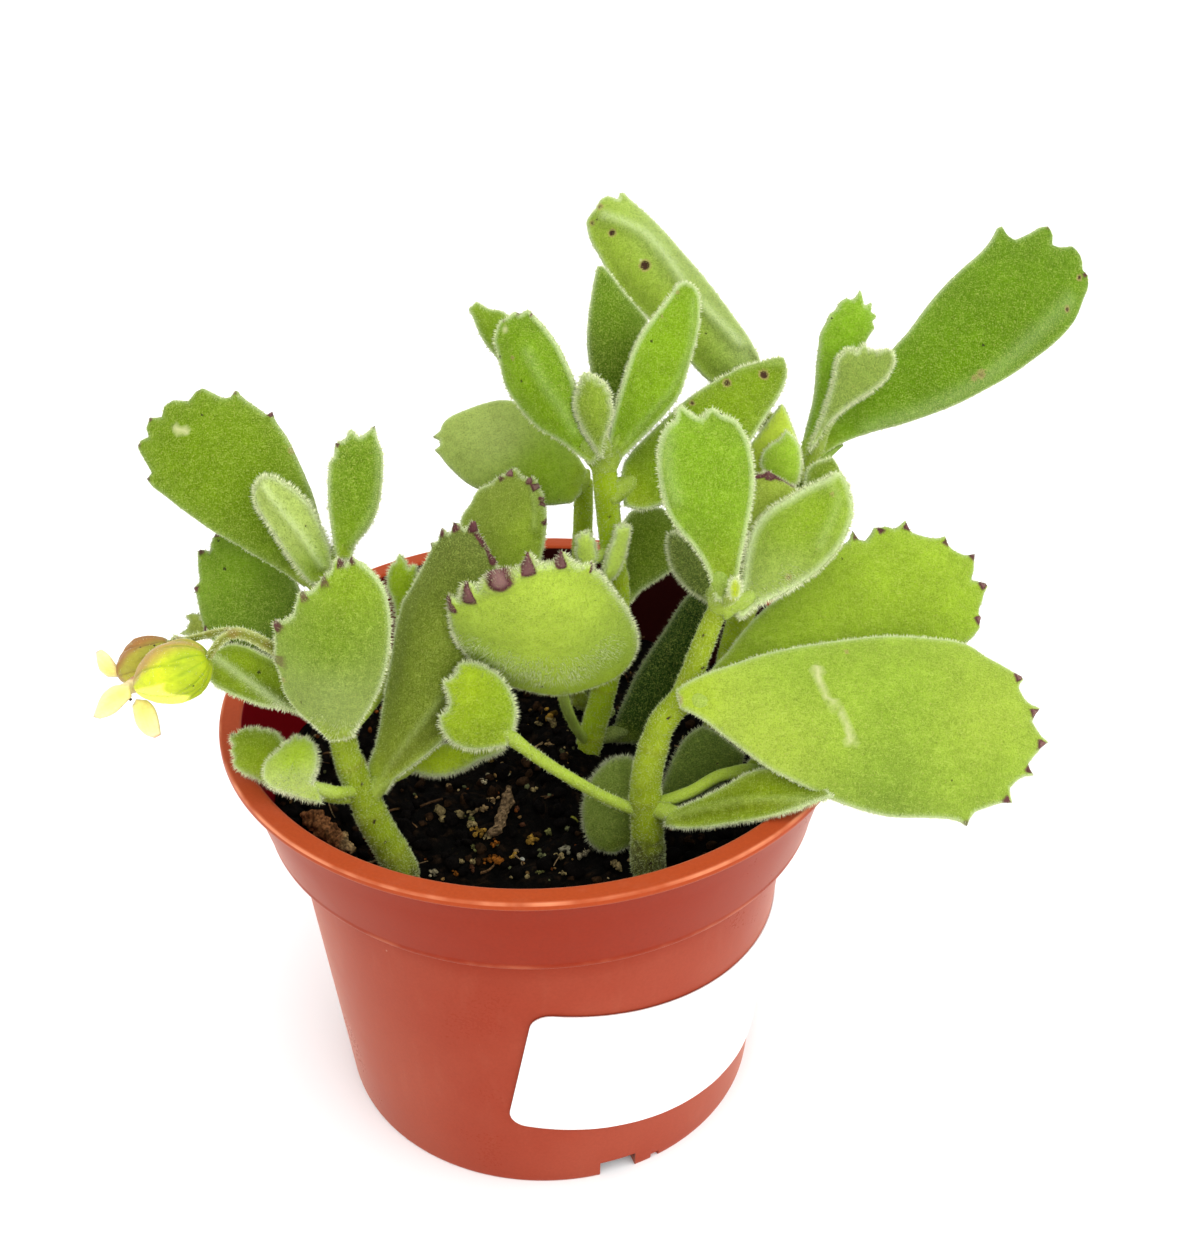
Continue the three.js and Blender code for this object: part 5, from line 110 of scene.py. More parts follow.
    {'name': 'leaf_right_large_back', 'region': 'right', 'slot': 'leaf', 'at': [28.06, -17.5, 88.72], 'along': [0.9295, 0.2763, 0.2445], 'facing': [0.0797, -0.7975, 0.5981], 'thick': 4.6, 'cup': 1.6, 'bend': 1.0, 'back': 'mid', 'edge_fuzz_and_sheen': 0.45, 'fuzz': [0.4, 0.8], 'grad': [(37.7, 4.6, 'mid'), (28.3, 3.4, 'mid'), (8.0, 3.7, 'mid')], 'petiole': [[22.59, -22.27, 91.94], [30.85, -16.67, 89.45]], 'petioleRadius': [1.38, 1.38], 'edge': [[-1.93, 1.41], [0.44, 2.91], [2.47, 3.71], [4.5, 4.85], [6.75, 6.07], [9.29, 7.18], [12.14, 8.16], [15.36, 9.17], [18.67, 10.33], [22.3, 11.36], [25.47, 12.1], [27.71, 12.36], [29.03, 13.21], [29.37, 11.83], [30.17, 11.31], [31.56, 11.95], [32.96, 12.24], [34.2, 12.24], [35.15, 11.31], [37.37, 11.43], [37.64, 9.55], [39.43, 8.11], [41.97, 6.7], [42.37, 4.97], [43.46, 3.48], [45.15, 2.44], [44.48, 0.65], [43.21, -0.88], [45.02, -2.13], [44.37, -3.57], [43.21, -4.96], [41.9, -6.28], [41.59, -8.35], [39.75, -9.27], [37.0, -9.81], [32.18, -9.31], [25.74, -7.77], [19.53, -5.97], [13.4, -4.19], [7.3, -2.57], [1.91, -1.41]], 'teeth': [(37.29, 11.28, 0.9, 0.8), (32.66, 12.01, 0.9, 0.7), (28.95, 13.06, 0.9, 0.6), (41.89, 6.55, 0.9, 0.6), (45.22, 2.58, 0.9, 0.8), (45.04, -2.48, 1.01, 0.9), (42.03, -6.84, 1.01, 0.9)], 'tone_and_painted_light': (1.75, 1.45, 4.35), 'painted_shade': 0.85, 'spike': 0.6},
    {'name': 'leaf_right_large_front', 'region': 'right', 'slot': 'leaf', 'at': [20.71, -27.0, 92.73], 'along': [0.9868, -0.0531, -0.1532], 'facing': [0.0599, -0.7586, 0.6488], 'thick': 5.0, 'cup': 2.0, 'bend': 0.6, 'back': 'mid', 'edge_fuzz_and_sheen': 0.75, 'fuzz': [0.4, 0.8], 'grad': [(5.2, 0.3, 'glow'), (14.5, -3.8, 'glow'), (17.3, 7.0, 'bright'), (32.6, 3.5, 'bright'), (45.8, 0.6, 'glow'), (32.5, -9.8, 'mid'), (48.8, -6.5, 'bright')], 'petiole': [[22.25, -22.49, 91.04], [23.67, -27.16, 92.27]], 'petioleRadius': [1.5, 1.5], 'edge': [[-0.44, 1.37], [0.94, 2.59], [3.48, 4.24], [7.23, 6.05], [11.6, 8.11], [16.04, 9.74], [20.54, 11.07], [25.08, 12.27], [29.67, 13.32], [33.53, 13.81], [37.41, 13.99], [41.31, 14.01], [43.35, 13.64], [46.01, 12.23], [49.15, 10.89], [51.52, 9.78], [51.39, 7.89], [52.21, 6.44], [54.3, 5.01], [53.62, 2.94], [54.8, 1.41], [55.83, 0.17], [54.72, -1.63], [53.48, -3.42], [54.09, -4.85], [52.19, -5.97], [51.11, -7.28], [51.36, -9.19], [49.15, -10.04], [46.25, -11.4], [45.16, -13.3], [42.95, -12.96], [38.37, -13.18], [33.54, -13.57], [28.9, -13.06], [24.52, -12.08], [21.36, -11.11], [17.88, -9.88], [14.74, -8.76], [11.53, -7.06], [9.13, -5.71], [6.73, -4.36], [4.33, -2.86], [2.28, -1.9], [0.44, -1.37]], 'teeth': [(51.67, 9.33, 1.01, 0.9), (54.15, 4.84, 1.01, 0.9), (55.67, 0.15, 1.01, 0.9), (53.92, -4.72, 0.9, 0.8), (51.03, -9.08, 0.9, 0.7), (45.16, -13.3, 0.78, 0.5)], 'scars': [([[19.84, 7.16], [20.06, 5.96], [20.31, 4.63], [21.33, 2.94], [22.44, 2.18], [22.79, 1.62], [23.61, 0.82], [24.16, -0.31], [24.86, -1.41], [25.81, -3.37]], 0.46)], 'spots': [(24.37, 10.02, 0.5, 0.5), (-0.94, 0.64, 0.9, 0.55), (0.03, -0.13, 1.0, 0.6), (-0.5, -0.79, 0.7, 0.5)], 'tone_and_painted_light': (0.99, 0.91, 5.05), 'sink': 0.9, 'spike': 0.6},
    {'name': 'leaf_low_right_trough', 'region': 'right', 'slot': 'leaf', 'at': [18.87, -29.6, 72.36], 'along': [0.9168, -0.2413, 0.3183], 'facing': [-0.3993, -0.5691, 0.7188], 'thick': 4.0, 'cup': -1.2, 'bend': 0.4, 'back': 'mid', 'edge_fuzz_and_sheen': 0.8, 'fuzz': [0.55, 1.3], 'grad': [(6.2, -0.6, 'bright'), (15.8, 1.1, 'bright'), (23.4, 0.8, 'mid')], 'petiole': [[16.17, -26.03, 72.17], [21.62, -30.32, 73.32]], 'petioleRadius': [1.2, 1.2], 'edge': [[-0.38, -1.05], [2.24, -1.92], [5.5, -2.4], [10.32, -2.47], [15.04, -2.36], [19.7, -1.75], [23.56, -0.88], [26.46, -0.35], [25.42, 1.15], [23.26, 2.9], [20.46, 4.26], [17.24, 5.11], [14.38, 4.93], [11.31, 3.92], [7.89, 2.79], [4.17, 1.84], [0.43, 1.02]], 'ridges': [{'line': [[0.62, -0.26], [6.23, 0.45], [13.41, 0.64], [20.3, -0.17], [25.68, -0.74]], 'h': 0.7, 'w': 0.6, 'din': 0.5, 'dout': 0.8, 'wd': 2.0, 'inner': 1, 'pale': 0.12}], 'tone_and_painted_light': (0.85, 0.7, 0.2)},
    {'name': 'leaf_low_right_under', 'region': 'right', 'slot': 'leaf_shaded', 'at': [32.05, -24.0, 77.0], 'along': [0.9395, -0.3121, 0.1413], 'facing': [-0.2999, -0.5498, 0.7796], 'thick': 3.0, 'cup': 0.6, 'bend': 0.3, 'back': 'dark', 'edge_fuzz_and_sheen': 0.7, 'fuzz': [0.5, 1.0], 'grad': [(-4.3, 0.9, 'olive')], 'petiole': [[16.3, -26.0, 72.0], [22.74, -27.0, 75.34], [27.77, -25.6, 77.28], [34.66, -24.87, 77.39]], 'petioleRadius': [1.0, 0.95, 0.95, 1.1], 'edge': [[-0.6, 0.46], [0.35, 1.82], [3.07, 2.92], [6.47, 3.38], [10.07, 3.18], [13.44, 1.98], [15.42, 0.14], [14.34, -2.06], [11.34, -3.1], [7.65, -2.97], [3.87, -1.92], [0.6, -0.47]], 'tone_and_painted_light': (0.75, 0.75, 0.2), 'painted_shade': 0.6},
    {'name': 'leaf_low_shadow_left', 'region': 'right', 'slot': 'leaf_shaded', 'at': [16.1, -23.5, 65.09], 'along': [-0.3857, 0.4804, 0.7877], 'facing': [-0.0502, -0.8634, 0.502], 'thick': 3.6, 'cup': 0.8, 'bend': 0.5, 'back': 'dark', 'edge_fuzz_and_sheen': 0.3, 'fuzz': [0.7, 1.6], 'grad': [(7.1, 2.8, 'dark')], 'petiole': [[16.29, -26.13, 65.09], [15.23, -22.41, 66.87]], 'petioleRadius': [1.08, 1.08], 'edge': [[-0.74, 0.86], [-1.13, 3.47], [-0.99, 6.19], [0.34, 8.02], [2.46, 8.78], [5.42, 8.27], [8.32, 6.93], [10.44, 5.08], [11.94, 2.65], [12.6, -0.08], [11.98, -2.57], [10.34, -3.89], [7.39, -3.57], [3.67, -2.2], [0.75, -0.87]], 'tone_and_painted_light': (2.4, 2.0, 5.7), 'stalk_tone_and_painted_shade': (0.2, 0.22, 0.2), 'painted_shade': 0.5, 'painted_sheen': 0.05},
    {'name': 'leaf_low_shadow_right', 'region': 'right', 'slot': 'leaf_shaded', 'at': [19.87, -18.0, 65.43], 'along': [0.7398, 0.4327, 0.5152], 'facing': [0.0499, -0.799, 0.5993], 'thick': 3.4, 'cup': 0.8, 'bend': 0.5, 'back': 'dark', 'edge_fuzz_and_sheen': 0.3, 'fuzz': [0.6, 1.2], 'grad': [(12.5, 0.5, 'olive')], 'petiole': [[16.29, -26.13, 65.37], [21.87, -16.83, 66.83]], 'petioleRadius': [1.02, 1.02], 'edge': [[-1.03, 1.24], [1.67, 2.61], [4.38, 3.97], [7.35, 5.1], [10.68, 5.66], [13.33, 5.09], [14.24, 2.84], [14.6, 0.01], [15.0, -2.87], [12.96, -4.47], [9.6, -3.86], [5.23, -2.46], [1.03, -1.24]], 'tone_and_painted_light': (0.95, 0.85, 4.0), 'stalk_tone_and_painted_shade': (0.4, 0.4, 0.4), 'painted_shade': 0.5, 'painted_sheen': 0.05},
]

# Per stem, the colour gains and the dark foot above the soil paint light and shade on top of its own colours.
STEMS = [
    {'name': 'stem_left', 'region': 'left', 'path': [[-22.04, -23.6, 50.0], [-22.54, -23.6, 59.0], [-26.12, -23.6, 69.72], [-27.7, -23.1, 75.3], [-29.48, -22.1, 81.93], [-30.46, -19.6, 89.9], [-30.85, -17.1, 99.12], [-30.61, -15.5, 109.33]], 'radius': [2.6, 2.6, 2.5, 2.4, 2.1, 1.9, 1.8, 1.7], 'rings': [14, 22, 31, 39, 47], 'painted_shade_foot': 0.5, 'tone_and_painted_light': (0.67, 0.66, 0.5), 'slim': 0.1},
    {'name': 'stem_centre', 'region': 'centre', 'path': [[8.3, 4.79, 52.0], [8.3, 4.79, 60.0], [10.49, 4.79, 69.8], [12.78, 4.6, 80.99], [13.65, 4.0, 91.11], [12.87, 3.4, 99.99], [12.12, 2.8, 108.56], [11.56, 2.4, 116.56]], 'radius': [2.2, 2.2, 2.1, 2.0, 1.9, 1.9, 1.9, 1.9], 'rings': [12, 22, 33, 44], 'painted_shade_foot': 0.5, 'tone_and_painted_light': (1.0, 1.03, 0.2), 'slim': 0.0},
    {'name': 'stem_right', 'region': 'right', 'path': [[16.39, -26.13, 50.0], [16.39, -26.13, 59.0], [16.22, -26.13, 69.52], [16.07, -25.83, 77.1], [18.46, -24.13, 86.12], [22.02, -22.63, 90.43], [24.33, -21.13, 96.57], [26.28, -20.13, 101.7], [27.75, -19.63, 104.65]], 'radius': [2.7, 2.7, 2.5, 2.4, 2.3, 2.3, 2.1, 2.0, 1.8], 'rings': [14, 24, 33, 45], 'painted_shade_foot': 6.2, 'tone_and_painted_light': (0.76, 0.73, 0.4), 'slim': 0.24},
    {'name': 'stem_back_right', 'region': 'back', 'path': [[30.0, 10.0, 50.0], [31.0, 10.5, 58.0], [33.5, 11.5, 75.0], [37.0, 12.5, 90.0], [41.0, 13.5, 102.0], [44.15, 14.0, 106.29]], 'radius': [2.4, 2.4, 2.2, 2.1, 2.0, 1.8], 'rings': [20, 34], 'painted_shade_foot': 1.0, 'tone_and_painted_light': (1.05, 1.05, 0.9), 'slim': 0.0},
    {'name': 'stem_back_centre', 'region': 'back', 'path': [[8.0, 20.0, 50.0], [8.0, 20.0, 58.0], [8.2, 19.0, 75.0], [8.33, 17.0, 91.21], [8.6, 16.0, 99.49], [8.86, 15.0, 107.14]], 'radius': [2.0, 2.0, 1.9, 1.7, 1.6, 1.5], 'rings': [16, 30], 'painted_shade_foot': 1.0, 'tone_and_painted_light': (1, 1, 1), 'slim': 0.0},
]

TUBES = {
    "flower_stalk": ([[-32.38, -21.6, 96.46], [-35.12, -22.6, 99.04], [-37.71, -24.0, 102.2], [-40.15, -25.2, 105.0], [-42.43, -26.0, 106.65], [-44.43, -26.4, 106.15], [-46.2, -26.6, 104.31]], [1.1, 1.05, 1.0, 0.95, 0.9, 0.7, 0.6]),
    "flower_stalk_back": ([[-42.18, -25.9, 106.41], [-43.92, -25.4, 106.67], [-46.15, -24.4, 105.79], [-48.74, -23.4, 104.57], [-50.99, -22.6, 103.63]], [0.6, 0.6, 0.6, 0.55, 0.5]),
    "flower_bud_front": ([[-46.85, -27.02, 102.4], [-48.61, -27.09, 101.77], [-50.36, -27.17, 101.14], [-52.12, -27.25, 100.51], [-53.87, -27.33, 99.89], [-55.63, -27.41, 99.26], [-57.38, -27.48, 98.63]], [1.29, 3.41, 4.31, 4.48, 4.03, 2.96, 0.97]),
    "flower_bud_back": ([[-53.31, -17.82, 99.9], [-54.7, -17.93, 99.12], [-56.1, -18.04, 98.33], [-57.49, -18.15, 97.54], [-58.89, -18.26, 96.75], [-60.28, -18.37, 95.96], [-61.68, -18.48, 95.17]], [1.0, 2.65, 3.35, 3.49, 3.13, 2.3, 0.76]),
    "bark_chip": ([[-39.01, -10.14, 59.41], [-36.84, -12.82, 60.39], [-34.67, -15.51, 60.37], [-32.49, -18.2, 59.97], [-30.32, -20.89, 60.4]], [1.1, 1.7, 1.5, 1.6, 1.0]),
    "twig_bit": ([[-5.3, -7.46, 62.6], [-5.66, -10.64, 62.4], [-6.34, -14.39, 62.3], [-7.17, -17.04, 62.0], [-8.64, -18.23, 61.6]], [0.8, 1.15, 1.0, 1.1, 0.8]),
    "throat": ([-58.77, -23.5, 96.86], [-59.7, -26.5, 97.91]),
    "buds": [
        ('flower_bud_front', [-47.14, -27.0, 103.24], [-57.67, -27.5, 98.86], 4.5, 'front', 0.55),
        ('flower_bud_back', [-54.41, -17.8, 99.76], [-62.12, -18.5, 94.85], 3.5, 'back', 1.9),
    ],
}

PETALS = [
    {'name': 'petal_upper', 'at': [-62.25, -18.9, 95.94], 'along': [-0.71, 0.361, 0.6046], 'facing': [-0.1002, -0.9016, 0.4208], 'thick': 0.7, 'cup': 0.3, 'bend': 0.3, 'edge': [[-0.38, 0.58], [0.74, 1.66], [2.29, 1.63], [4.5, -0.02], [4.24, -0.87], [3.06, -1.19], [0.38, -0.59]]},
    {'name': 'petal_lower_left', 'at': [-58.62, -27.4, 98.31], 'along': [-0.8559, -0.2699, -0.4411], 'facing': [0.0, -0.853, 0.5219], 'thick': 0.7, 'cup': 0.3, 'bend': 0.3, 'edge': [[-0.35, -0.81], [1.77, -2.02], [3.18, -1.92], [6.61, 0.14], [5.93, 0.94], [4.15, 1.41], [0.36, 0.8]]},
    {'name': 'petal_lower_right', 'at': [-57.4, -27.2, 96.61], 'along': [0.2723, -0.4639, -0.843], 'facing': [0.1009, -0.8575, 0.5044], 'thick': 0.7, 'cup': 0.3, 'bend': 0.3, 'edge': [[-0.32, -0.72], [0.47, -1.59], [3.63, -1.73], [5.1, -1.02], [5.93, 0.04], [5.79, 0.98], [4.35, 1.32], [1.09, 1.21], [0.32, 0.72]]},
]

FLECKS = [

]


# ---------------------------------------------------------------- mesh helpers
def unit(v):
    v = np.asarray(v, float)
    return v / max(np.linalg.norm(v), 1e-12)


def make_object(name, points, tris, quads=None, attrs=None, slot=None, material=None, smooth=True, extra_materials=(), index=None):
    """A mesh object from points in millimetres, triangles and quads, with float or colour attributes on its points."""
    points = np.asarray(points, np.float32) * MM
    tris = np.asarray(tris, np.int32).reshape(-1, 3)
    quads = np.zeros((0, 4), np.int32) if quads is None else np.asarray(quads, np.int32).reshape(-1, 4)
    me = bpy.data.meshes.new(name)
    me.vertices.add(len(points))
    me.vertices.foreach_set("co", points.ravel())
    loops = np.concatenate([tris.ravel(), quads.ravel()])
    me.loops.add(len(loops))
    me.loops.foreach_set("vertex_index", loops)
    starts = np.concatenate([np.arange(len(tris)) * 3, len(tris) * 3 + np.arange(len(quads)) * 4]).astype(np.int32)
    me.polygons.add(len(starts))
    me.polygons.foreach_set("loop_start", starts)
    me.update(calc_edges=True)
    me.validate()
    me.polygons.foreach_set("use_smooth", np.full(len(me.polygons), smooth))
    for key, values in (attrs or {}).items():
        values = np.asarray(values, np.float32)
        if values.ndim == 2:
            a = me.attributes.new(key, "FLOAT_COLOR", "POINT")
            rgba = np.ones((len(points), 4), np.float32)
            rgba[:, :3] = values[:, :3]
            a.data.foreach_set("color", rgba.ravel())
        else:
            a = me.attributes.new(key, "FLOAT", "POINT")
            a.data.foreach_set("value", values)
    ob = bpy.data.objects.new(name, me)
    bpy.context.scene.collection.objects.link(ob)
    for m in [material, *extra_materials]:
        if m is not None:
            me.materials.append(m)
    if index is not None:
        me.polygons.foreach_set("material_index", np.asarray(index, np.int32))
    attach(ob, "root")
    return ob


class Parts:
    """Collects points, triangles, quads and point attributes of many pieces into one mesh."""

    def __init__(self, *keys):
        self.p, self.t, self.q, self.a, self.n = [], [], [], {k: [] for k in keys}, 0

    def add(self, points, tris=(), quads=(), **attrs):
        points = np.asarray(points, float).reshape(-1, 3)
        self.p.append(points)
        if len(tris):
            self.t.append(np.asarray(tris, int).reshape(-1, 3) + self.n)
        if len(quads):
            self.q.append(np.asarray(quads, int).reshape(-1, 4) + self.n)
        for k in self.a:
            v = np.asarray(attrs.get(k, 0.0), float)
            if k == "tint":
                v = np.broadcast_to(v, (len(points), 3))
            else:
                v = np.broadcast_to(v, (len(points),))
            self.a[k].append(v)
        self.n += len(points)

    def points(self):
        return np.concatenate(self.p)

    def tris(self):
        """All faces as triangles."""
        out = [*self.t]
        for q in self.q:
            out += [q[:, [0, 1, 2]], q[:, [0, 2, 3]]]
        return np.concatenate(out) if out else np.zeros((0, 3), int)

    def attr(self, k):
        return np.concatenate(self.a[k])

    def build(self, name, **kw):
        return make_object(
            name,
            np.concatenate(self.p),
            np.concatenate(self.t) if self.t else np.zeros((0, 3), int),
            np.concatenate(self.q) if self.q else None,
            {k: np.concatenate(v) for k, v in self.a.items()},
            **kw,
        )


def fbm(points, scale, octaves=3, seed=0.0):
    """Smooth noise from -1 to 1 at points in millimetres, with features of about scale millimetres."""
    out = np.empty(len(points))
    for i, p in enumerate(points):
        out[i] = noise.fractal(Vector((p[0] / scale + seed, p[1] / scale - seed, p[2] / scale + 2 * seed)), 0.9, 2.0, octaves)
    return out


def smoothstep(x, a, b):
    t = np.clip((np.asarray(x, float) - a) / (b - a), 0, 1)
    return t * t * (3 - 2 * t)


def catmull(P, step, values=None):
    """A smooth curve through points, with a point about every step. values are carried along."""
    P = np.asarray(P, float)
    n = len(P)
    ext = np.vstack([2 * P[0] - P[1], P, 2 * P[-1] - P[-2]])
    out, vals = [], []
    v = None if values is None else np.asarray(values, float)
    for i in range(n - 1):
        p0, p1, p2, p3 = ext[i], ext[i + 1], ext[i + 2], ext[i + 3]
        d = np.linalg.norm(p2 - p1)
        m = max(1, int(math.ceil(d / step)))
        for k in range(m):
            t = k / m
            a = min(1.0, d / max(np.linalg.norm(p2 - p0) / 2, 1e-9))
            b = min(1.0, d / max(np.linalg.norm(p3 - p1) / 2, 1e-9))
            m1, m2 = (p2 - p0) / 2 * a, (p3 - p1) / 2 * b
            h00, h10, h01, h11 = 2 * t**3 - 3 * t**2 + 1, t**3 - 2 * t**2 + t, -2 * t**3 + 3 * t**2, t**3 - t**2
            out.append(h00 * p1 + h10 * m1 + h01 * p2 + h11 * m2)
            if v is not None:
                s = t * t * (3 - 2 * t)
                vals.append(v[i] * (1 - s) + v[i + 1] * s)
    out.append(P[-1])
    if v is not None:
        vals.append(v[-1])
        return np.array(out), np.array(vals)
    return np.array(out)


def sweep(path, wide, high, side, sides=16, cap0=True, cap1=True, rough=0.0, seed=0.0):
    """A closed tube along path: half widths along side and half heights across it, with domed ends. Returns points, tris, quads."""
    path = np.asarray(path, float)
    n = len(path)
    tangents = np.gradient(path, axis=0)
    tangents /= np.linalg.norm(tangents, axis=1)[:, None]
    s = np.asarray(side, float)
    pts = []
    ang = 2 * np.pi * np.arange(sides) / sides
    ca, sa = np.cos(ang)[:, None], np.sin(ang)[:, None]
    for i in range(n):
        t = tangents[i]
        s = s - t * np.dot(s, t)
        s = s / max(np.linalg.norm(s), 1e-9)
        u = np.cross(t, s)
        ring = path[i] + wide[i] * ca * s + high[i] * sa * u
        pts.append(ring)
    pts = np.array(pts).reshape(-1, 3)
    i, k = np.meshgrid(np.arange(n - 1), np.arange(sides), indexing="ij")
    a = i * sides + k
    b = i * sides + (k + 1) % sides
    quads = np.stack([a, b, b + sides, a + sides], -1).reshape(-1, 4)
    tris, tips = [], []
    base = len(pts)
    ks = np.arange(sides)
    if cap0:
        tips.append(path[0] - tangents[0] * min(wide[0], high[0]) * 0.35)
        tris.append(np.stack([np.full(sides, base), (ks + 1) % sides, ks], -1))
        base += 1
    if cap1:
        tips.append(path[-1] + tangents[-1] * min(wide[-1], high[-1]) * 0.35)
        off = (n - 1) * sides
        tris.append(np.stack([np.full(sides, base), off + ks, off + (ks + 1) % sides], -1))
    if rough:
        centre = np.repeat(path, sides, 0)
        pts = centre + (pts - centre) * (1 + rough * fbm(pts, 2.2, 2, seed))[:, None]
    if tips:
        pts = np.vstack([pts, tips])
    return pts, np.concatenate(tris) if tris else np.zeros((0, 3), int), quads


def outline(P, step=0.42, corner=34.0):
    """Resamples a traced outline: smooth runs between sharp teeth."""
    P = np.asarray(P, float)
    n = len(P)
    seg = np.diff(P, axis=0)
    length = np.maximum(np.hypot(seg[:, 0], seg[:, 1]), 1e-6)
    u = seg / length[:, None]
    sharp = np.zeros(n, bool)
    sharp[[0, -1]] = True
    for i in range(1, n - 1):
        c = np.clip(np.dot(u[i - 1], u[i]), -1, 1)
        sharp[i] = math.degrees(math.acos(c)) > corner
    tan = np.zeros_like(P)
    for i in range(1, n - 1):
        tan[i] = (u[i - 1] * length[i] + u[i] * length[i - 1]) / (length[i - 1] + length[i])
    out = []
    for i in range(n - 1):
        m = max(1, int(round(length[i] / step)))
        t0 = u[i] if sharp[i] else tan[i]
        t1 = u[i] if sharp[i + 1] else tan[i + 1]
        for k in range(m):
            t = k / m
            h00, h10, h01, h11 = 2 * t**3 - 3 * t**2 + 1, t**3 - 2 * t**2 + t, -2 * t**3 + 3 * t**2, t**3 - t**2
            out.append(h00 * P[i] + h10 * t0 * length[i] + h01 * P[i + 1] + h11 * t1 * length[i])
    out.append(P[-1])
    Q = np.array(out)
    Q[1:-1] = 0.12 * Q[:-2] + 0.76 * Q[1:-1] + 0.12 * Q[2:]  # rounds the points of the teeth a little
    return Q


def inside(poly, pts):
    """Which points lie in the polygon."""
    x, y = pts[:, 0], pts[:, 1]
    c = np.zeros(len(pts), bool)
    a, b = poly, np.roll(poly, -1, axis=0)
    for (x0, y0), (x1, y1) in zip(a, b):
        m = (y0 > y) != (y1 > y)
        if m.any():
            c[m] ^= x[m] < (x1 - x0) * (y[m] - y0) / (y1 - y0) + x0
    return c


def distance_to(poly, pts, closed=True):
    """The distance from each point to the polyline, and which side of it the point lies on."""
    a = poly if closed else poly[:-1]
    b = np.roll(poly, -1, axis=0) if closed else poly[1:]
    best = np.full(len(pts), 1e9)
    side = np.zeros(len(pts))
    for p, q in zip(a, b):
        d = q - p
        t = np.clip(((pts - p) @ d) / max(d @ d, 1e-12), 0, 1)
        r = pts - (p + t[:, None] * d)
        h = np.hypot(r[:, 0], r[:, 1])
        m = h < best
        best[m] = h[m]
        side[m] = np.sign(d[0] * (pts[m, 1] - p[1]) - d[1] * (pts[m, 0] - p[0]))
    return best, side


def inflate(V2, F, edge, reach):
    """A smooth field over the blade: 0 on its outline, rising to 1 within about reach millimetres."""
    n = len(V2)
    i0, i1, i2 = F.T
    P0, P1, P2 = V2[i0], V2[i1], V2[i2]
    area = np.abs((P1[:, 0] - P0[:, 0]) * (P2[:, 1] - P0[:, 1]) - (P2[:, 0] - P0[:, 0]) * (P1[:, 1] - P0[:, 1])) / 2
    area = np.maximum(area, 1e-7)
    cot = []
    for a, b, c in ((P0, P1, P2), (P1, P2, P0), (P2, P0, P1)):
        cot.append(((b - a) * (c - a)).sum(1) / (2 * area))
    I = np.concatenate([i1, i2, i0])
    J = np.concatenate([i2, i0, i1])
    W = np.clip(np.concatenate(cot) / 2, 0.0, 20.0)
    mass = np.bincount(F.ravel(), np.repeat(area / 3, 3), n) / reach**2
    diag = np.bincount(I, W, n) + np.bincount(J, W, n) + mass
    free = ~edge
    x = np.zeros(n)
    rhs = np.where(free, mass, 0)

    def mul(v):
        y = diag * v - np.bincount(I, W * v[J], n) - np.bincount(J, W * v[I], n)
        return np.where(free, y, 0)

    r = rhs - mul(x)
    z = r / diag
    p = z.copy()
    rz = r @ z
    for _ in range(300):
        q = mul(p)
        alpha = rz / max(p @ q, 1e-20)
        x += alpha * p
        r -= alpha * q
        if np.abs(r).max() < 1e-6:
            break
        z = r / diag
        new = r @ z
        p = z + (new / max(rz, 1e-20)) * p
        rz = new
    return np.clip(x, 0, 1)


# ---------------------------------------------------------------- leaves
def leaf_frame(leaf):
    n = unit(leaf["facing"])
    d = np.asarray(leaf["along"], float)
    d = unit(d - n * np.dot(n, d))
    return np.asarray(leaf["at"], float), d, np.cross(n, d), n


def tints(leaf, A, La):
    """The colour over one face of a leaf: a blend of a few greens placed along it, partly the leaf's own colour and
    partly painted light and shade across the face.
    """
    stops = leaf["grad"]
    w = np.stack([1.0 / (((A - np.array(s[:2])) ** 2).sum(1) + (0.10 * La) ** 2) for s in stops], 1)
    w /= w.sum(1)[:, None]
    return w @ np.array([PALETTE[s[2]] for s in stops])


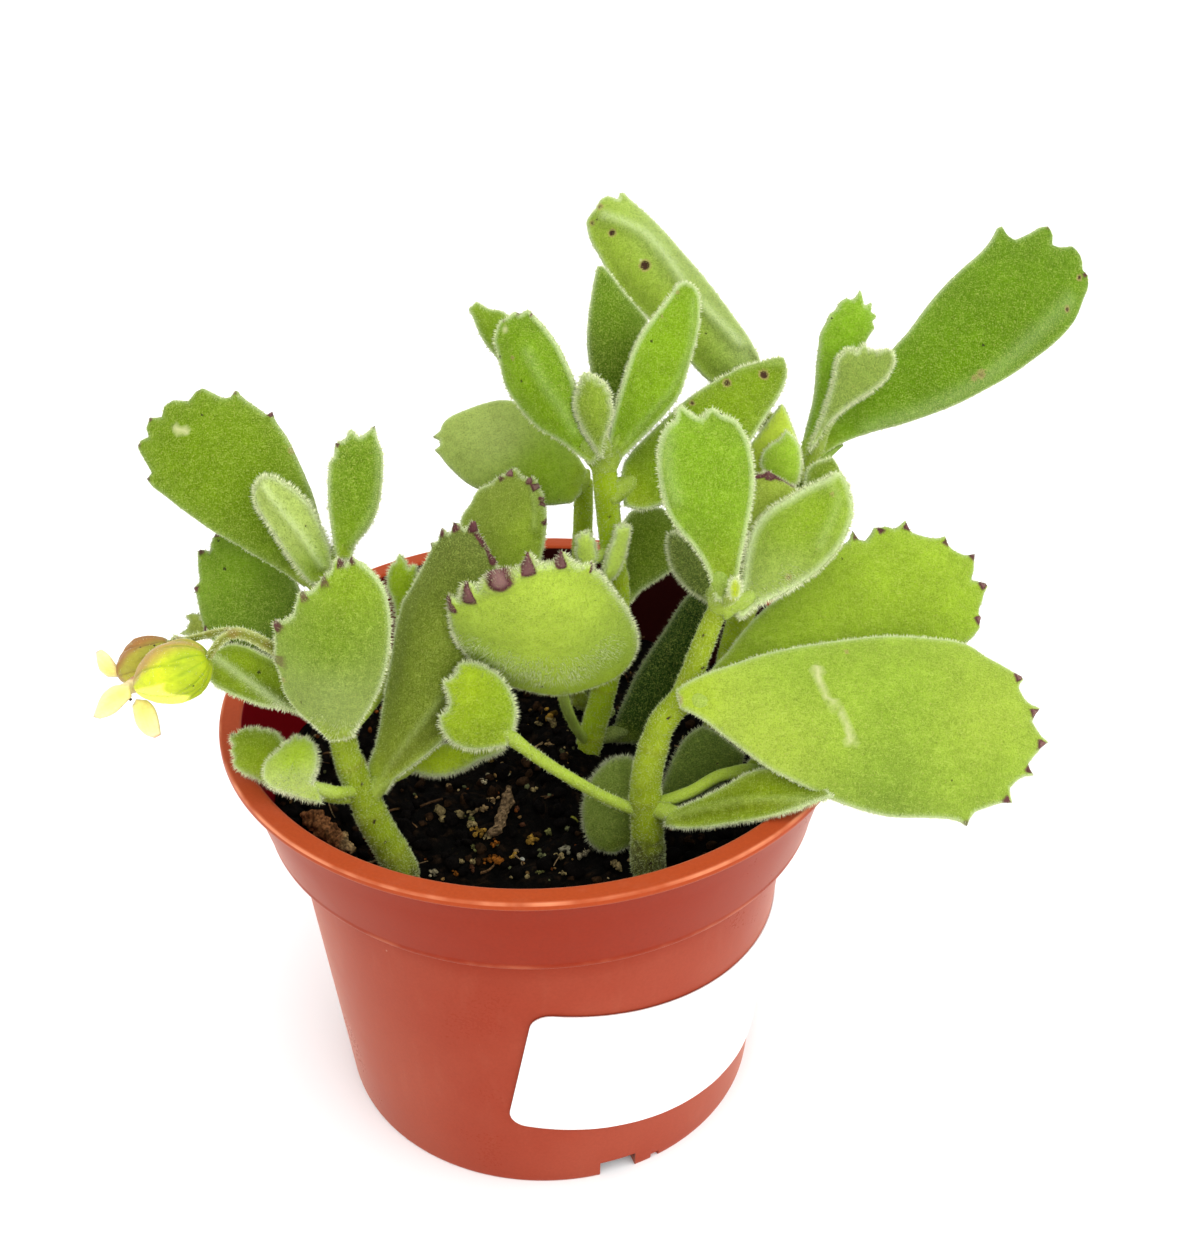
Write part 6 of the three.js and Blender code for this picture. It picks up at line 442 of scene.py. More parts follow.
def make_leaf(leaf, seed):
    at, d, w, n = leaf_frame(leaf)
    raw = np.asarray(leaf["edge"], float)
    La, Wd = raw[:, 0].max(), np.abs(raw[:, 1]).max()
    size = La * Wd
    step = 0.5 if size > 200 else 0.38 if size > 60 else 0.3
    E = outline(raw, step)
    # drop doubled points
    keep = np.r_[True, np.hypot(*(E[1:] - E[:-1]).T) > 0.05]
    E = E[keep]
    area = 0.5 * np.sum(E[:, 0] * np.roll(E[:, 1], -1) - np.roll(E[:, 0], -1) * E[:, 1])
    f_, b_ = np.roll(E, -2, 0) - E, E - np.roll(E, 2, 0)
    turnout = np.arctan2(b_[:, 0] * f_[:, 1] - b_[:, 1] * f_[:, 0], (b_ * f_).sum(1)) * np.sign(area)  # how sharply the outline points outwards
    nrm = np.roll(E, -1, 0) - np.roll(E, 1, 0)
    nrm = np.stack([-nrm[:, 1], nrm[:, 0]], 1)
    nrm /= np.maximum(np.hypot(*nrm.T), 1e-9)[:, None]
    if area < 0:
        nrm = -nrm
    for x0, y0, x1, y1, w0, w1, s in leaf.get("marks", ()):  # pulls the outline out to the tip of each tooth
        tip = np.array([x0, y0])
        q_ = np.argmin(np.hypot(*(E - tip).T))
        move = tip - E[q_]
        if w1 > 1.5 * w0 and np.hypot(*move) < 2.5:
            E = E + move * np.clip(1 - np.hypot(*(E - E[q_]).T) / (0.62 * w1 + 0.15), 0, 1)[:, None]
    if leaf.get("spike"):  # draws the teeth of this leaf out to points
        grown = E.copy()
        for x, y, r, s in leaf.get("teeth", ()):
            if r < 2.0:
                dd = np.hypot(E[:, 0] - x, E[:, 1] - y)
                c = E[np.argmin(dd)]
                grown -= nrm[np.argmin(dd)] * (leaf["spike"] * min(1, r) * np.clip(1 - np.hypot(*(E - c).T) / (1.25 * r), 0, 1) ** 1.3)[:, None]
        E = grown
    cand = []
    for k, dist in enumerate((0.16, 0.42, 0.85, 1.4)):
        c = E + nrm * dist
        if k % 2:
            c = (c + np.roll(c, -1, 0)) / 2
        if k == 3:
            c = c[::2]
        cand.append((c, dist))
    grid = 1.05 if size > 400 else 0.8 if size > 120 else 0.55
    gx, gy = np.meshgrid(np.arange(E[:, 0].min(), E[:, 0].max(), grid), np.arange(E[:, 1].min(), E[:, 1].max(), grid * 0.87))
    gx = gx + (np.arange(gx.shape[0]) % 2)[:, None] * grid / 2
    cand.append((np.stack([gx.ravel(), gy.ravel()], 1), 1.85))
    extra = []
    for c, dist in cand:
        c = c[inside(E, c)]
        if len(c):
            dd, _ = distance_to(E, c)
            c = c[dd > dist * 0.86]
            extra.append(c)
    extra = np.vstack(extra)
    zones = [(x, y, 1.5 * r, 0.34) for x, y, r, s in leaf.get("spots", ())]
    zones += [(x, y, (1.25 if r > 2 else 1.7) * r, 0.36 if r > 2 else 0.30) for x, y, r, s in leaf.get("teeth", ())]
    zones += [((x0 + x1) / 2, (y0 + y1) / 2, 0.5 * math.hypot(x1 - x0, y1 - y0) + 0.5 * max(w0, w1) + 0.3, 0.30) for x0, y0, x1, y1, w0, w1, s in leaf.get("marks", ())]
    zones += [(x, y, 0.9 * r, 0.45) for line, r in leaf.get("scars", ()) for x, y in catmull(np.array(line, float), 1.2 * r)]
    for x, y, r, gap in zones:  # finer points where the leaf has a mark
        gx, gy = np.meshgrid(np.arange(x - r, x + r, gap), np.arange(y - r, y + r, gap * 0.87))
        gx = gx + (np.arange(gx.shape[0]) % 2)[:, None] * gap / 2
        c = np.stack([gx.ravel(), gy.ravel()], 1)
        c = c[np.hypot(*(c - (x, y)).T) < r]
        c = c[inside(E, c)]
        if not len(c):
            continue
        dd, _ = distance_to(E, c)
        c = c[dd > 0.13]
        extra = np.vstack([extra[np.hypot(*(extra - (x, y)).T) > r + 0.5 * gap], c])
    pts2 = np.vstack([E, extra])
    V, _, F, _, _, _ = delaunay_2d_cdt([Vector(p) for p in pts2], [], [list(range(len(E)))], 1, 1e-5)
    V2 = np.array([tuple(v) for v in V])
    F = np.array([f for f in F if len(f) == 3])
    a2 = (V2[F[:, 1], 0] - V2[F[:, 0], 0]) * (V2[F[:, 2], 1] - V2[F[:, 0], 1]) - (V2[F[:, 2], 0] - V2[F[:, 0], 0]) * (V2[F[:, 1], 1] - V2[F[:, 0], 1])
    F[a2 < 0] = F[a2 < 0][:, [0, 2, 1]]
    used = np.unique(F)
    remap = np.full(len(V2), -1)
    remap[used] = np.arange(len(used))
    V2, F = V2[used], remap[F]
    # outline points: ends of edges used by one face
    e = np.sort(np.concatenate([F[:, [0, 1]], F[:, [1, 2]], F[:, [2, 0]]]), 1)
    key = e[:, 0] * len(V2) + e[:, 1]
    uniq, count = np.unique(key, return_counts=True)
    rim = uniq[count == 1]
    edge = np.zeros(len(V2), bool)
    edge[np.unique(np.concatenate([rim // len(V2), rim % len(V2)]))] = True
    T = leaf["thick"]
    Te = min(leaf.get("rim", 1.5), 0.75 * T)
    near = inflate(V2, F, edge, 0.55)
    broad = inflate(V2, F, edge, max(1.6, 0.45 * Wd))
    half = 0.5 * Te * np.sqrt(np.clip(near * (2 - near), 0, 1)) + 0.5 * (T - Te) * smoothstep(broad, 0, 0.75 if Wd > 6 else 0.9)
    a, b = V2[:, 0], V2[:, 1]
    u = 2 * np.clip(a, 0, La) / La - 1
    rise = leaf["bend"] * (1 - u * u) - leaf["cup"] * (b / Wd) ** 2
    away, _ = distance_to(E, V2)
    wob = fbm(np.stack([a, b, np.full(len(a), 7.0 * seed)], 1), 6.5, 2, seed)
    rise = rise + 0.22 * wob * smoothstep(away, 0, 3) * min(1, T / 4)
    front = np.zeros(len(a))  # what only the seen face has
    innerside = np.zeros(len(a))
    ridge_fuzz_and_highlight = np.zeros(len(a))
    for r in leaf.get("ridges", ()):
        line = catmull(np.array(r["line"], float), 0.6)
        dist, side = distance_to(line, V2, closed=False)
        fade = 1.0
        front += r["h"] * np.exp(-((dist / r["w"]) ** 2)) * fade
        s_in = side * r["inner"] > 0
        front -= np.where(s_in, r["din"] * smoothstep(dist, r["w"] * 0.5, r["wd"]), r["dout"] * smoothstep(dist, r["w"] * 0.5, r["wd"])) * smoothstep(away, 0, 1.2)
        innerside = np.maximum(innerside, np.where(s_in, smoothstep(dist, 0, 0.8), 0))
        # pale ridge crests: fuzz along the fold with a painted highlight
        ridge_fuzz_and_highlight = np.maximum(ridge_fuzz_and_highlight, r.get("pale", 0.12) * np.exp(-((dist / (r["w"] * 0.9)) ** 2)))
    tooth, scar, spot = np.zeros(len(a)), np.zeros(len(a)), np.zeros(len(a))
    for x, y, r, s in leaf.get("teeth", ()):
        if r > 2.0:  # a broad blunt one
            dd = np.hypot((a - x) * leaf.get("blunt", 1.0), b - y) + 0.12 * np.sin(3 * a) * np.sin(2.3 * b)
            tooth = np.maximum(tooth, s * (1 - smoothstep(dd, r * 0.10, r * 1.10)))
            front += 0.55 * np.sqrt(np.clip(1 - (dd / (1.05 * r)) ** 2, 0, 1))
            continue
        near_ = np.argmin(np.hypot(E[:, 0] - x, E[:, 1] - y) - 0.35 * turnout)
        tip_ = E[near_]
        inwards = unit(E[(near_ - 3) % len(E)] + E[(near_ + 3) % len(E)] - 2 * tip_ + 1e-6)
        q_ = V2 - tip_
        s_ = q_ @ inwards
        t_ = np.abs(q_ @ np.array([-inwards[1], inwards[0]]))
        far = 1.9 * r
        m_ = (1 - smoothstep(s_, far * 0.40, far)) * (1 - smoothstep(t_, 0.22 * r + 0.32 * np.maximum(s_, 0), 0.48 * r + 0.42 * np.maximum(s_, 0)))
        m_ = m_ * (s_ > -0.6) * (np.hypot(*q_.T) < 2.4 * r)
        tooth = np.maximum(tooth, s * m_)
    for x0, y0, x1, y1, w0, w1, s in leaf.get("marks", ()):  # a purple tooth, from its tip to its root
        q_ = V2 - (x0, y0)
        run = np.array([x1 - x0, y1 - y0])
        L_ = np.hypot(*run)
        t_ = q_ @ run / L_**2
        d_ = np.abs(q_ @ np.array([-run[1], run[0]])) / L_
        half_ = 0.5 * (w0 + (w1 - w0) * np.clip(t_, 0, 1))
        m_ = (1 - smoothstep(d_, half_ - 0.20, half_ + 0.18)) * (1 - smoothstep(t_ + 0.12 * (d_ / np.maximum(half_, 0.1)) ** 2, 0.70, 1.12)) * (t_ > -0.9 / L_)
        tooth = np.maximum(tooth, s * m_)
        front += 0.18 * m_
    for line, r in leaf.get("scars", ()):
        dd, _ = distance_to(catmull(np.array(line, float), 0.4), V2, closed=False)
        scar = np.maximum(scar, 1 - smoothstep(dd, r * 0.2, r))
        front += 0.16 * np.exp(-((dd / (r * 0.55)) ** 2)) - 0.2 * np.exp(-(((dd - r) / (r * 0.5)) ** 2))
    for x, y, r, s in leaf.get("spots", ()):
        dd = np.hypot(a - x, b - y)
        k = 1 - smoothstep(dd, r * 0.15, r)
        if s > 0:
            spot = np.maximum(spot, s * k)
            front += 0.16 * s * np.exp(-(((dd - 0.8 * r) / (0.3 * r)) ** 2)) - 0.16 * s * np.exp(-((dd / (0.5 * r)) ** 2))
        else:
            scar = np.maximum(scar, -s * k)
    over = at + a[:, None] * d + b[:, None] * w
    top = over + (rise + half + front * smoothstep(away, 0.0, 0.6))[:, None] * n
    low = over + (rise - half)[:, None] * n
    nv = len(V2)
    # the two faces share the outline
    under = np.where(edge, np.arange(nv), nv + np.cumsum(~edge) - 1)
    pts = np.vstack([top, low[~edge]])
    pts[:nv][edge] = (over + rise[:, None] * n)[edge]
    Fl = under[F][:, [0, 2, 1]]
    tri = np.vstack([F, Fl])
    m = ~edge
    tf = tints(leaf, V2, La)
    tb = np.broadcast_to(np.array(PALETTE[leaf["back"]]), (nv, 3))
    # painted light and shade: each leaf's own tone is scaled for how lit it is, and back faces take one green, darker
    # for leaves in shade
    tf, tb = tf * np.array(leaf.get("tone_and_painted_light", (1, 1, 1))), tb * np.array(leaf.get("tone_and_painted_light", (1, 1, 1)))
    base_mix = smoothstep(a, -0.5, 0.16 * La)[:, None]
    # the stalk green, darkened on leaves in shade: painted shade
    stalk = np.array(PALETTE["lime"]) * np.array(leaf.get("stalk_tone_and_painted_shade", (1, 1, 1)))
    tf = tf * (0.25 + 0.75 * base_mix) + stalk * (0.75 - 0.75 * base_mix)
    tb = tb * (0.25 + 0.75 * base_mix) + stalk * (0.75 - 0.75 * base_mix)
    # a pale band inside the outline: painted sheen
    painted_sheen = (leaf.get("painted_sheen", 0.13) * np.exp(-away / 1.1))[:, None]
    tf = tf * (1 - painted_sheen) + np.array((0.40, 0.48, 0.17)) * painted_sheen
    both = lambda x, y=None: np.concatenate([x, (x if y is None else y)[m]])
    P = Parts("tint", "rim", "tooth", "scar", "spot")
    # pale edges on both faces and pale ridge crests: the leaf's white fuzz, with painted sheen along the edges and a
    # painted highlight on the crests
    back_fuzz_and_sheen = (1 - smoothstep(away, 0.05, leaf.get("band", 0.55))) * leaf.get("edge_fuzz_and_sheen", 0.7)
    fuzz_sheen_and_highlight = np.maximum(back_fuzz_and_sheen, ridge_fuzz_and_highlight)
    P.add(pts, tri, tint=both(tf, tb), rim=both(fuzz_sheen_and_highlight, back_fuzz_and_sheen), tooth=both(tooth), scar=both(scar, scar * 0), spot=both(spot, spot * 0))
    nearby = np.exp(-away / 0.5)
    tuft, long_ = np.zeros(nv), np.zeros(nv)
    for x, y, r, more, longer in leaf.get("tufts", ()):
        k = np.exp(-(((a - x) ** 2 + (b - y) ** 2) / r**2))
        tuft, long_ = np.maximum(tuft, more * k), np.maximum(long_, longer * k)
    bare = 1 - 0.75 * np.clip(tooth, 0, 1)
    hair_w = np.concatenate([(0.7 + 5.0 * nearby + 1.6 * ridge_fuzz_and_highlight + tuft) * bare, ((0.26 + 4.2 * nearby) * bare)[m]])
    hair_len = np.concatenate([0.80 + 0.30 * nearby + 0.30 * ridge_fuzz_and_highlight + long_, (0.8 + 0.30 * nearby + long_)[m]])
    c_ = V2 - np.array([0.45 * La, 0.0])
    comb = (c_[:, 0] / La + 0.25)[:, None] * d + (c_[:, 1] / Wd)[:, None] * w * 0.9
    comb /= np.maximum(np.linalg.norm(comb, axis=1), 1e-6)[:, None]
    out2 = np.zeros((nv, 2))
    for c0 in range(0, nv, 800):
        out2[c0 : c0 + 800] = -nrm[np.argmin(np.hypot(V2[c0 : c0 + 800, None, 0] - E[None, :, 0], V2[c0 : c0 + 800, None, 1] - E[None, :, 1]), axis=1)]
    turn = np.clip(nearby, 0, 1)[:, None]
    comb = comb * 0.7 * (1 - turn) + (out2[:, :1] * d + out2[:, 1:] * w) * 2.2 * turn
    comb = comb * (1 - 0.8 * np.clip(tuft / 2, 0, 1))[:, None]  # tufted hair stands up
    comb = np.vstack([comb, comb[m]])
    # hairs of leaves in shade are darkened: painted shade
    painted_shade = leaf.get("painted_shade", 1.0)
    hair = [(P.p[0].copy(), tri, hair_w, hair_len, both(tooth), comb, both(np.clip(nearby + 0.5 * (tuft > 0.5) * np.clip(tuft, 0, 1), 0, 1)), painted_shade)]
    # stalk of the leaf: a round tube from the stem that flattens and sinks into the blade as its midrib
    path = np.asarray(leaf["petiole"], float) + np.array(leaf.get("swing", (0, 0, 0)))
    rad = np.asarray(leaf["petioleRadius"], float)
    into = min(7.0, 0.26 * La)
    ext = at + d * into + n * (leaf["bend"] * (1 - (2 * into / La - 1) ** 2) - 0.20 * T - leaf.get("sink", 0.0))
    line = np.vstack([path[:-1], path[-1] + n * (leaf["bend"] * 0.3), ext])
    vals = np.concatenate([rad, [rad[-1]]])
    line, vals = catmull(line, 0.55, vals)
    s = np.linalg.norm(np.diff(line, axis=0), axis=1)
    s = np.r_[0, np.cumsum(s)]
    blade_at = s[-1] - into
    f = smoothstep(s, blade_at - 2.5, s[-1])
    vals = vals * leaf.get("slim", 1.0)
    wide = vals * (1 + 0.35 * smoothstep(s, blade_at - 3, blade_at)) * (1 - 0.55 * f)
    high = np.minimum(vals, 0.6 * T) * (1 - 0.72 * smoothstep(s, blade_at, s[-1]))
    flare = 1 + 0.35 * np.exp(-((s / 1.2) ** 2))
    sp, st, sq = sweep(line, wide * flare, high * flare, w, sides=14)
    k = smoothstep(np.repeat(s, 14), blade_at - 3, s[-1])[:, None]
    stint = stalk * (1 - k) + tf.mean(0) * k
    stint = np.vstack([stint, stint[:1], stint[-1:]])
    P.add(sp, st, sq, tint=stint, rim=0.12)
    t2 = np.vstack([st, sq[:, [0, 1, 2]], sq[:, [0, 2, 3]]])
    hl = np.concatenate([1.0 - 0.35 * smoothstep(np.repeat(s, 14), blade_at, s[-1]), [1, 1]])
    hair.append((sp, t2, 1.2 * hl, 0.62 * hl, np.zeros(len(sp)), np.tile(d * 0.35, (len(sp), 1)), np.full(len(sp), leaf.get("stalkpale", 0.5)), painted_shade))
    ob = P.build(leaf["name"] + "_leaf", material=MAT["leaf"], slot=leaf.get("slot", "leaf"))
    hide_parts(leaf["name"])
    return hair


def hairs(parts, sources, length, density, rng, thick=0.033):
    """Fine tapering hairs over triangles. sources: points, triangles, then at each point the weight, length factor,
    purple mask, combing direction and paleness, then an optional painted shade that darkens the hairs of a leaf in
    shadow.
    """
    total = 0
    for pts, tri, weight, lf, mask, comb, pale, *painted_shade in sources:
        A, B, C = pts[tri[:, 0]], pts[tri[:, 1]], pts[tri[:, 2]]
        nr = np.cross(B - A, C - A)
        ar = np.linalg.norm(nr, axis=1) / 2
        ok = ar > 1e-7
        wt = ar * weight[tri].mean(1) * ok
        count = int(density * wt.sum())
        if count < 1:
            continue
        pick = rng.choice(len(tri), count, p=wt / wt.sum())
        r1, r2 = np.sqrt(rng.random(count)), rng.random(count)
        bary = np.stack([1 - r1, r1 * (1 - r2), r1 * r2], 1)
        corner = tri[pick]
        blend = lambda x: (x[corner] * (bary[:, :, None] if x.ndim == 2 else bary)).sum(1)
        root = blend(pts)
        vn = np.zeros_like(pts)
        for c in range(3):
            np.add.at(vn, tri[:, c], nr)
        vn /= np.maximum(np.linalg.norm(vn, axis=1), 1e-12)[:, None]
        N = blend(vn)
        N /= np.maximum(np.linalg.norm(N, axis=1), 1e-9)[:, None]
        flow = blend(comb)
        p_ = blend(pale)
        way = N + flow + 0.26 * rng.normal(size=N.shape)
        way /= np.linalg.norm(way, axis=1)[:, None]
        L = length * blend(lf) * (0.55 + 0.75 * rng.random(count))
        R = thick * (0.75 + 0.5 * rng.random(count)) * (1 + 0.75 * p_)
        side = np.cross(way, rng.normal(size=way.shape))
        side /= np.maximum(np.linalg.norm(side, axis=1), 1e-9)[:, None]
        up = np.cross(way, side)
        root = root - N * 0.05
        P = np.empty((count, 4, 3))
        for k in range(3):
            an = 2 * np.pi * k / 3
            P[:, k] = root + R[:, None] * (math.cos(an) * side + math.sin(an) * up)
        P[:, 3] = root + way * L[:, None]
        idx = np.arange(count)[:, None] * 4
        T = np.concatenate([idx + [0, 1, 3], idx + [1, 2, 3], idx + [2, 0, 3], idx + [0, 2, 1]]).reshape(-1, 3)
        mk = blend(mask)[:, None]
        q_ = np.clip(p_, 0, 1)[:, None]
        col = HAIR_FACE * (1 - q_) + HAIR_EDGE * q_
        # darker hairs on leaves in shade: painted shade
        col = col * (0.86 + 0.28 * rng.random((count, 1))) * (painted_shade[0] if painted_shade else 1.0)
        col = col * (1 - 0.55 * mk) + np.array((0.30, 0.14, 0.18)) * 0.55 * mk
        parts.add(P.reshape(-1, 3), T, tint=np.repeat(col, 4, 0))
        total += count
    return total


# ---------------------------------------------------------------- materials
class Nodes:
    """A node material, built up node by node."""

    def __init__(self, name):
        self.mat = bpy.data.materials.new(name)
        self.mat.use_nodes = True
        self.nt = self.mat.node_tree
        self.nt.nodes.clear()
        self.out = self.new("ShaderNodeOutputMaterial")
        self.co = self.new("ShaderNodeTexCoord").outputs["Object"]

    def new(self, kind, props=None, **inputs):
        n = self.nt.nodes.new(kind)
        for k, v in (props or {}).items():
            setattr(n, k, v)
        for k, v in inputs.items():
            self.put(n.inputs[k.replace("_", " ")], v)
        return n

    def put(self, socket, v):
        if isinstance(v, bpy.types.NodeSocket):
            self.nt.links.new(v, socket)
        else:
            socket.default_value = v

    def attr(self, name, colour=False):
        n = self.new("ShaderNodeAttribute", {"attribute_name": name, "attribute_type": "GEOMETRY"})
        return n.outputs["Color" if colour else "Fac"]

    def scaled(self, sx, sy, sz):
        m = self.new("ShaderNodeMapping", Vector=self.co)
        m.inputs["Scale"].default_value = (sx, sy, sz)
        return m.outputs[0]

    def noise(self, size_mm, detail=2.0, rough=0.5, vector=None, distortion=0.0):
        n = self.new("ShaderNodeTexNoise", Vector=vector or self.co, Scale=1000.0 / size_mm, Detail=detail, Roughness=rough, Distortion=distortion)
        return n.outputs["Fac"]

    def voronoi(self, size_mm, feature="F1", vector=None, randomness=1.0, out="Distance"):
        n = self.new("ShaderNodeTexVoronoi", {"feature": feature}, Vector=vector or self.co, Scale=1000.0 / size_mm, Randomness=randomness)
        return n.outputs[out]

    def ramp(self, v, a, b, lo=0.0, hi=1.0, smooth=True):
        n = self.new("ShaderNodeMapRange", {"interpolation_type": "SMOOTHSTEP" if smooth else "LINEAR"})
        for k, x in zip((0, 1, 2, 3, 4), (v, a, b, lo, hi)):
            self.put(n.inputs[k], x)
        return n.outputs[0]

    def math(self, op, a, b=0.0, clamp=False):
        n = self.new("ShaderNodeMath", {"operation": op, "use_clamp": clamp})
        self.put(n.inputs[0], a)
        self.put(n.inputs[1], b)
        return n.outputs[0]

    def mix(self, fac, a, b, blend="MIX"):
        n = self.new("ShaderNodeMix", {"data_type": "RGBA", "blend_type": blend, "clamp_result": False})
        self.put(n.inputs[0], fac)
        for i, x in ((6, a), (7, b)):
            self.put(n.inputs[i], x if isinstance(x, bpy.types.NodeSocket) else (*x, 1.0))
        return n.outputs[2]

    def gain(self, colour, value):
        """A colour times a number."""
        n = self.new("ShaderNodeVectorMath", {"operation": "SCALE"})
        self.put(n.inputs[0], colour)
        self.put(n.inputs["Scale"], value)
        return n.outputs[0]

    def bump(self, height, strength, distance_mm, normal=None):
        n = self.new("ShaderNodeBump", Height=height, Strength=strength, Distance=distance_mm * MM)
        if normal:
            self.put(n.inputs["Normal"], normal)
        return n.outputs[0]

    def surface(self, colour, roughness, normal=None, **sockets):
        b = self.new("ShaderNodeBsdfPrincipled")
        self.put(b.inputs["Base Color"], colour)
        self.put(b.inputs["Roughness"], roughness)
        if normal:
            self.put(b.inputs["Normal"], normal)
        for k, v in sockets.items():
            self.put(b.inputs[k.replace("_", " ")], v)
        self.nt.links.new(b.outputs[0], self.out.inputs["Surface"])
        return self.mat


MAT = {}


def leaf_material():
    m = Nodes("felted_leaf")
    tint = m.attr("tint", True)
    rim, tooth, scar, spot = (m.attr(k) for k in ("rim", "tooth", "scar", "spot"))
    broad = m.noise(8.0, 2.0)
    mottle = m.noise(1.5, 3.0, 0.6)
    grain = m.noise(0.19, 2.0, 0.6)
    fibre = m.noise(0.46, 2.0, 0.7, m.scaled(0.55, 1.7, 0.9), 1.6)
    cross = m.noise(0.46, 2.0, 0.7, m.scaled(1.6, 0.9, 0.5), 1.6)
    c = m.gain(tint, m.ramp(broad, 0.25, 0.75, 0.91, 1.09))
    c = m.gain(c, m.ramp(mottle, 0.2, 0.8, 0.90, 1.09))
    c = m.gain(c, m.ramp(m.math("MAXIMUM", fibre, cross), 0.40, 0.58, 0.76, 1.0))
    strand = m.math("MAXIMUM", m.ramp(fibre, 0.55, 0.68), m.ramp(cross, 0.56, 0.69))
    c = m.mix(m.math("MULTIPLY", strand, 0.27), c, (0.46, 0.56, 0.12))
    c = m.mix(m.math("MULTIPLY", m.ramp(grain, 0.52, 0.70), 0.20), c, (0.44, 0.58, 0.08))
    c = m.mix(m.math("MULTIPLY", m.ramp(grain, 0.46, 0.30), 0.30), c, (0.024, 0.050, 0.001))
    # pale leaf edges and ridge crests: the white fuzz, with painted sheen and painted highlight
    edge = m.math("MULTIPLY", rim, m.ramp(grain, 0.3, 0.6, 0.45, 1.0))
    c = m.mix(edge, c, (0.60, 0.70, 0.38))
    purple = m.mix(m.ramp(mottle, 0.35, 0.7), (0.060, 0.016, 0.020), (0.115, 0.036, 0.042))
    purple = m.mix(m.math("MULTIPLY", m.ramp(tooth, 0.70, 1.0), 0.80), purple, (0.24, 0.13, 0.115))
    c = m.mix(m.ramp(m.math("ADD", tooth, m.ramp(grain, 0.2, 0.8, -0.14, 0.14)), 0.10, 0.68), c, purple)
    c = m.mix(m.math("MULTIPLY", scar, m.ramp(mottle, 0.25, 0.6, 0.45, 0.95)), c, (0.50, 0.52, 0.24))
    cork = m.math("ADD", spot, m.ramp(grain, 0.2, 0.8, -0.22, 0.22))
    c = m.mix(m.math("MULTIPLY", m.ramp(cork, 0.08, 0.26), 0.55), c, (0.34, 0.24, 0.10))
    c = m.mix(m.ramp(cork, 0.34, 0.70), c, (0.050, 0.024, 0.012))
    crumb = m.new("ShaderNodeTexVoronoi", {"feature": "F1"}, Vector=m.co, Scale=1000.0 / 3.6, Randomness=1.0)
    kind = m.new("ShaderNodeTexWhiteNoise", {"noise_dimensions": "3D"}, Vector=crumb.outputs["Position"])
    near = m.math("LESS_THAN", m.math("ADD", crumb.outputs["Distance"], m.ramp(grain, 0.3, 0.7, -0.03, 0.03)), m.ramp(kind.outputs["Value"], 0.0, 0.30, 0.085, 0.03))
    some = m.math("LESS_THAN", kind.outputs["Value"], 0.30)
    c = m.mix(m.math("MULTIPLY", m.math("MULTIPLY", near, some), 0.85), c, (0.022, 0.015, 0.006))
    n = m.bump(mottle, 0.28, 0.5)
    n = m.bump(m.math("ADD", grain, m.math("MAXIMUM", fibre, cross)), 0.60, 0.18, n)
    return m.surface(c, m.ramp(grain, 0.3, 0.7, 0.72, 0.55), n, Specular_IOR_Level=0.07, Sheen_Weight=0.14, Sheen_Roughness=0.28, Sheen_Tint=(0.84, 0.94, 0.50, 1.0))


def hair_material():
    m = Nodes("white_down")
    tint = m.attr("tint", True)
    c = m.gain(tint, m.ramp(m.noise(0.4, 2.0), 0.25, 0.75, 0.85, 1.1))
    return m.surface(c, m.ramp(m.noise(0.2, 1.0), 0.3, 0.7, 0.5, 0.7), None, Specular_IOR_Level=0.15)


def stem_material():
    m = Nodes("downy_stem")
    tint = m.attr("tint", True)
    spot = m.attr("spot")
    mottle = m.noise(1.4, 3.0, 0.6)
    grain = m.noise(0.26, 2.0, 0.65)
    along = m.noise(0.55, 2.0, 0.6, m.scaled(1.8, 1.8, 0.3))
    c = m.gain(tint, m.ramp(m.noise(4.0, 2.0), 0.25, 0.75, 0.85, 1.12))
    c = m.mix(m.math("MULTIPLY", m.ramp(along, 0.5, 0.7), 0.30), c, (0.50, 0.60, 0.10))
    c = m.mix(m.math("MULTIPLY", m.ramp(grain, 0.5, 0.7), 0.25), c, (0.54, 0.64, 0.20))
    c = m.mix(m.math("MULTIPLY", m.ramp(mottle, 0.42, 0.25), 0.45), c, (0.15, 0.19, 0.01))
    c = m.mix(m.ramp(m.math("ADD", spot, m.ramp(grain, 0.2, 0.8, -0.25, 0.25)), 0.25, 0.6), c, (0.035, 0.018, 0.008))
    n = m.bump(m.math("ADD", along, grain), 0.6, 0.2)
    return m.surface(c, m.ramp(grain, 0.3, 0.7, 0.7, 0.5), n, Specular_IOR_Level=0.15, Sheen_Weight=0.15, Sheen_Roughness=0.3, Sheen_Tint=(0.85, 0.95, 0.55, 1.0))


def flower_material():
    m = Nodes("petal_skin")
    tint = m.attr("tint", True)
    spot = m.attr("spot")
    mottle = m.noise(1.2, 3.0, 0.6)
    vein = m.noise(0.35, 3.0, 0.6, m.scaled(0.5, 1.6, 1.6))
    c = m.gain(tint, m.ramp(mottle, 0.25, 0.75, 0.90, 1.08))
    c = m.gain(c, m.ramp(vein, 0.3, 0.7, 0.93, 1.05))
    c = m.mix(m.ramp(spot, 0.35, 0.7), c, (0.025, 0.018, 0.008))
    n = m.bump(vein, 0.25, 0.12)
    return m.surface(c, m.ramp(mottle, 0.3, 0.7, 0.40, 0.55), n, Specular_IOR_Level=0.18, Sheen_Weight=0.10, Sheen_Roughness=0.3)


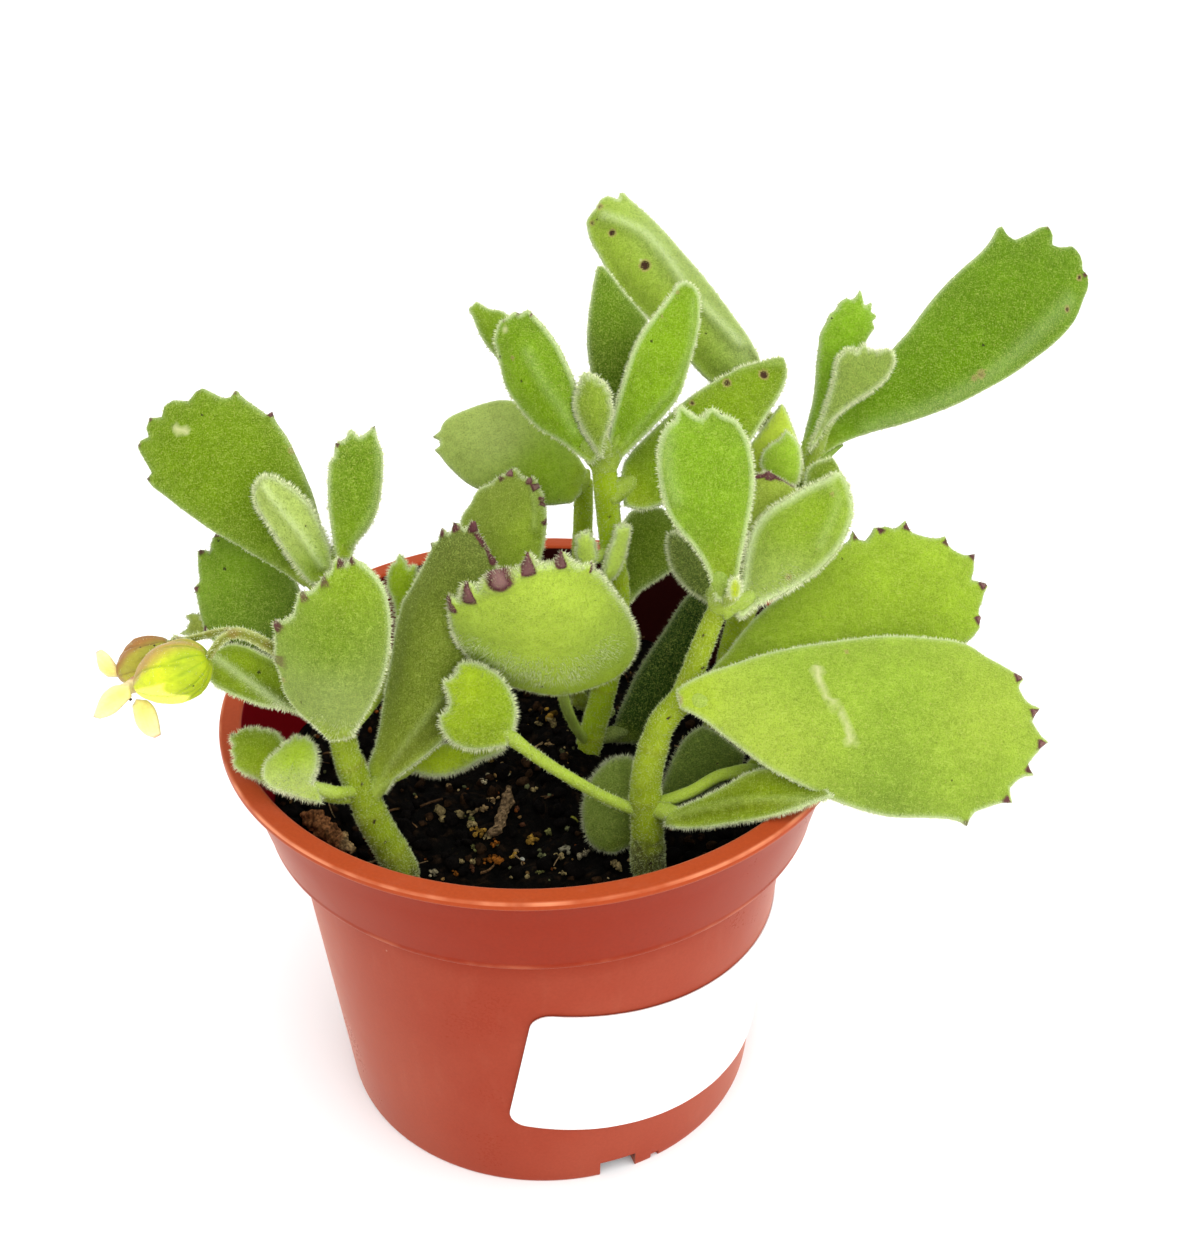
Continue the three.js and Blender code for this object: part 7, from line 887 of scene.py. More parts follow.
def plastic_material():
    m = Nodes("terracotta_plastic")
    inner, body, lip_painted_light, far, painted_edge_highlight = (m.attr(k) for k in ("inner", "body", "lip_painted_light", "far", "painted_edge_highlight"))
    haze = m.noise(38.0, 3.0, 0.55)
    fine = m.noise(0.5, 3.0, 0.6)
    streak = m.noise(3.0, 3.0, 0.6, m.scaled(1.0, 1.0, 0.22))
    c = m.mix(m.ramp(haze, 0.3, 0.7), (0.258, 0.020, 0.0040), (0.280, 0.027, 0.0065))
    # the body below the collar is lighter and hazier: dust, with painted sheen
    dust_and_sheen = m.math("MULTIPLY", body, m.ramp(haze, 0.25, 0.75, 0.09, 0.21))
    c = m.mix(dust_and_sheen, c, (0.40, 0.15, 0.105))
    # painted light: the lip top is a lighter orange where it faces up to the light
    c = m.mix(m.math("MULTIPLY", lip_painted_light, 0.48), c, (0.41, 0.075, 0.018))
    c = m.mix(m.math("MULTIPLY", m.ramp(streak, 0.5, 0.8), 0.10), c, (0.40, 0.12, 0.07))
    # painted shade inside the pot: the wall is crimson on the left and near black towards the right and back (far),
    # darker than the outside
    painted_shade_lining = m.mix(far, (0.135, 0.0015, 0.0040), (0.022, 0.0026, 0.0026))
    # painted shade: the collar between lip and body is darker, as under the overhanging leaves
    collar_painted_shade = m.math("SUBTRACT", 1.0, m.math("MAXIMUM", body, lip_painted_light))
    c = m.mix(m.math("MULTIPLY", collar_painted_shade, 0.8), c, (0.215, 0.0135, 0.0028))
    c = m.mix(inner, c, painted_shade_lining)
    c = m.gain(c, m.ramp(fine, 0.25, 0.75, 0.94, 1.06))
    dust = m.new("ShaderNodeTexVoronoi", {"feature": "F1"}, Vector=m.co, Scale=1000.0 / 3.4, Randomness=1.0)
    r = m.ramp(m.noise(5.0, 2.0), 0.45, 0.75, 0.02, 0.10)
    d = m.math("LESS_THAN", dust.outputs["Distance"], r)
    speck = m.math("MULTIPLY", d, m.math("GREATER_THAN", m.noise(2.0, 1.0), 0.60))
    c = m.mix(m.math("MULTIPLY", speck, 0.32), c, (0.62, 0.40, 0.28))
    # painted highlights: thin pale lines along the rim's outer edge and the collar's lower edge
    c = m.mix(m.math("MULTIPLY", painted_edge_highlight, m.ramp(m.noise(13.0, 3.0, 0.6), 0.42, 0.62, 0.10, 0.62)), c, (0.84, 0.33, 0.17))
    sheen = m.math("MULTIPLY", m.math("SUBTRACT", 1.0, inner), 0.31)
    n = m.bump(fine, 0.05, 0.04)
    n = m.bump(m.noise(9.0, 2.0), 0.08, 0.5, n)
    return m.surface(c, m.ramp(m.math("ADD", haze, m.math("MULTIPLY", fine, 0.3)), 0.4, 0.9, 0.26, 0.38), n, Specular_IOR_Level=0.035, Sheen_Weight=sheen, Sheen_Roughness=0.40, Sheen_Tint=(1.0, 0.50, 0.33, 1.0))


def soil_material():
    m = Nodes("potting_mix")
    tint = m.attr("tint", True)
    a = m.noise(1.1, 4.0, 0.7)
    b = m.noise(0.35, 3.0, 0.7)
    c = m.gain(tint, m.ramp(a, 0.3, 0.7, 0.45, 1.5))
    c = m.gain(c, m.ramp(b, 0.3, 0.7, 0.6, 1.35))
    n = m.bump(m.math("ADD", a, b), 0.9, 0.35)
    return m.surface(c, m.ramp(b, 0.3, 0.7, 0.8, 0.95), n, Specular_IOR_Level=0.03)


def paper_material():
    m = Nodes("label_paper")
    grain = m.noise(0.6, 3.0, 0.6)
    wash = m.noise(14.0, 2.0)
    c = m.mix(m.ramp(wash, 0.3, 0.7), (0.90, 0.895, 0.885), (0.94, 0.94, 0.935))
    c = m.gain(c, m.ramp(grain, 0.3, 0.7, 0.985, 1.01))
    n = m.bump(grain, 0.12, 0.05)
    return m.surface(c, m.ramp(wash, 0.3, 0.7, 0.42, 0.52), n, Specular_IOR_Level=0.45)


def floor_material():
    m = Nodes("white_floor")
    c = m.mix(m.noise(600.0, 1.0), (0.935, 0.932, 0.930), (0.95, 0.95, 0.95))
    return m.surface(c, 0.75, None, Specular_IOR_Level=0.1)


def water_material():
    m = Nodes("water_drop")
    c = m.mix(m.noise(1.0, 1.0), (0.93, 0.97, 0.92), (0.98, 1.0, 0.97))
    return m.surface(c, 0.04, None, IOR=1.33, Transmission_Weight=1.0)


MAT.update(
    leaf=leaf_material(),
    hair=hair_material(),
    stem=stem_material(),
    flower=flower_material(),
    plastic=plastic_material(),
    soil=soil_material(),
    paper=paper_material(),
    floor=floor_material(),
    water=water_material(),
)

# ---------------------------------------------------------------- camera
cam_data = bpy.data.cameras.new("photo_camera")
cam_data.sensor_fit, cam_data.sensor_width, cam_data.lens = "HORIZONTAL", 36.0, 54.0
cam_data.clip_start, cam_data.clip_end = 0.01, 50.0
camera = bpy.data.objects.new("photo_camera", cam_data)
bpy.context.scene.collection.objects.link(camera)
right = Vector((0.99863657, -0.05074082, -0.01226229))
down = Vector((-0.0375852, -0.53588584, -0.84345345))
ahead = Vector((0.03622634, 0.84276434, -0.5370623))
turn = Matrix((right, -down, -ahead)).transposed().to_4x4()
camera.matrix_world = Matrix.Translation((0.0, -0.24428377, 0.24598974)) @ turn
bpy.context.scene.camera = camera

# ---------------------------------------------------------------- the plant
rng = np.random.default_rng(20)
region = {"left": [], "centre": [], "right": [], "back": []}
for k, leaf in enumerate(LEAVES):
    region[leaf["region"]].append((make_leaf(leaf, 0.7 + k * 1.37), leaf["fuzz"]))

LIME, PALE = np.array(PALETTE["lime"]), np.array(PALETTE["pale"])
for k, stem in enumerate(STEMS):
    line, r = catmull(stem["path"], 0.7, stem["radius"])
    s = np.r_[0, np.cumsum(np.linalg.norm(np.diff(line, axis=0), axis=1))]
    grow = np.ones(len(s))
    for at in stem["rings"]:  # old leaf scars: low swellings round the stem
        grow += 0.05 * np.exp(-(((s - at) / 0.9) ** 2)) - 0.03 * np.exp(-(((s - at - 1.5) / 0.7) ** 2))
    grow *= 1 - stem["slim"] * smoothstep(s / s[-1], 0.35, 1.0)
    pts, tri, quad = sweep(line, r * grow, r * grow, (1.0, 0.2, 0.0), sides=30, rough=0.02, seed=3.1 * k)
    t = np.clip(np.repeat(s / s[-1], 30), 0, 1)
    t = np.r_[t, 0, 1]
    colour = LIME * (1.02 - 0.1 * t[:, None]) + PALE * 0.08
    z = pts[:, 2]
    low = 1 - smoothstep(z, SOIL_LEVEL, SOIL_LEVEL + 9)
    colour = colour * (1 - 0.25 * low[:, None]) + np.array((0.30, 0.27, 0.06)) * 0.25 * low[:, None]
    for at in stem["rings"]:
        band = np.exp(-(((np.r_[np.repeat(s, 30), 0, 1e3] - at) / 0.35) ** 2))[:, None] * 0.4
        colour = colour * (1 - band) + np.array((0.22, 0.19, 0.03)) * band
    # painted shade: the stem turns dark olive near the soil, up to its set height above the soil
    bark = (1 - smoothstep(z + 2.4 * fbm(pts, 1.5, 2, 3.0), SOIL_LEVEL + stem["painted_shade_foot"] - 2.0, SOIL_LEVEL + stem["painted_shade_foot"] + 1.6))[:, None]
    # each stem's colour gains: its own tone with painted light and shade for how lit it is
    colour = colour * np.array(stem["tone_and_painted_light"])
    colour = colour * (1 - bark) + np.array((0.085, 0.090, 0.018)) * bark
    spot = np.zeros(len(pts))
    for _ in range(int(26 * s[-1] / 60)):
        c = pts[rng.integers(len(pts))]
        spot = np.maximum(spot, rng.uniform(0.3, 0.9) * (1 - smoothstep(np.linalg.norm(pts - c, axis=1), 0.1, rng.uniform(0.3, 0.75))))
    P = Parts("tint", "spot")
    P.add(pts, tri, quad, tint=colour, spot=spot)
    ob = P.build(stem["name"] + "_stalk", material=MAT["stem"], slot="stem")
    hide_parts(stem["name"])
    wt = 1.9 * (z > SOIL_LEVEL - 2.0) * (1 + 0.3 * low)
    up_ = np.gradient(line, axis=0)
    up_ = np.repeat(up_ / np.linalg.norm(up_, axis=1)[:, None], 30, 0) * 0.5
    src = [(pts, P.tris(), wt, np.full(len(pts), 1.0), np.zeros(len(pts)), np.vstack([up_, up_[:1], up_[-1:]]), np.full(len(pts), 0.5))]
    region[stem["region"]].append((src, (0.46, 1.6)))

# ---------------------------------------------------------------- flower truss
TRUSS = []
REACH = {  # carries each stalk on to the base of its bud
    "flower_stalk": [(-46.86, -26.99, 103.36)],
    "flower_stalk_back": [(-52.6, -20.6, 102.6), (-53.3, -18.6, 101.3), (-54.16, -17.78, 99.92)],
}


def stalk(name, keys):
    P = Parts("tint", "spot")
    for key in keys:
        path, r = TUBES[key]
        path, r = [*path, *REACH[key]], [*r, *([r[-1]] * len(REACH[key]))]
        line, rr = catmull(path, 0.45, r)
        pts, tri, quad = sweep(line, rr * 0.92, rr * 0.66, (0.1, 0.3, 1.0), sides=20, rough=0.06, seed=5.0)
        a = 2 * np.pi * (np.arange(len(pts)) % 20) / 20
        edge = np.abs(np.cos(a))[:, None] ** 2
        blush = smoothstep(fbm(pts, 3.0, 2, 8.0), 0.0, 0.5)[:, None] * 0.5
        colour = np.array((0.15, 0.17, 0.012)) * (1 - edge) + np.array((0.44, 0.48, 0.17)) * edge
        colour = colour * (1 - blush) + np.array((0.19, 0.09, 0.02)) * blush
        P.add(pts, tri, quad, tint=colour)
    ob = P.build(name + "_shaft", material=MAT["flower"], slot="flower_stalk")
    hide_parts(name)
    TRUSS.append(([(P.points(), P.tris(), np.full(P.n, 1.6), np.full(P.n, 1.0), np.zeros(P.n), np.zeros((P.n, 3)), np.full(P.n, 0.8))], (0.55, 2.2)))


def flower(name, a, b, w, look, seed):
    """A bud: five petals wrapped into an egg, seen from the side; the colours run along it and across it."""
    a, b = np.array(a, float), np.array(b, float)
    axis = unit(b - a)
    side = unit(np.cross(axis, (0.1, 0.2, 1.0)))
    up = np.cross(side, axis)
    if up[2] < 0:
        up, side = -up, -side
    rows, sides = 60, 96
    t = np.linspace(0.0, 1.0, rows)
    ang = 2 * np.pi * np.arange(sides) / sides
    T, A = np.meshgrid(t, ang, indexing="ij")
    swirl = A + 0.9 * T
    seam = np.abs(np.cos(2.5 * swirl + seed))  # 0 where two petals meet
    prof = w * np.sin(np.pi * np.clip(T * 0.93 + 0.035, 0, 1) ** look["belly"]) ** 0.60
    rib = 1 - 0.075 * np.exp(-((seam / 0.16) ** 2)) * (0.4 + 0.6 * T) + 0.035 * np.cos(5 * swirl + 2 * seed)
    crease = np.exp(-((np.cos(5.5 * A + seed) / 0.22) ** 2)) * (1 - smoothstep(T, 0.15, 0.62))
    rib = rib - 0.065 * crease
    if look["open"]:  # the free edges of the petals stand off a little near the mouth
        rib = rib + 0.16 * smoothstep(T, 0.72, 0.95) * (1 - 0.5 * seam)
    V = np.sin(A)  # across: 1 on the upper side, -1 below
    pts = a + (b - a) * T[..., None] + (prof * rib)[..., None] * (np.cos(A)[..., None] * side + V[..., None] * up)
    pts = pts.reshape(-1, 3)
    pts = pts + (0.08 * fbm(pts, 1.1, 2, seed))[:, None] * up
    mixc = lambda c, other, f: c * (1 - f[..., None]) + np.array(other) * f[..., None]
    c = np.broadcast_to(np.array(look["mid"], float), T.shape + (3,)).copy()
    c = mixc(c, look["base"], 1 - smoothstep(T + 0.10 * V, 0.22, 0.58))
    c = mixc(c, look["bright"], smoothstep(T - 0.10 * np.cos(5 * swirl), 0.42, 0.50) * (1 - smoothstep(V - 0.25 * (T - 0.5), 0.02, 0.14)))
    c = mixc(c, look["blush"], 0.85 * smoothstep(V + 0.35 * (T - 0.4), look["edge"], look["edge"] + 0.4))
    c = mixc(c, look["blush"], look["tip"] * smoothstep(T, 0.80, 0.98))
    c = mixc(c, look["line"], 0.70 * crease + 0.5 * np.exp(-((seam / 0.10) ** 2)) * smoothstep(T, 0.1, 0.3))
    tint = c.reshape(-1, 3)
    i, k = np.meshgrid(np.arange(rows - 1), np.arange(sides), indexing="ij")
    p0 = i * sides + k
    p1 = i * sides + (k + 1) % sides
    quad = np.stack([p0, p1, p1 + sides, p0 + sides], -1).reshape(-1, 4)
    n = len(pts)
    ks = np.arange(sides)
    tri = np.vstack([np.stack([np.full(sides, n), (ks + 1) % sides, ks], -1), np.stack([np.full(sides, n + 1), (rows - 1) * sides + ks, (rows - 1) * sides + (ks + 1) % sides], -1)])
    if np.dot(np.cross(side, up), axis) < 0:
        quad, tri = quad[:, ::-1], tri[:, ::-1]
    pts = np.vstack([pts, a, b])
    tint = np.vstack([tint, tint[0], tint[-1]])
    P = Parts("tint", "spot")
    spot = np.zeros(len(pts))
    for _ in range(7):
        spot = np.maximum(spot, 0.9 * (1 - smoothstep(np.linalg.norm(pts - pts[rng.integers(len(pts))], axis=1), 0.08, 0.34)))
    P.add(pts, tri, quad, tint=tint, spot=spot)
    # calyx, for a look that has one: five short pointed scales pressed to the base; neither look here has one
    for q in range(5 if look["calyx"] else 0):
        an = 2 * np.pi * q / 5 + 0.3
        rad = math.cos(an) * side + math.sin(an) * up
        tan = -math.sin(an) * side + math.cos(an) * up
        u = np.linspace(0, 1, 10)
        tt = 0.01 + look["calyx"] * u
        line = np.array([a + (b - a) * x + rad * (w * math.sin(math.pi * min(0.999, x * 0.93 + 0.035) ** look["belly"]) ** 0.60 + 0.02 + 0.10 * y) for x, y in zip(tt, u)])
        width = w * 0.30 * (1 - u**1.8) + 0.10
        sp, st, sq = sweep(line, width, np.full(10, 0.16), tan, sides=10)
        col = np.array((0.26, 0.36, 0.04))[None] * (1 - u[:, None]) + np.array((0.40, 0.30, 0.09))[None] * u[:, None]
        col = np.repeat(col, 10, 0)
        P.add(sp, st, sq, tint=np.vstack([col, col[:1], col[-1:]]))
    if look["open"]:  # the throat, with the withered stamens that hang out of it
        p, q = (np.array(x, float) for x in TUBES["throat"])
        ax = unit(q - p)
        u = np.linspace(0, 1, 12)
        line = p + (q - p) * u[:, None]
        sp, st, sq = sweep(line, 1.35 - 0.45 * u + 0.25 * smoothstep(u, 0.7, 1), 1.2 - 0.4 * u + 0.2 * smoothstep(u, 0.7, 1), unit(np.cross(ax, (0, 1, 0.3))), sides=24, rough=0.12, seed=1.5)
        kk = np.r_[np.repeat(u, 24), 0, 1][:, None]
        P.add(sp, st, sq, tint=np.array((0.44, 0.20, 0.10)) * (1 - smoothstep(kk, 0.1, 0.7)) + np.array((0.80, 0.66, 0.34)) * smoothstep(kk, 0.1, 0.7))
        s1 = unit(np.cross(ax, (0, 1, 0)))
        s2 = np.cross(ax, s1)
        for k in range(6):
            an = 2 * np.pi * k / 6 + 0.4 + rng.normal() * 0.5
            off = math.cos(an) * s1 + math.sin(an) * s2
            u = np.linspace(0, 1, 9)[:, None]
            L = rng.uniform(0.9, 2.2)
            line = q - ax * 0.5 + off * (0.45 + 0.5 * u) + ax * L * u + np.array((0.0, 0.0, -0.8)) * u**2 + off * 0.35 * np.sin(3.0 * u)
            sp, st, sq = sweep(line, np.full(9, 0.085), np.full(9, 0.085), s2, sides=6)
            dark = smoothstep(np.r_[np.repeat(u[:, 0], 6), 0, 1], 0.25, 0.5)[:, None]
            P.add(sp, st, sq, tint=np.array((0.40, 0.26, 0.10)) * (1 - dark) + np.array((0.035, 0.022, 0.014)) * dark)
            tip = line[-1]
            sp, st, sq = sweep(np.array([tip - ax * 0.15, tip + off * 0.3, tip + off * 0.55 + ax * 0.15]), [0.09, 0.15, 0.08], [0.09, 0.14, 0.08], s2, sides=7)
            P.add(sp, st, sq, tint=(0.025, 0.016, 0.010))
    ob = P.build(name + "_bloom", material=MAT["flower"], slot="flower_bud")
    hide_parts(name)
    skin = np.vstack([tri, quad[:, [0, 1, 2]], quad[:, [0, 2, 3]]])
    TRUSS.append(([(pts, skin, np.full(len(pts), 0.5), np.full(len(pts), 0.7), np.zeros(len(pts)), np.zeros((len(pts), 3)), np.full(len(pts), 0.6))], (0.35, 1.0)))


stalk("flower_stalk", ["flower_stalk", "flower_stalk_back"])
BUD_LOOKS = {
    "front": dict(base=(0.35, 0.44, 0.010), mid=(0.55, 0.62, 0.020), bright=(0.84, 0.86, 0.12), blush=(0.40, 0.21, 0.075), line=(0.16, 0.28, 0.004), tip=0.0, edge=0.62, belly=0.82, calyx=0, open=False),
    "back": dict(base=(0.27, 0.26, 0.025), mid=(0.36, 0.33, 0.035), bright=(0.42, 0.38, 0.04), blush=(0.30, 0.11, 0.035), line=(0.20, 0.12, 0.03), tip=0.7, edge=0.55, belly=0.92, calyx=0, open=True),
}
for name, a, b, w, look, seed in TUBES["buds"]:
    flower(name, a, b, w, BUD_LOOKS[look], seed)

for k, petal in enumerate(PETALS):
    at, d, w, n = leaf_frame(petal)
    E = outline(petal["edge"], 0.25)
    La, Wd = E[:, 0].max(), np.abs(E[:, 1]).max()
    gx, gy = np.meshgrid(np.arange(E[:, 0].min(), E[:, 0].max(), 0.3), np.arange(E[:, 1].min(), E[:, 1].max(), 0.27))
    c = np.stack([gx.ravel(), gy.ravel()], 1)
    c = c[inside(E, c)]
    dd, _ = distance_to(E, c)
    c = c[dd > 0.16]
    V, _, F, _, _, _ = delaunay_2d_cdt([Vector(p) for p in np.vstack([E, c])], [], [list(range(len(E)))], 1, 1e-5)
    V2 = np.array([tuple(v) for v in V])
    F = np.array([f for f in F if len(f) == 3])
    a2 = (V2[F[:, 1], 0] - V2[F[:, 0], 0]) * (V2[F[:, 2], 1] - V2[F[:, 0], 1]) - (V2[F[:, 2], 0] - V2[F[:, 0], 0]) * (V2[F[:, 1], 1] - V2[F[:, 0], 1])
    F[a2 < 0] = F[a2 < 0][:, [0, 2, 1]]
    nv = len(V2)
    dist, _ = distance_to(E, V2)
    edge = dist < 1e-4
    half = 0.5 * 0.7 * np.sqrt(np.clip(1 - (1 - np.clip(dist / 0.5, 0, 1)) ** 2, 0, 1)) + 0.01
    a, b = V2.T
    u = 2 * np.clip(a, 0, La) / La - 1
    rise = petal["bend"] * 2.2 * (1 - u * u) - petal["cup"] * (b / Wd) ** 2 + 0.12 * np.sin(b * 2.4 + k)
    over = at + a[:, None] * d + b[:, None] * w
    under = np.where(edge, np.arange(nv), nv + np.cumsum(~edge) - 1)
    top = over + (rise + np.where(edge, 0, half))[:, None] * n
    pts = np.vstack([top, (over + (rise - half)[:, None] * n)[~edge]])
    tri = np.vstack([F, under[F][:, [0, 2, 1]]])
    t = np.clip(a / La, 0, 1)[:, None]
    streak = (0.5 + 0.5 * np.sin(b * 9.0))[:, None]
    tint = np.array((0.78, 0.64, 0.10)) * (1 - t) + np.array((0.87, 0.79, 0.33)) * t
    tint = tint * (0.92 + 0.10 * streak)
    tint = tint * (1 - 0.5 * np.exp(-dist / 0.6)[:, None]) + np.array((0.90, 0.86, 0.56)) * 0.5 * np.exp(-dist / 0.6)[:, None]
    rim_c = 0.16 * np.exp(-dist / 0.22)[:, None] * (0.2 + 0.8 * t) + 0.75 * smoothstep(t, 0.91, 1.0)
    tint = tint * (1 - rim_c) + np.array((0.66, 0.30, 0.18)) * rim_c
    tint = np.vstack([tint, tint[~edge]])
    P = Parts("tint", "spot")
    P.add(pts, tri, tint=tint)
    ob = P.build(petal["name"] + "_blade", material=MAT["flower"], slot="petal")
    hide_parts(petal["name"])

# ---------------------------------------------------------------- down
total_hairs = 0
for key, items in [*region.items(), ("truss", TRUSS)]:
    H = Parts("tint")
    for src, (length, density) in items:
        total_hairs += hairs(H, src, length, 2.4 * density, rng)
    H.build("down_" + key, material=MAT["hair"], slot="leaf_pale", smooth=True)


# ---------------------------------------------------------------- pot
def lathe(profile, sides):
    prof = np.asarray(profile, float)
    ang = 2 * np.pi * np.arange(sides) / sides
    n = len(prof)
    ring = np.stack([np.cos(ang), np.sin(ang)], 1)
    pts = np.concatenate([np.concatenate([ring * r, np.full((sides, 1), z)], 1) for r, z in prof[1:-1]])
    i, k = np.meshgrid(np.arange(n - 3), np.arange(sides), indexing="ij")
    a, b = i * sides + k, i * sides + (k + 1) % sides
    quads = np.stack([a, b, b + sides, a + sides], -1).reshape(-1, 4)
    m = len(pts)
    ks = np.arange(sides)
    last = (n - 3) * sides
    tris = np.vstack([np.stack([np.full(sides, m), (ks + 1) % sides, ks], -1), np.stack([np.full(sides, m + 1), last + ks, last + (ks + 1) % sides], -1)])
    pts = np.vstack([pts, [[0, 0, prof[0][1]], [0, 0, prof[-1][1]]]])
    return pts, tris, quads


def rounded(corners, r, steps=4):
    """A profile with its inner corners rounded to radius r (one r each)."""
    out = [corners[0]]
    for i in range(1, len(corners) - 1):
        p, a, b = (np.array(corners[j], float) for j in (i, i - 1, i + 1))
        ra = r[i]
        u, v = unit(a - p), unit(b - p)
        t = min(ra, 0.45 * np.linalg.norm(a - p), 0.45 * np.linalg.norm(b - p))
        if t < 1e-3:
            out.append(tuple(p))
            continue
        for k in range(steps + 1):
            f = k / steps
            q = (1 - f) ** 2 * (p + u * t) + 2 * f * (1 - f) * p + f * f * (p + v * t)
            out.append(tuple(q))
    out.append(corners[-1])
    return out


def split(profile, most):
    out = [profile[0]]
    for p, q in zip(profile[:-1], profile[1:]):
        d = math.hypot(q[0] - p[0], q[1] - p[1])
        m = max(1, math.ceil(d / most))
        out += [(p[0] + (q[0] - p[0]) * k / m, p[1] + (q[1] - p[1]) * k / m) for k in range(1, m + 1)]
    return out


corners = [
    (0, 0),
    (BASE_RADIUS - 3.0, 0.0),
    (BASE_RADIUS - BASE_BEVEL * 0.2, 0.0),
    (BASE_RADIUS + 0.02, BASE_BEVEL),
    (BODY_TOP_RADIUS, COLLAR_Z - 0.3),
    (COLLAR_BOTTOM_RADIUS - 1.2, COLLAR_Z + 0.0),
    (COLLAR_BOTTOM_RADIUS, COLLAR_Z),
    (COLLAR_BOTTOM_RADIUS + 0.14, COLLAR_Z + 0.5),
    (COLLAR_BOTTOM_RADIUS + 0.17, COLLAR_Z + 1.1),
    (COLLAR_TOP_RADIUS, POT_HEIGHT - LIP_THICKNESS - 0.1),
    (RIM_RADIUS - 0.1, POT_HEIGHT - LIP_THICKNESS),
    (RIM_RADIUS, POT_HEIGHT - LIP_THICKNESS / 2),
    (RIM_RADIUS - 0.15, POT_HEIGHT - 0.12),
    (RIM_RADIUS - 0.30, POT_HEIGHT - 0.03),
    (RIM_RADIUS - 0.7, POT_HEIGHT),
    (RIM_RADIUS - 1.1, POT_HEIGHT - 0.02),
    (LIP_INNER_RADIUS + 0.5, POT_HEIGHT - 0.02),
    (LIP_INNER_RADIUS, POT_HEIGHT - 0.5),
    (COLLAR_BOTTOM_RADIUS - WALL - 0.2, COLLAR_Z + WALL),
    (BODY_TOP_RADIUS - WALL, COLLAR_Z),
    (BASE_RADIUS - WALL, FLOOR),
    (0, FLOOR),
]
radii = [0, 0.5, 0.5, 0.8, 0.7, 0.6, 0.4, 0.25, 0.3, 0.7, 0.5, 0.5, 0.1, 0.1, 0.1, 0.1, 0.6, 0.5, 0.8, 0.8, 1.0, 0]
pot_pts, pot_tri, pot_quad = lathe(split(rounded(corners, radii), 6.0), 224)
r_ = np.hypot(pot_pts[:, 0], pot_pts[:, 1])
a_ = np.arctan2(pot_pts[:, 1], pot_pts[:, 0])
# a moulded pot is never quite round
wave = 0.12 * np.cos(2 * a_ + 0.6) + 0.05 * np.cos(5 * a_ + 1.9)
k_ = np.where(r_ > 1, 1 + (wave - 0.12) / np.maximum(r_, 1) * np.clip(pot_pts[:, 2] / 40, 0, 1), 1)
pot_pts[:, 0] *= k_
pot_pts[:, 1] *= k_
pot = make_object("pot_shell", pot_pts, pot_tri, pot_quad)


def block(deep, wide, high, radius, degrees, bevel=0.35):
    """A cutter box with rounded upright edges."""
    pts, n = [], 5
    for z in (-high, high):
        for cx, cy, a0 in ((1, 1, 0), (-1, 1, 90), (-1, -1, 180), (1, -1, 270)):
            for k in range(n):
                a = math.radians(a0 + 90 * k / (n - 1))
                pts.append((cx * (deep / 2 - bevel) + bevel * math.cos(a), cy * (wide / 2 - bevel) + bevel * math.sin(a), z))
    m = 4 * n
    pts = np.array(pts)
    t = math.radians(degrees)
    x = pts[:, 0] + radius
    pts = np.stack([x * math.cos(t) - pts[:, 1] * math.sin(t), x * math.sin(t) + pts[:, 1] * math.cos(t), pts[:, 2]], 1)
    me = bpy.data.meshes.new("cutter")
    faces = [list(range(m))[::-1], list(range(m, 2 * m))] + [[k, (k + 1) % m, m + (k + 1) % m, m + k] for k in range(m)]
    me.from_pydata([tuple(p * MM) for p in pts], [], faces)
    ob = bpy.data.objects.new("cutter", me)
    bpy.context.scene.collection.objects.link(ob)
    return ob


cutters = []
for drain in (-73.0, 47.0, 167.0):
    cutters.append(block(9.0, 6.4, 3.4, BASE_RADIUS - 1.2, drain, 0.5))
    cutters.append(block(3.0, 1.6, 1.3, BASE_RADIUS + 0.6, drain + 11.0, 0.2))
for c in cutters:
    mod = pot.modifiers.new("drain", "BOOLEAN")
    mod.operation, mod.object, mod.solver = "DIFFERENCE", c, "EXACT"
graph = bpy.context.evaluated_depsgraph_get()
me = bpy.data.meshes.new_from_object(pot.evaluated_get(graph))
pot.modifiers.clear()
pot.data = me
me.name = "pot_shell"
me.materials.clear()
me.materials.append(MAT["plastic"])
me.polygons.foreach_set("use_smooth", np.ones(len(me.polygons), bool))
me.set_sharp_from_angle(angle=math.radians(38))
co = np.empty(len(me.vertices) * 3, np.float32)
me.vertices.foreach_get("co", co)
co = co.reshape(-1, 3) / MM
r_, z_ = np.hypot(co[:, 0], co[:, 1]), co[:, 2]
wall_in = np.where(z_ > COLLAR_Z + 0.5, 44.9 + (z_ - 58.9) * (48.2 - 44.7) / 16.7 + 0.35, BASE_RADIUS - WALL + (BODY_TOP_RADIUS - BASE_RADIUS) * (z_ - FLOOR) / (COLLAR_Z - FLOOR) + 0.5)
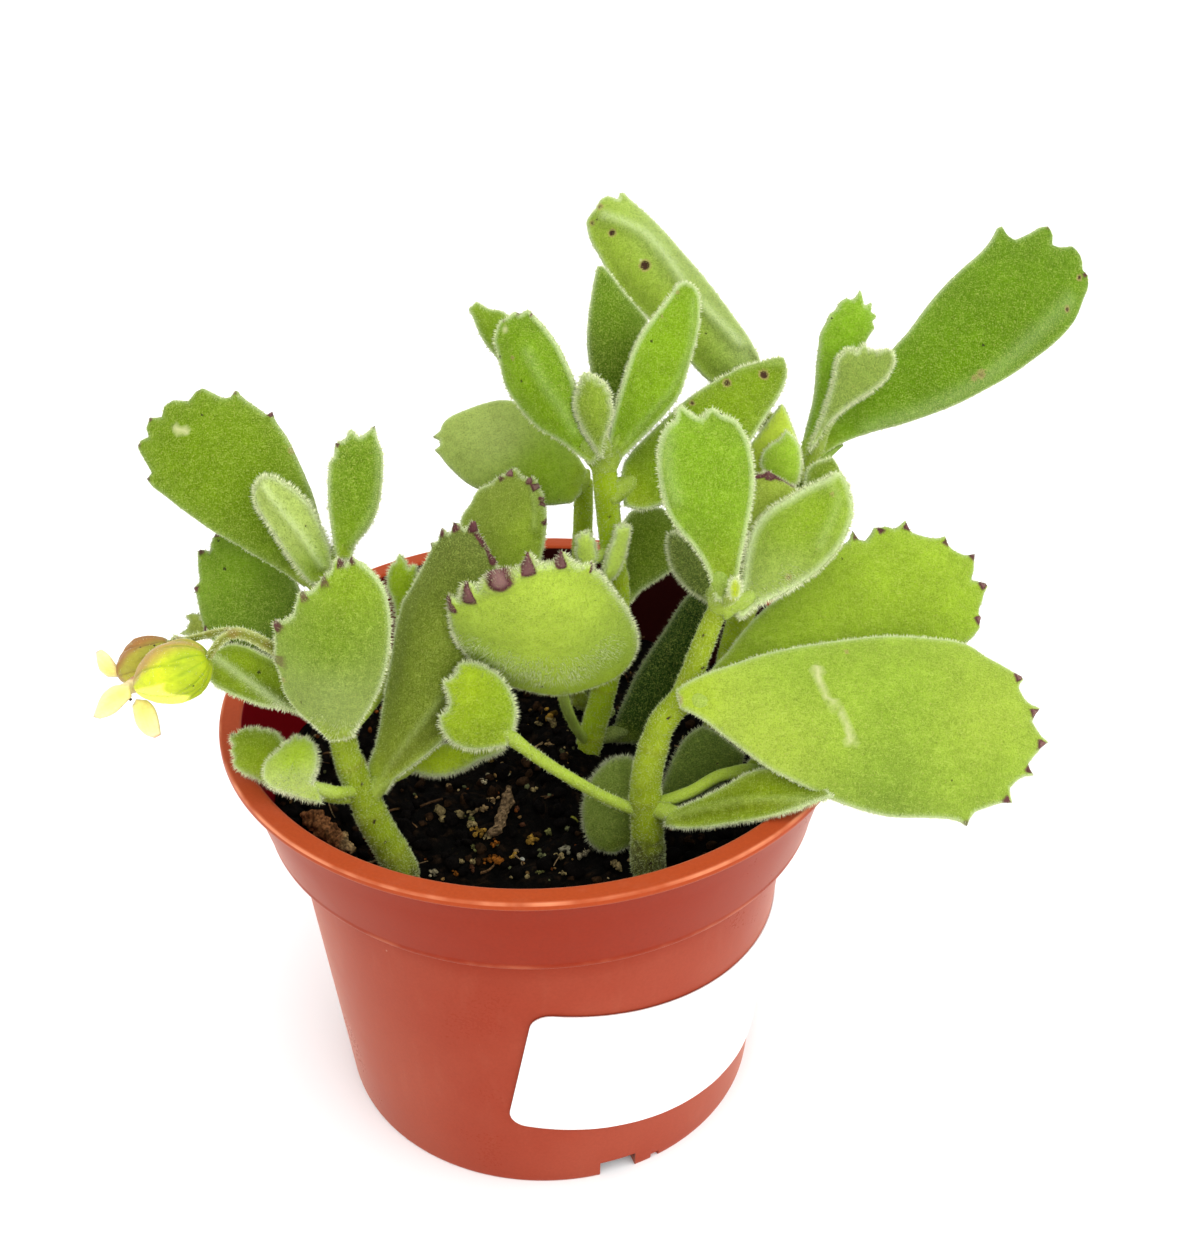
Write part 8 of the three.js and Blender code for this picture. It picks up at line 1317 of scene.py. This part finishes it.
# inner and far mark the inside wall for its painted shade, lip the lip top for its painted light, body the part below
# the collar, and the pale-edge attribute the painted highlights along the rim and collar edges
for key_, values in (
    ("inner", ((r_ < wall_in) & (z_ > FLOOR - 0.2) & (z_ < POT_HEIGHT - 0.35)).astype(float)),
    ("body", 1 - smoothstep(z_, COLLAR_Z - 2.0, COLLAR_Z - 0.2)),
    ("far", smoothstep(co[:, 0] + 0.3 * co[:, 1], -22.0, -4.0)),
    ("painted_edge_highlight", np.exp(-(((r_ - (RIM_RADIUS - 0.32)) / 0.20) ** 2)) * (z_ > POT_HEIGHT - 0.55) + 0.32 * np.exp(-(((z_ - COLLAR_Z - 0.5) / 0.45) ** 2)) * (r_ > COLLAR_BOTTOM_RADIUS - 0.4)),
    ("lip_painted_light", smoothstep(z_, POT_HEIGHT - LIP_THICKNESS - 0.4, POT_HEIGHT - LIP_THICKNESS + 0.4) * (r_ > LIP_INNER_RADIUS - 0.1)),
):
    at_ = me.attributes.new(key_, "FLOAT", "POINT")
    at_.data.foreach_set("value", values.astype(np.float32))
for c in cutters:
    bpy.data.objects.remove(c, do_unlink=True)
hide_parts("pot")


# ---------------------------------------------------------------- potting mix
def soil_top(x, y):
    base = SOIL_LEVEL + 0.9 * np.sin(0.16 * x + 1.1) * np.cos(0.19 * y - 0.4) + 0.5 * np.sin(0.43 * x - 0.31 * y) - 2.2 * (x * x + y * y) / 2000
    r = np.hypot(x, y)
    low = 59.5 + 0.3 * np.sin(0.5 * x) * np.cos(0.4 * y)
    f = smoothstep(r, 34, 42)
    return base * (1 - f) + np.maximum(base, low) * f


rows, sides = 74, 220
ang = 2 * np.pi * np.arange(sides) / sides
R = 44.6 * np.linspace(1, 0.012, rows) ** 0.85
xy = np.concatenate([np.stack([r * np.cos(ang + 0.5 * j * np.pi / sides), r * np.sin(ang + 0.5 * j * np.pi / sides)], 1) for j, r in enumerate(R)])
jig = rng.normal(0, 0.12, xy.shape)
rr = np.hypot(*xy.T)
xy = xy + jig * (rr < 44)[:, None]
z = soil_top(*xy.T)
p3 = np.column_stack([xy, z])
lump = fbm(p3, 3.4, 3, 4.2)
crumb = fbm(p3, 1.0, 3, 9.1)
z = z + 0.75 * lump + 0.55 * np.abs(crumb) + rng.normal(0, 0.06, len(z))
top = np.column_stack([xy, z])
skirt = []
for r, zz in ((44.3, 59.1), (41.0, 57.7), (38.2, 30.0), (BASE_RADIUS - WALL - 0.4, FLOOR + 0.3)):
    skirt.append(np.column_stack([r * np.cos(ang), r * np.sin(ang), np.full(sides, zz)]))
pts = np.vstack([*skirt[::-1], top, [[0, 0, z[-sides:].mean()], [0, 0, FLOOR + 0.3]]])
n = rows + len(skirt)
i, k = np.meshgrid(np.arange(n - 1), np.arange(sides), indexing="ij")
a, b = i * sides + k, i * sides + (k + 1) % sides
quad = np.stack([a, b, b + sides, a + sides], -1).reshape(-1, 4)
ks = np.arange(sides)
tri = np.vstack([np.stack([np.full(sides, n * sides), (n - 1) * sides + ks, (n - 1) * sides + (ks + 1) % sides], -1), np.stack([np.full(sides, n * sides + 1), (ks + 1) % sides, ks], -1)])
# near-black mix with lighter crumbs; the near-black is the mix's own dark colour with painted shade from the leaves
# above
tone_and_painted_light = np.full((len(pts), 3), (0.0022, 0.0018, 0.0014))
bright = smoothstep(np.r_[np.zeros(len(skirt) * sides), crumb, 0, 0], 0.25, 0.6)[:, None]
tone_and_painted_light = tone_and_painted_light * (1 - 0.5 * bright) + np.array((0.022, 0.012, 0.006)) * 0.5 * bright
P = Parts("tint")
P.add(pts, tri, quad, tint=tone_and_painted_light)
soil = P.build("potting_mix_bed", material=MAT["soil"], slot="potting_mix")
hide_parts("soil")


def icosphere(sub):
    t = (1 + 5**0.5) / 2
    v = [(-1, t, 0), (1, t, 0), (-1, -t, 0), (1, -t, 0), (0, -1, t), (0, 1, t), (0, -1, -t), (0, 1, -t), (t, 0, -1), (t, 0, 1), (-t, 0, -1), (-t, 0, 1)]
    f = [(0, 11, 5), (0, 5, 1), (0, 1, 7), (0, 7, 10), (0, 10, 11), (1, 5, 9), (5, 11, 4), (11, 10, 2), (10, 7, 6), (7, 1, 8), (3, 9, 4), (3, 4, 2), (3, 2, 6), (3, 6, 8), (3, 8, 9), (4, 9, 5), (2, 4, 11), (6, 2, 10), (8, 6, 7), (9, 8, 1)]
    v = [unit(p) for p in v]
    for _ in range(sub):
        cache, g = {}, []

        def mid(i, j):
            key = (min(i, j), max(i, j))
            if key not in cache:
                cache[key] = len(v)
                v.append(unit(v[i] + v[j]))
            return cache[key]

        for a, b, c in f:
            x, y, w = mid(a, b), mid(b, c), mid(c, a)
            g += [(a, x, w), (b, y, x), (c, w, y), (x, y, w)]
        f = g
    return np.array(v), np.array(f)


ICO0, ICO1, ICO2 = icosphere(0), icosphere(1), icosphere(2)


def pebble(parts, at, size, colour, ico=ICO1, rough=0.35, turn=None, **kw):
    v, f = ico
    q = v + rough * rng.normal(size=(1, 3)) * 0.2
    s = np.array(size)
    bumpy = 1 + rough * 0.5 * (np.sin(3.1 * v @ rng.normal(size=3) + rng.uniform(0, 6)) * np.sin(2.3 * v @ rng.normal(size=3)))
    q = v * bumpy[:, None] * s
    ax = unit(rng.normal(size=3))
    m = np.array(Matrix.Rotation(rng.uniform(0, 6.28), 3, Vector(ax))) if turn is None else np.array(turn)
    parts.add(q @ m.T + at, f, tint=colour, **kw)


G = Parts("tint")
kinds = [  # share, colour, size range in millimetres
    (0.14, (0.18, 0.105, 0.036), (0.20, 0.52)),
    (0.06, (0.31, 0.23, 0.11), (0.16, 0.40)),
    (0.05, (0.10, 0.105, 0.045), (0.25, 0.60)),
    (0.06, (0.15, 0.045, 0.010), (0.22, 0.55)),
    (0.50, (0.003, 0.0022, 0.0018), (0.6, 1.9)),
    (0.19, (0.022, 0.011, 0.005), (0.5, 1.4)),
]
share = np.cumsum([k[0] for k in kinds])
blocked = [(p["path"][1][0], p["path"][1][1]) for p in STEMS]
for _ in range(900):
    r = 44.0 * math.sqrt(rng.random())
    an = rng.uniform(0, 2 * np.pi)
    x, y = r * math.cos(an), r * math.sin(an)
    kind = kinds[int(np.searchsorted(share, rng.random() * share[-1]))]
    s = rng.uniform(*kind[2]) * rng.uniform(0.6, 1.0)
    r = min(r, 44.2 - s)
    x, y = r * math.cos(an), r * math.sin(an)
    zz = float(soil_top(np.array([x]), np.array([y]))[0]) + 0.45 + s * 0.12
    size = (s * rng.uniform(0.8, 1.2), s * rng.uniform(0.7, 1.1), s * rng.uniform(0.5, 0.9))
    col = np.array(kind[1]) * rng.uniform(0.7, 1.2)
    pebble(G, (x, y, zz), size, col, ICO1, 0.5)
for _ in range(70):  # root fibres and splinters
    r = 43.0 * math.sqrt(rng.random())
    an = rng.uniform(0, 2 * np.pi)
    x, y = r * math.cos(an), r * math.sin(an)
    zz = float(soil_top(np.array([x]), np.array([y]))[0]) + 0.75
    d = unit((rng.normal(), rng.normal(), rng.normal() * 0.25))
    L = rng.uniform(1.2, 4.2)
    m = 6
    u = np.linspace(-0.5, 0.5, m)[:, None]
    line = np.array((x, y, zz)) + d * L * u + unit(rng.normal(size=3)) * 0.35 * np.cos(3 * u)
    hr = np.hypot(line[:, 0], line[:, 1])
    line[:, :2] *= np.minimum(1, 43.9 / hr)[:, None]
    w = rng.uniform(0.08, 0.3)
    sp, st, sq = sweep(line, np.full(m, w), np.full(m, w * 0.5), (0.2, 0.3, 1), sides=6)
    G.add(sp, st, sq, tint=np.array([(0.12, 0.065, 0.028), (0.06, 0.032, 0.015), (0.22, 0.15, 0.075)][rng.integers(3)]))
for x, y, z, s, col in [(-16.69, -11.56, 61.45, 1.2, (0.3, 0.23, 0.1)), (-16.17, -13.16, 61.04, 0.8, (0.3, 0.23, 0.1)), (-13.58, -11.77, 60.76, 0.95, (0.3, 0.23, 0.1)), (-14.71, -12.73, 60.71, 0.45, (0.42, 0.36, 0.22)), (-11.79, -11.36, 60.52, 0.8, (0.3, 0.23, 0.1)), (-11.61, -12.68, 60.6, 0.8, (0.22, 0.22, 0.07)), (-11.76, -14.48, 60.76, 0.8, (0.3, 0.23, 0.1)), (-9.83, -10.44, 60.49, 0.95, (0.36, 0.24, 0.11)), (-8.02, -7.37, 60.23, 0.8, (0.36, 0.24, 0.11)), (-10.6, -17.36, 61.31, 1.35, (0.42, 0.24, 0.04)), (-10.9, -20.6, 60.85, 0.7, (0.22, 0.22, 0.07)), (-8.83, -17.99, 61.04, 0.8, (0.3, 0.23, 0.1)), (-7.7, -19.32, 60.58, 0.75, (0.3, 0.1, 0.014)), (-8.18, -22.26, 60.06, 0.8, (0.3, 0.1, 0.014)), (-7.23, -22.82, 59.8, 0.85, (0.3, 0.1, 0.014)), (-8.98, -22.95, 60.02, 0.75, (0.3, 0.1, 0.014)), (-5.0, -21.49, 59.66, 0.7, (0.42, 0.24, 0.04)), (-4.35, -20.53, 59.6, 0.6, (0.36, 0.24, 0.11)), (-3.42, -22.58, 59.71, 0.4, (0.6, 0.6, 0.5)), (-1.74, -17.69, 59.52, 1.15, (0.42, 0.24, 0.04)), (0.73, -15.82, 59.22, 0.7, (0.22, 0.22, 0.07)), (5.35, -13.8, 59.89, 0.9, (0.2, 0.2, 0.03)), (4.0, -15.26, 59.61, 0.5, (0.17, 0.18, 0.08)), (-3.3, -14.26, 60.02, 0.5, (0.1, 0.04, 0.02)), (-4.07, -10.82, 60.73, 0.5, (0.1, 0.04, 0.02)), (3.61, -21.55, 60.6, 1.0, (0.28, 0.26, 0.17)), (2.6, -23.22, 60.73, 0.85, (0.3, 0.23, 0.1)), (6.46, -22.24, 60.12, 1.15, (0.42, 0.36, 0.22)), (2.95, -27.12, 60.44, 0.6, (0.3, 0.23, 0.1)), (-0.26, -23.27, 60.6, 0.7, (0.17, 0.18, 0.08)), (-0.67, -20.53, 59.77, 0.4, (0.17, 0.18, 0.08)), (-0.67, -27.37, 60.94, 0.6, (0.22, 0.22, 0.07)), (-2.71, -27.95, 60.71, 0.4, (0.3, 0.23, 0.1)), (-5.05, -27.08, 60.04, 0.6, (0.3, 0.23, 0.1)), (-11.04, -23.06, 60.29, 0.6, (0.3, 0.23, 0.1)), (-11.34, -24.5, 59.91, 0.6, (0.1, 0.04, 0.02)), (-13.09, -23.17, 60.33, 0.5, (0.3, 0.23, 0.1)), (-14.0, -25.54, 59.83, 0.6, (0.3, 0.1, 0.014)), (-17.47, -24.83, 59.51, 0.8, (0.42, 0.36, 0.22)), (11.49, -26.24, 60.37, 1.2, (0.3, 0.23, 0.1)), (8.8, -20.15, 59.75, 0.9, (0.14, 0.11, 0.08)), (-8.35, 2.58, 60.98, 0.85, (0.2, 0.13, 0.03)), (-6.48, 1.6, 60.72, 0.4, (0.36, 0.24, 0.11)), (-9.02, -1.03, 60.5, 0.4, (0.42, 0.36, 0.22)), (-9.69, -2.92, 60.45, 0.65, (0.42, 0.36, 0.22)), (-5.48, -0.99, 60.33, 0.4, (0.42, 0.36, 0.22)), (-15.2, -4.19, 60.58, 0.7, (0.36, 0.24, 0.11)), (-12.86, -4.35, 60.62, 0.4, (0.17, 0.18, 0.08)), (-2.34, -5.59, 61.03, 0.5, (0.17, 0.18, 0.08)), (-1.03, -6.49, 61.12, 0.6, (0.3, 0.23, 0.1)), (1.28, -7.45, 60.54, 0.5, (0.17, 0.18, 0.08)), (3.76, 2.33, 61.97, 0.6, (0.17, 0.18, 0.08)), (1.65, 6.49, 60.84, 0.8, (0.36, 0.24, 0.11)), (1.72, 15.72, 60.42, 1.5, (0.42, 0.24, 0.04)), (2.36, 13.25, 60.16, 1.0, (0.3, 0.23, 0.1)), (0.24, 12.79, 60.57, 0.8, (0.3, 0.23, 0.1))]:  # crumbs of bark, clay and grit that lie on top
    if s < 0.55 or rng.random() < 0.15:
        pebble(G, (x, y, z), (s, s * rng.uniform(0.6, 0.95), s * 0.75), 0.62 * np.array(col), ICO1, 0.8)
        continue
    for q in range(8):
        off = rng.normal(0, 0.44 * s, 3) * (1, 1, 0.35)
        t = s * rng.uniform(0.26, 0.56)
        pebble(G, (x + off[0], y + off[1], z + off[2]), (t, t * rng.uniform(0.6, 1), t * 0.7), np.array(col) * rng.uniform(0.25, 0.95), ICO1, 0.9)
G.build("grit_and_bark", material=MAT["soil"], slot="potting_mix")


def chip(name, key, wide, high, colour, slot):
    path, r = TUBES[key]
    line, rr = catmull(path, 0.35, r)
    line = line + (0, 0, 1.1 if key == "bark_chip" else 0)
    m = len(line)
    s = np.linspace(0, 1, m)
    taper = 0.55 + 0.45 * np.sin(np.pi * np.clip(s * 0.9 + 0.06, 0, 1)) ** 0.5
    pts, tri, quad = sweep(line, rr * wide * taper, rr * high * taper, (0.3, 1, 0.0), sides=34, rough=0.42, seed=2.0)
    mid = np.vstack([np.repeat(line, 34, 0), line[:1], line[-1:]])
    pts = mid + (pts - mid) * (1 + 0.42 * fbm(pts, 0.9, 3, 6.0))[:, None]
    P = Parts("tint")
    tone = np.clip(0.15 + 1.7 * (fbm(pts * [1, 1, 2], 0.5, 3, 3.0) * 0.7 + 0.5), 0.12, 2.4)
    tint = np.array(colour) * tone[:, None]
    if key == "bark_chip":  # pale broken end
        pale = smoothstep(pts[:, 0] + 0.8 * fbm(pts, 1.2, 2, 1.0), -33.0, -31.2)[:, None]
        tint = tint * (1 - pale) + np.array((0.30, 0.20, 0.09)) * tone[:, None] * pale
    P.add(pts, tri, quad, tint=tint)
    ob = P.build(name, material=MAT["soil"], slot=slot)
    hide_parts(key)


chip("bark_flake", "bark_chip", 1.0, 0.8, (0.18, 0.075, 0.028), "bark")
chip("twig_splinter", "twig_bit", 0.90, 0.78, (0.135, 0.088, 0.045), "bark")

# ---------------------------------------------------------------- blank label
slope = (BODY_TOP_RADIUS - BASE_RADIUS) / (COLLAR_Z - BASE_BEVEL)
apex = BASE_BEVEL - BASE_RADIUS / slope
alpha = math.atan(slope)
L_LEFT, L_LEN, L_BOTTOM, L_WIDE, L_TILT, L_CORNER, L_CLEAR, L_THICK, L_BEARING, L_AT = -25.8, 70.0, -16.0, 28.1, math.radians(-7.2), 3.2, 0.3, 0.2, math.radians(-60.0), 28.0
middle = (L_AT - apex) / math.cos(alpha)


def on_pot(u, v, out):
    x = u * math.cos(L_TILT) - v * math.sin(L_TILT)
    y = middle + u * math.sin(L_TILT) + v * math.cos(L_TILT)
    rho = np.hypot(x, y)
    turn_ = np.arctan2(x, y) / math.sin(alpha) + L_BEARING
    z_ = apex + rho * math.cos(alpha)
    r = slope * (z_ - apex) + out
    return np.stack([r * np.cos(turn_), r * np.sin(turn_), z_], 1)


edge = []
for cx, cy, a0 in ((L_LEFT + L_LEN - L_CORNER, L_BOTTOM + L_WIDE - L_CORNER, 0), (L_LEFT + L_CORNER, L_BOTTOM + L_WIDE - L_CORNER, 90), (L_LEFT + L_CORNER, L_BOTTOM + L_CORNER, 180), (L_LEFT + L_LEN - L_CORNER, L_BOTTOM + L_CORNER, 270)):
    for k in range(9):
        t = math.radians(a0 + 90 * k / 8)
        edge.append((cx + L_CORNER * math.cos(t), cy + L_CORNER * math.sin(t)))
edge = np.array(edge)
dense = []
for p, q in zip(edge, np.roll(edge, -1, 0)):
    m = max(1, int(np.linalg.norm(q - p) / 0.9))
    dense += [p + (q - p) * k / m for k in range(m)]
edge = np.array(dense)
gx, gy = np.meshgrid(np.arange(edge[:, 0].min(), edge[:, 0].max(), 1.3), np.arange(edge[:, 1].min(), edge[:, 1].max(), 1.1))
c = np.stack([gx.ravel(), gy.ravel()], 1)
c = c[inside(edge, c)]
dd, _ = distance_to(edge, c)
c = np.vstack([c[dd > 0.7], ])
inner_edge = edge + 0.25 * np.array([unit(p) for p in (np.array([L_LEFT + L_LEN / 2, L_BOTTOM + L_WIDE / 2]) - edge)])
V, _, F, _, _, _ = delaunay_2d_cdt([Vector(p) for p in np.vstack([edge, inner_edge, c])], [], [list(range(len(edge)))], 1, 1e-5)
V2 = np.array([tuple(v) for v in V])
F = np.array([f for f in F if len(f) == 3])
a2 = (V2[F[:, 1], 0] - V2[F[:, 0], 0]) * (V2[F[:, 2], 1] - V2[F[:, 0], 1]) - (V2[F[:, 2], 0] - V2[F[:, 0], 0]) * (V2[F[:, 1], 1] - V2[F[:, 0], 1])
F[a2 < 0] = F[a2 < 0][:, [0, 2, 1]]
dist, _ = distance_to(edge, V2)
rim = dist < 1e-4
lift = 0.05 * np.exp(-dist / 1.2) + 0.035 * fbm(np.column_stack([V2 * [1, 1], np.zeros(len(V2))]), 6.0, 2, 1.0)
nv = len(V2)
outer = on_pot(V2[:, 0], V2[:, 1], L_CLEAR * 0.6 + L_THICK + np.where(rim, -0.06, 0.0) + lift)
innr = on_pot(V2[:, 0], V2[:, 1], np.full(nv, 0.06))
e = np.sort(np.concatenate([F[:, [0, 1]], F[:, [1, 2]], F[:, [2, 0]]]), 1)
key, first, count = np.unique(e[:, 0] * nv + e[:, 1], return_index=True, return_counts=True)
de = np.concatenate([F[:, [0, 1]], F[:, [1, 2]], F[:, [2, 0]]])[first[count == 1]]
wall = np.stack([de[:, 1], de[:, 0], de[:, 0] + nv, de[:, 1] + nv], 1)
P = Parts()
P.add(np.vstack([outer, innr]), np.vstack([F, F[:, ::-1] + nv]), wall)
label = P.build("label_sheet", material=MAT["paper"], slot="label_paper")
# face outwards
me = label.data
v0 = me.polygons[0]
if v0.normal.dot(Vector((v0.center.x, v0.center.y, 0)).normalized()) < 0:
    me.flip_normals()
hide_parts("label_blank")

# ---------------------------------------------------------------- water drops on leaves, one for each listed; none are listed
for x, y, z, r in []:
    v, f = ICO2
    P = Parts()
    P.add(v * (r, r * 0.95, r * 0.8) + (x, y, z), f)
    P.build("water_drop", material=MAT["water"], slot="leaf")

# ---------------------------------------------------------------- floor, light
bpy.ops.mesh.primitive_grid_add(x_subdivisions=6, y_subdivisions=6, size=6.0, location=(0, 0, 0))
floor = bpy.context.object
floor.name = "floor"
floor.data.materials.append(MAT["floor"])

world = bpy.data.worlds.new("studio")
bpy.context.scene.world = world
world.use_nodes = True
nt = world.node_tree
sky = nt.nodes["Background"]
direction = nt.nodes.new("ShaderNodeTexCoord").outputs["Generated"]
xyz = nt.nodes.new("ShaderNodeSeparateXYZ")
nt.links.new(direction, xyz.inputs[0])


def world_map(v, a, b, lo, hi):
    n_ = nt.nodes.new("ShaderNodeMapRange")
    n_.interpolation_type = "SMOOTHSTEP"
    nt.links.new(v, n_.inputs[0])
    for k, x in zip((1, 2, 3, 4), (a, b, lo, hi)):
        n_.inputs[k].default_value = x
    return n_.outputs[0]


def world_math(op, a, b):
    n_ = nt.nodes.new("ShaderNodeMath")
    n_.operation = op
    for k, x in enumerate((a, b)):
        if isinstance(x, bpy.types.NodeSocket):
            nt.links.new(x, n_.inputs[k])
        else:
            n_.inputs[k].default_value = x
    return n_.outputs[0]


# a light tent: white behind, beside and above the object, dimmer on the camera's side
front = world_map(xyz.outputs["Y"], -0.75, 0.35, SKY_FRONT, SKY_BACK)
side = world_map(xyz.outputs["X"], -0.6, 0.9, SKY_LEFT, SKY_RIGHT)
light = world_math("MULTIPLY", front, side)
seen = nt.nodes.new("ShaderNodeLightPath").outputs["Is Camera Ray"]
strength = world_math("ADD", world_math("MULTIPLY", light, world_math("SUBTRACT", 1.0, seen)), seen)
nt.links.new(strength, sky.inputs["Strength"])
sky.inputs["Color"].default_value = (1.0, 1.0, 1.0, 1.0)


def softbox(name, direction_, power, spread, colour=(1, 1, 1)):
    """A broad even light that comes from a direction, the same everywhere on the floor."""
    data = bpy.data.lights.new(name, "SUN")
    data.energy, data.angle, data.color = power, math.radians(spread), colour
    ob = bpy.data.objects.new(name, data)
    bpy.context.scene.collection.objects.link(ob)
    d = -Vector(direction_)
    ob.matrix_world = Matrix.Translation(Vector(direction_)) @ d.to_track_quat("-Z", "Y").to_matrix().to_4x4()
    return ob


softbox("key", KEY_FROM, KEY_POWER, KEY_SPREAD)
bpy.context.scene.view_settings.view_transform = "Standard"
bpy.context.scene.view_settings.look = "None"

bpy.context.view_layer.update()
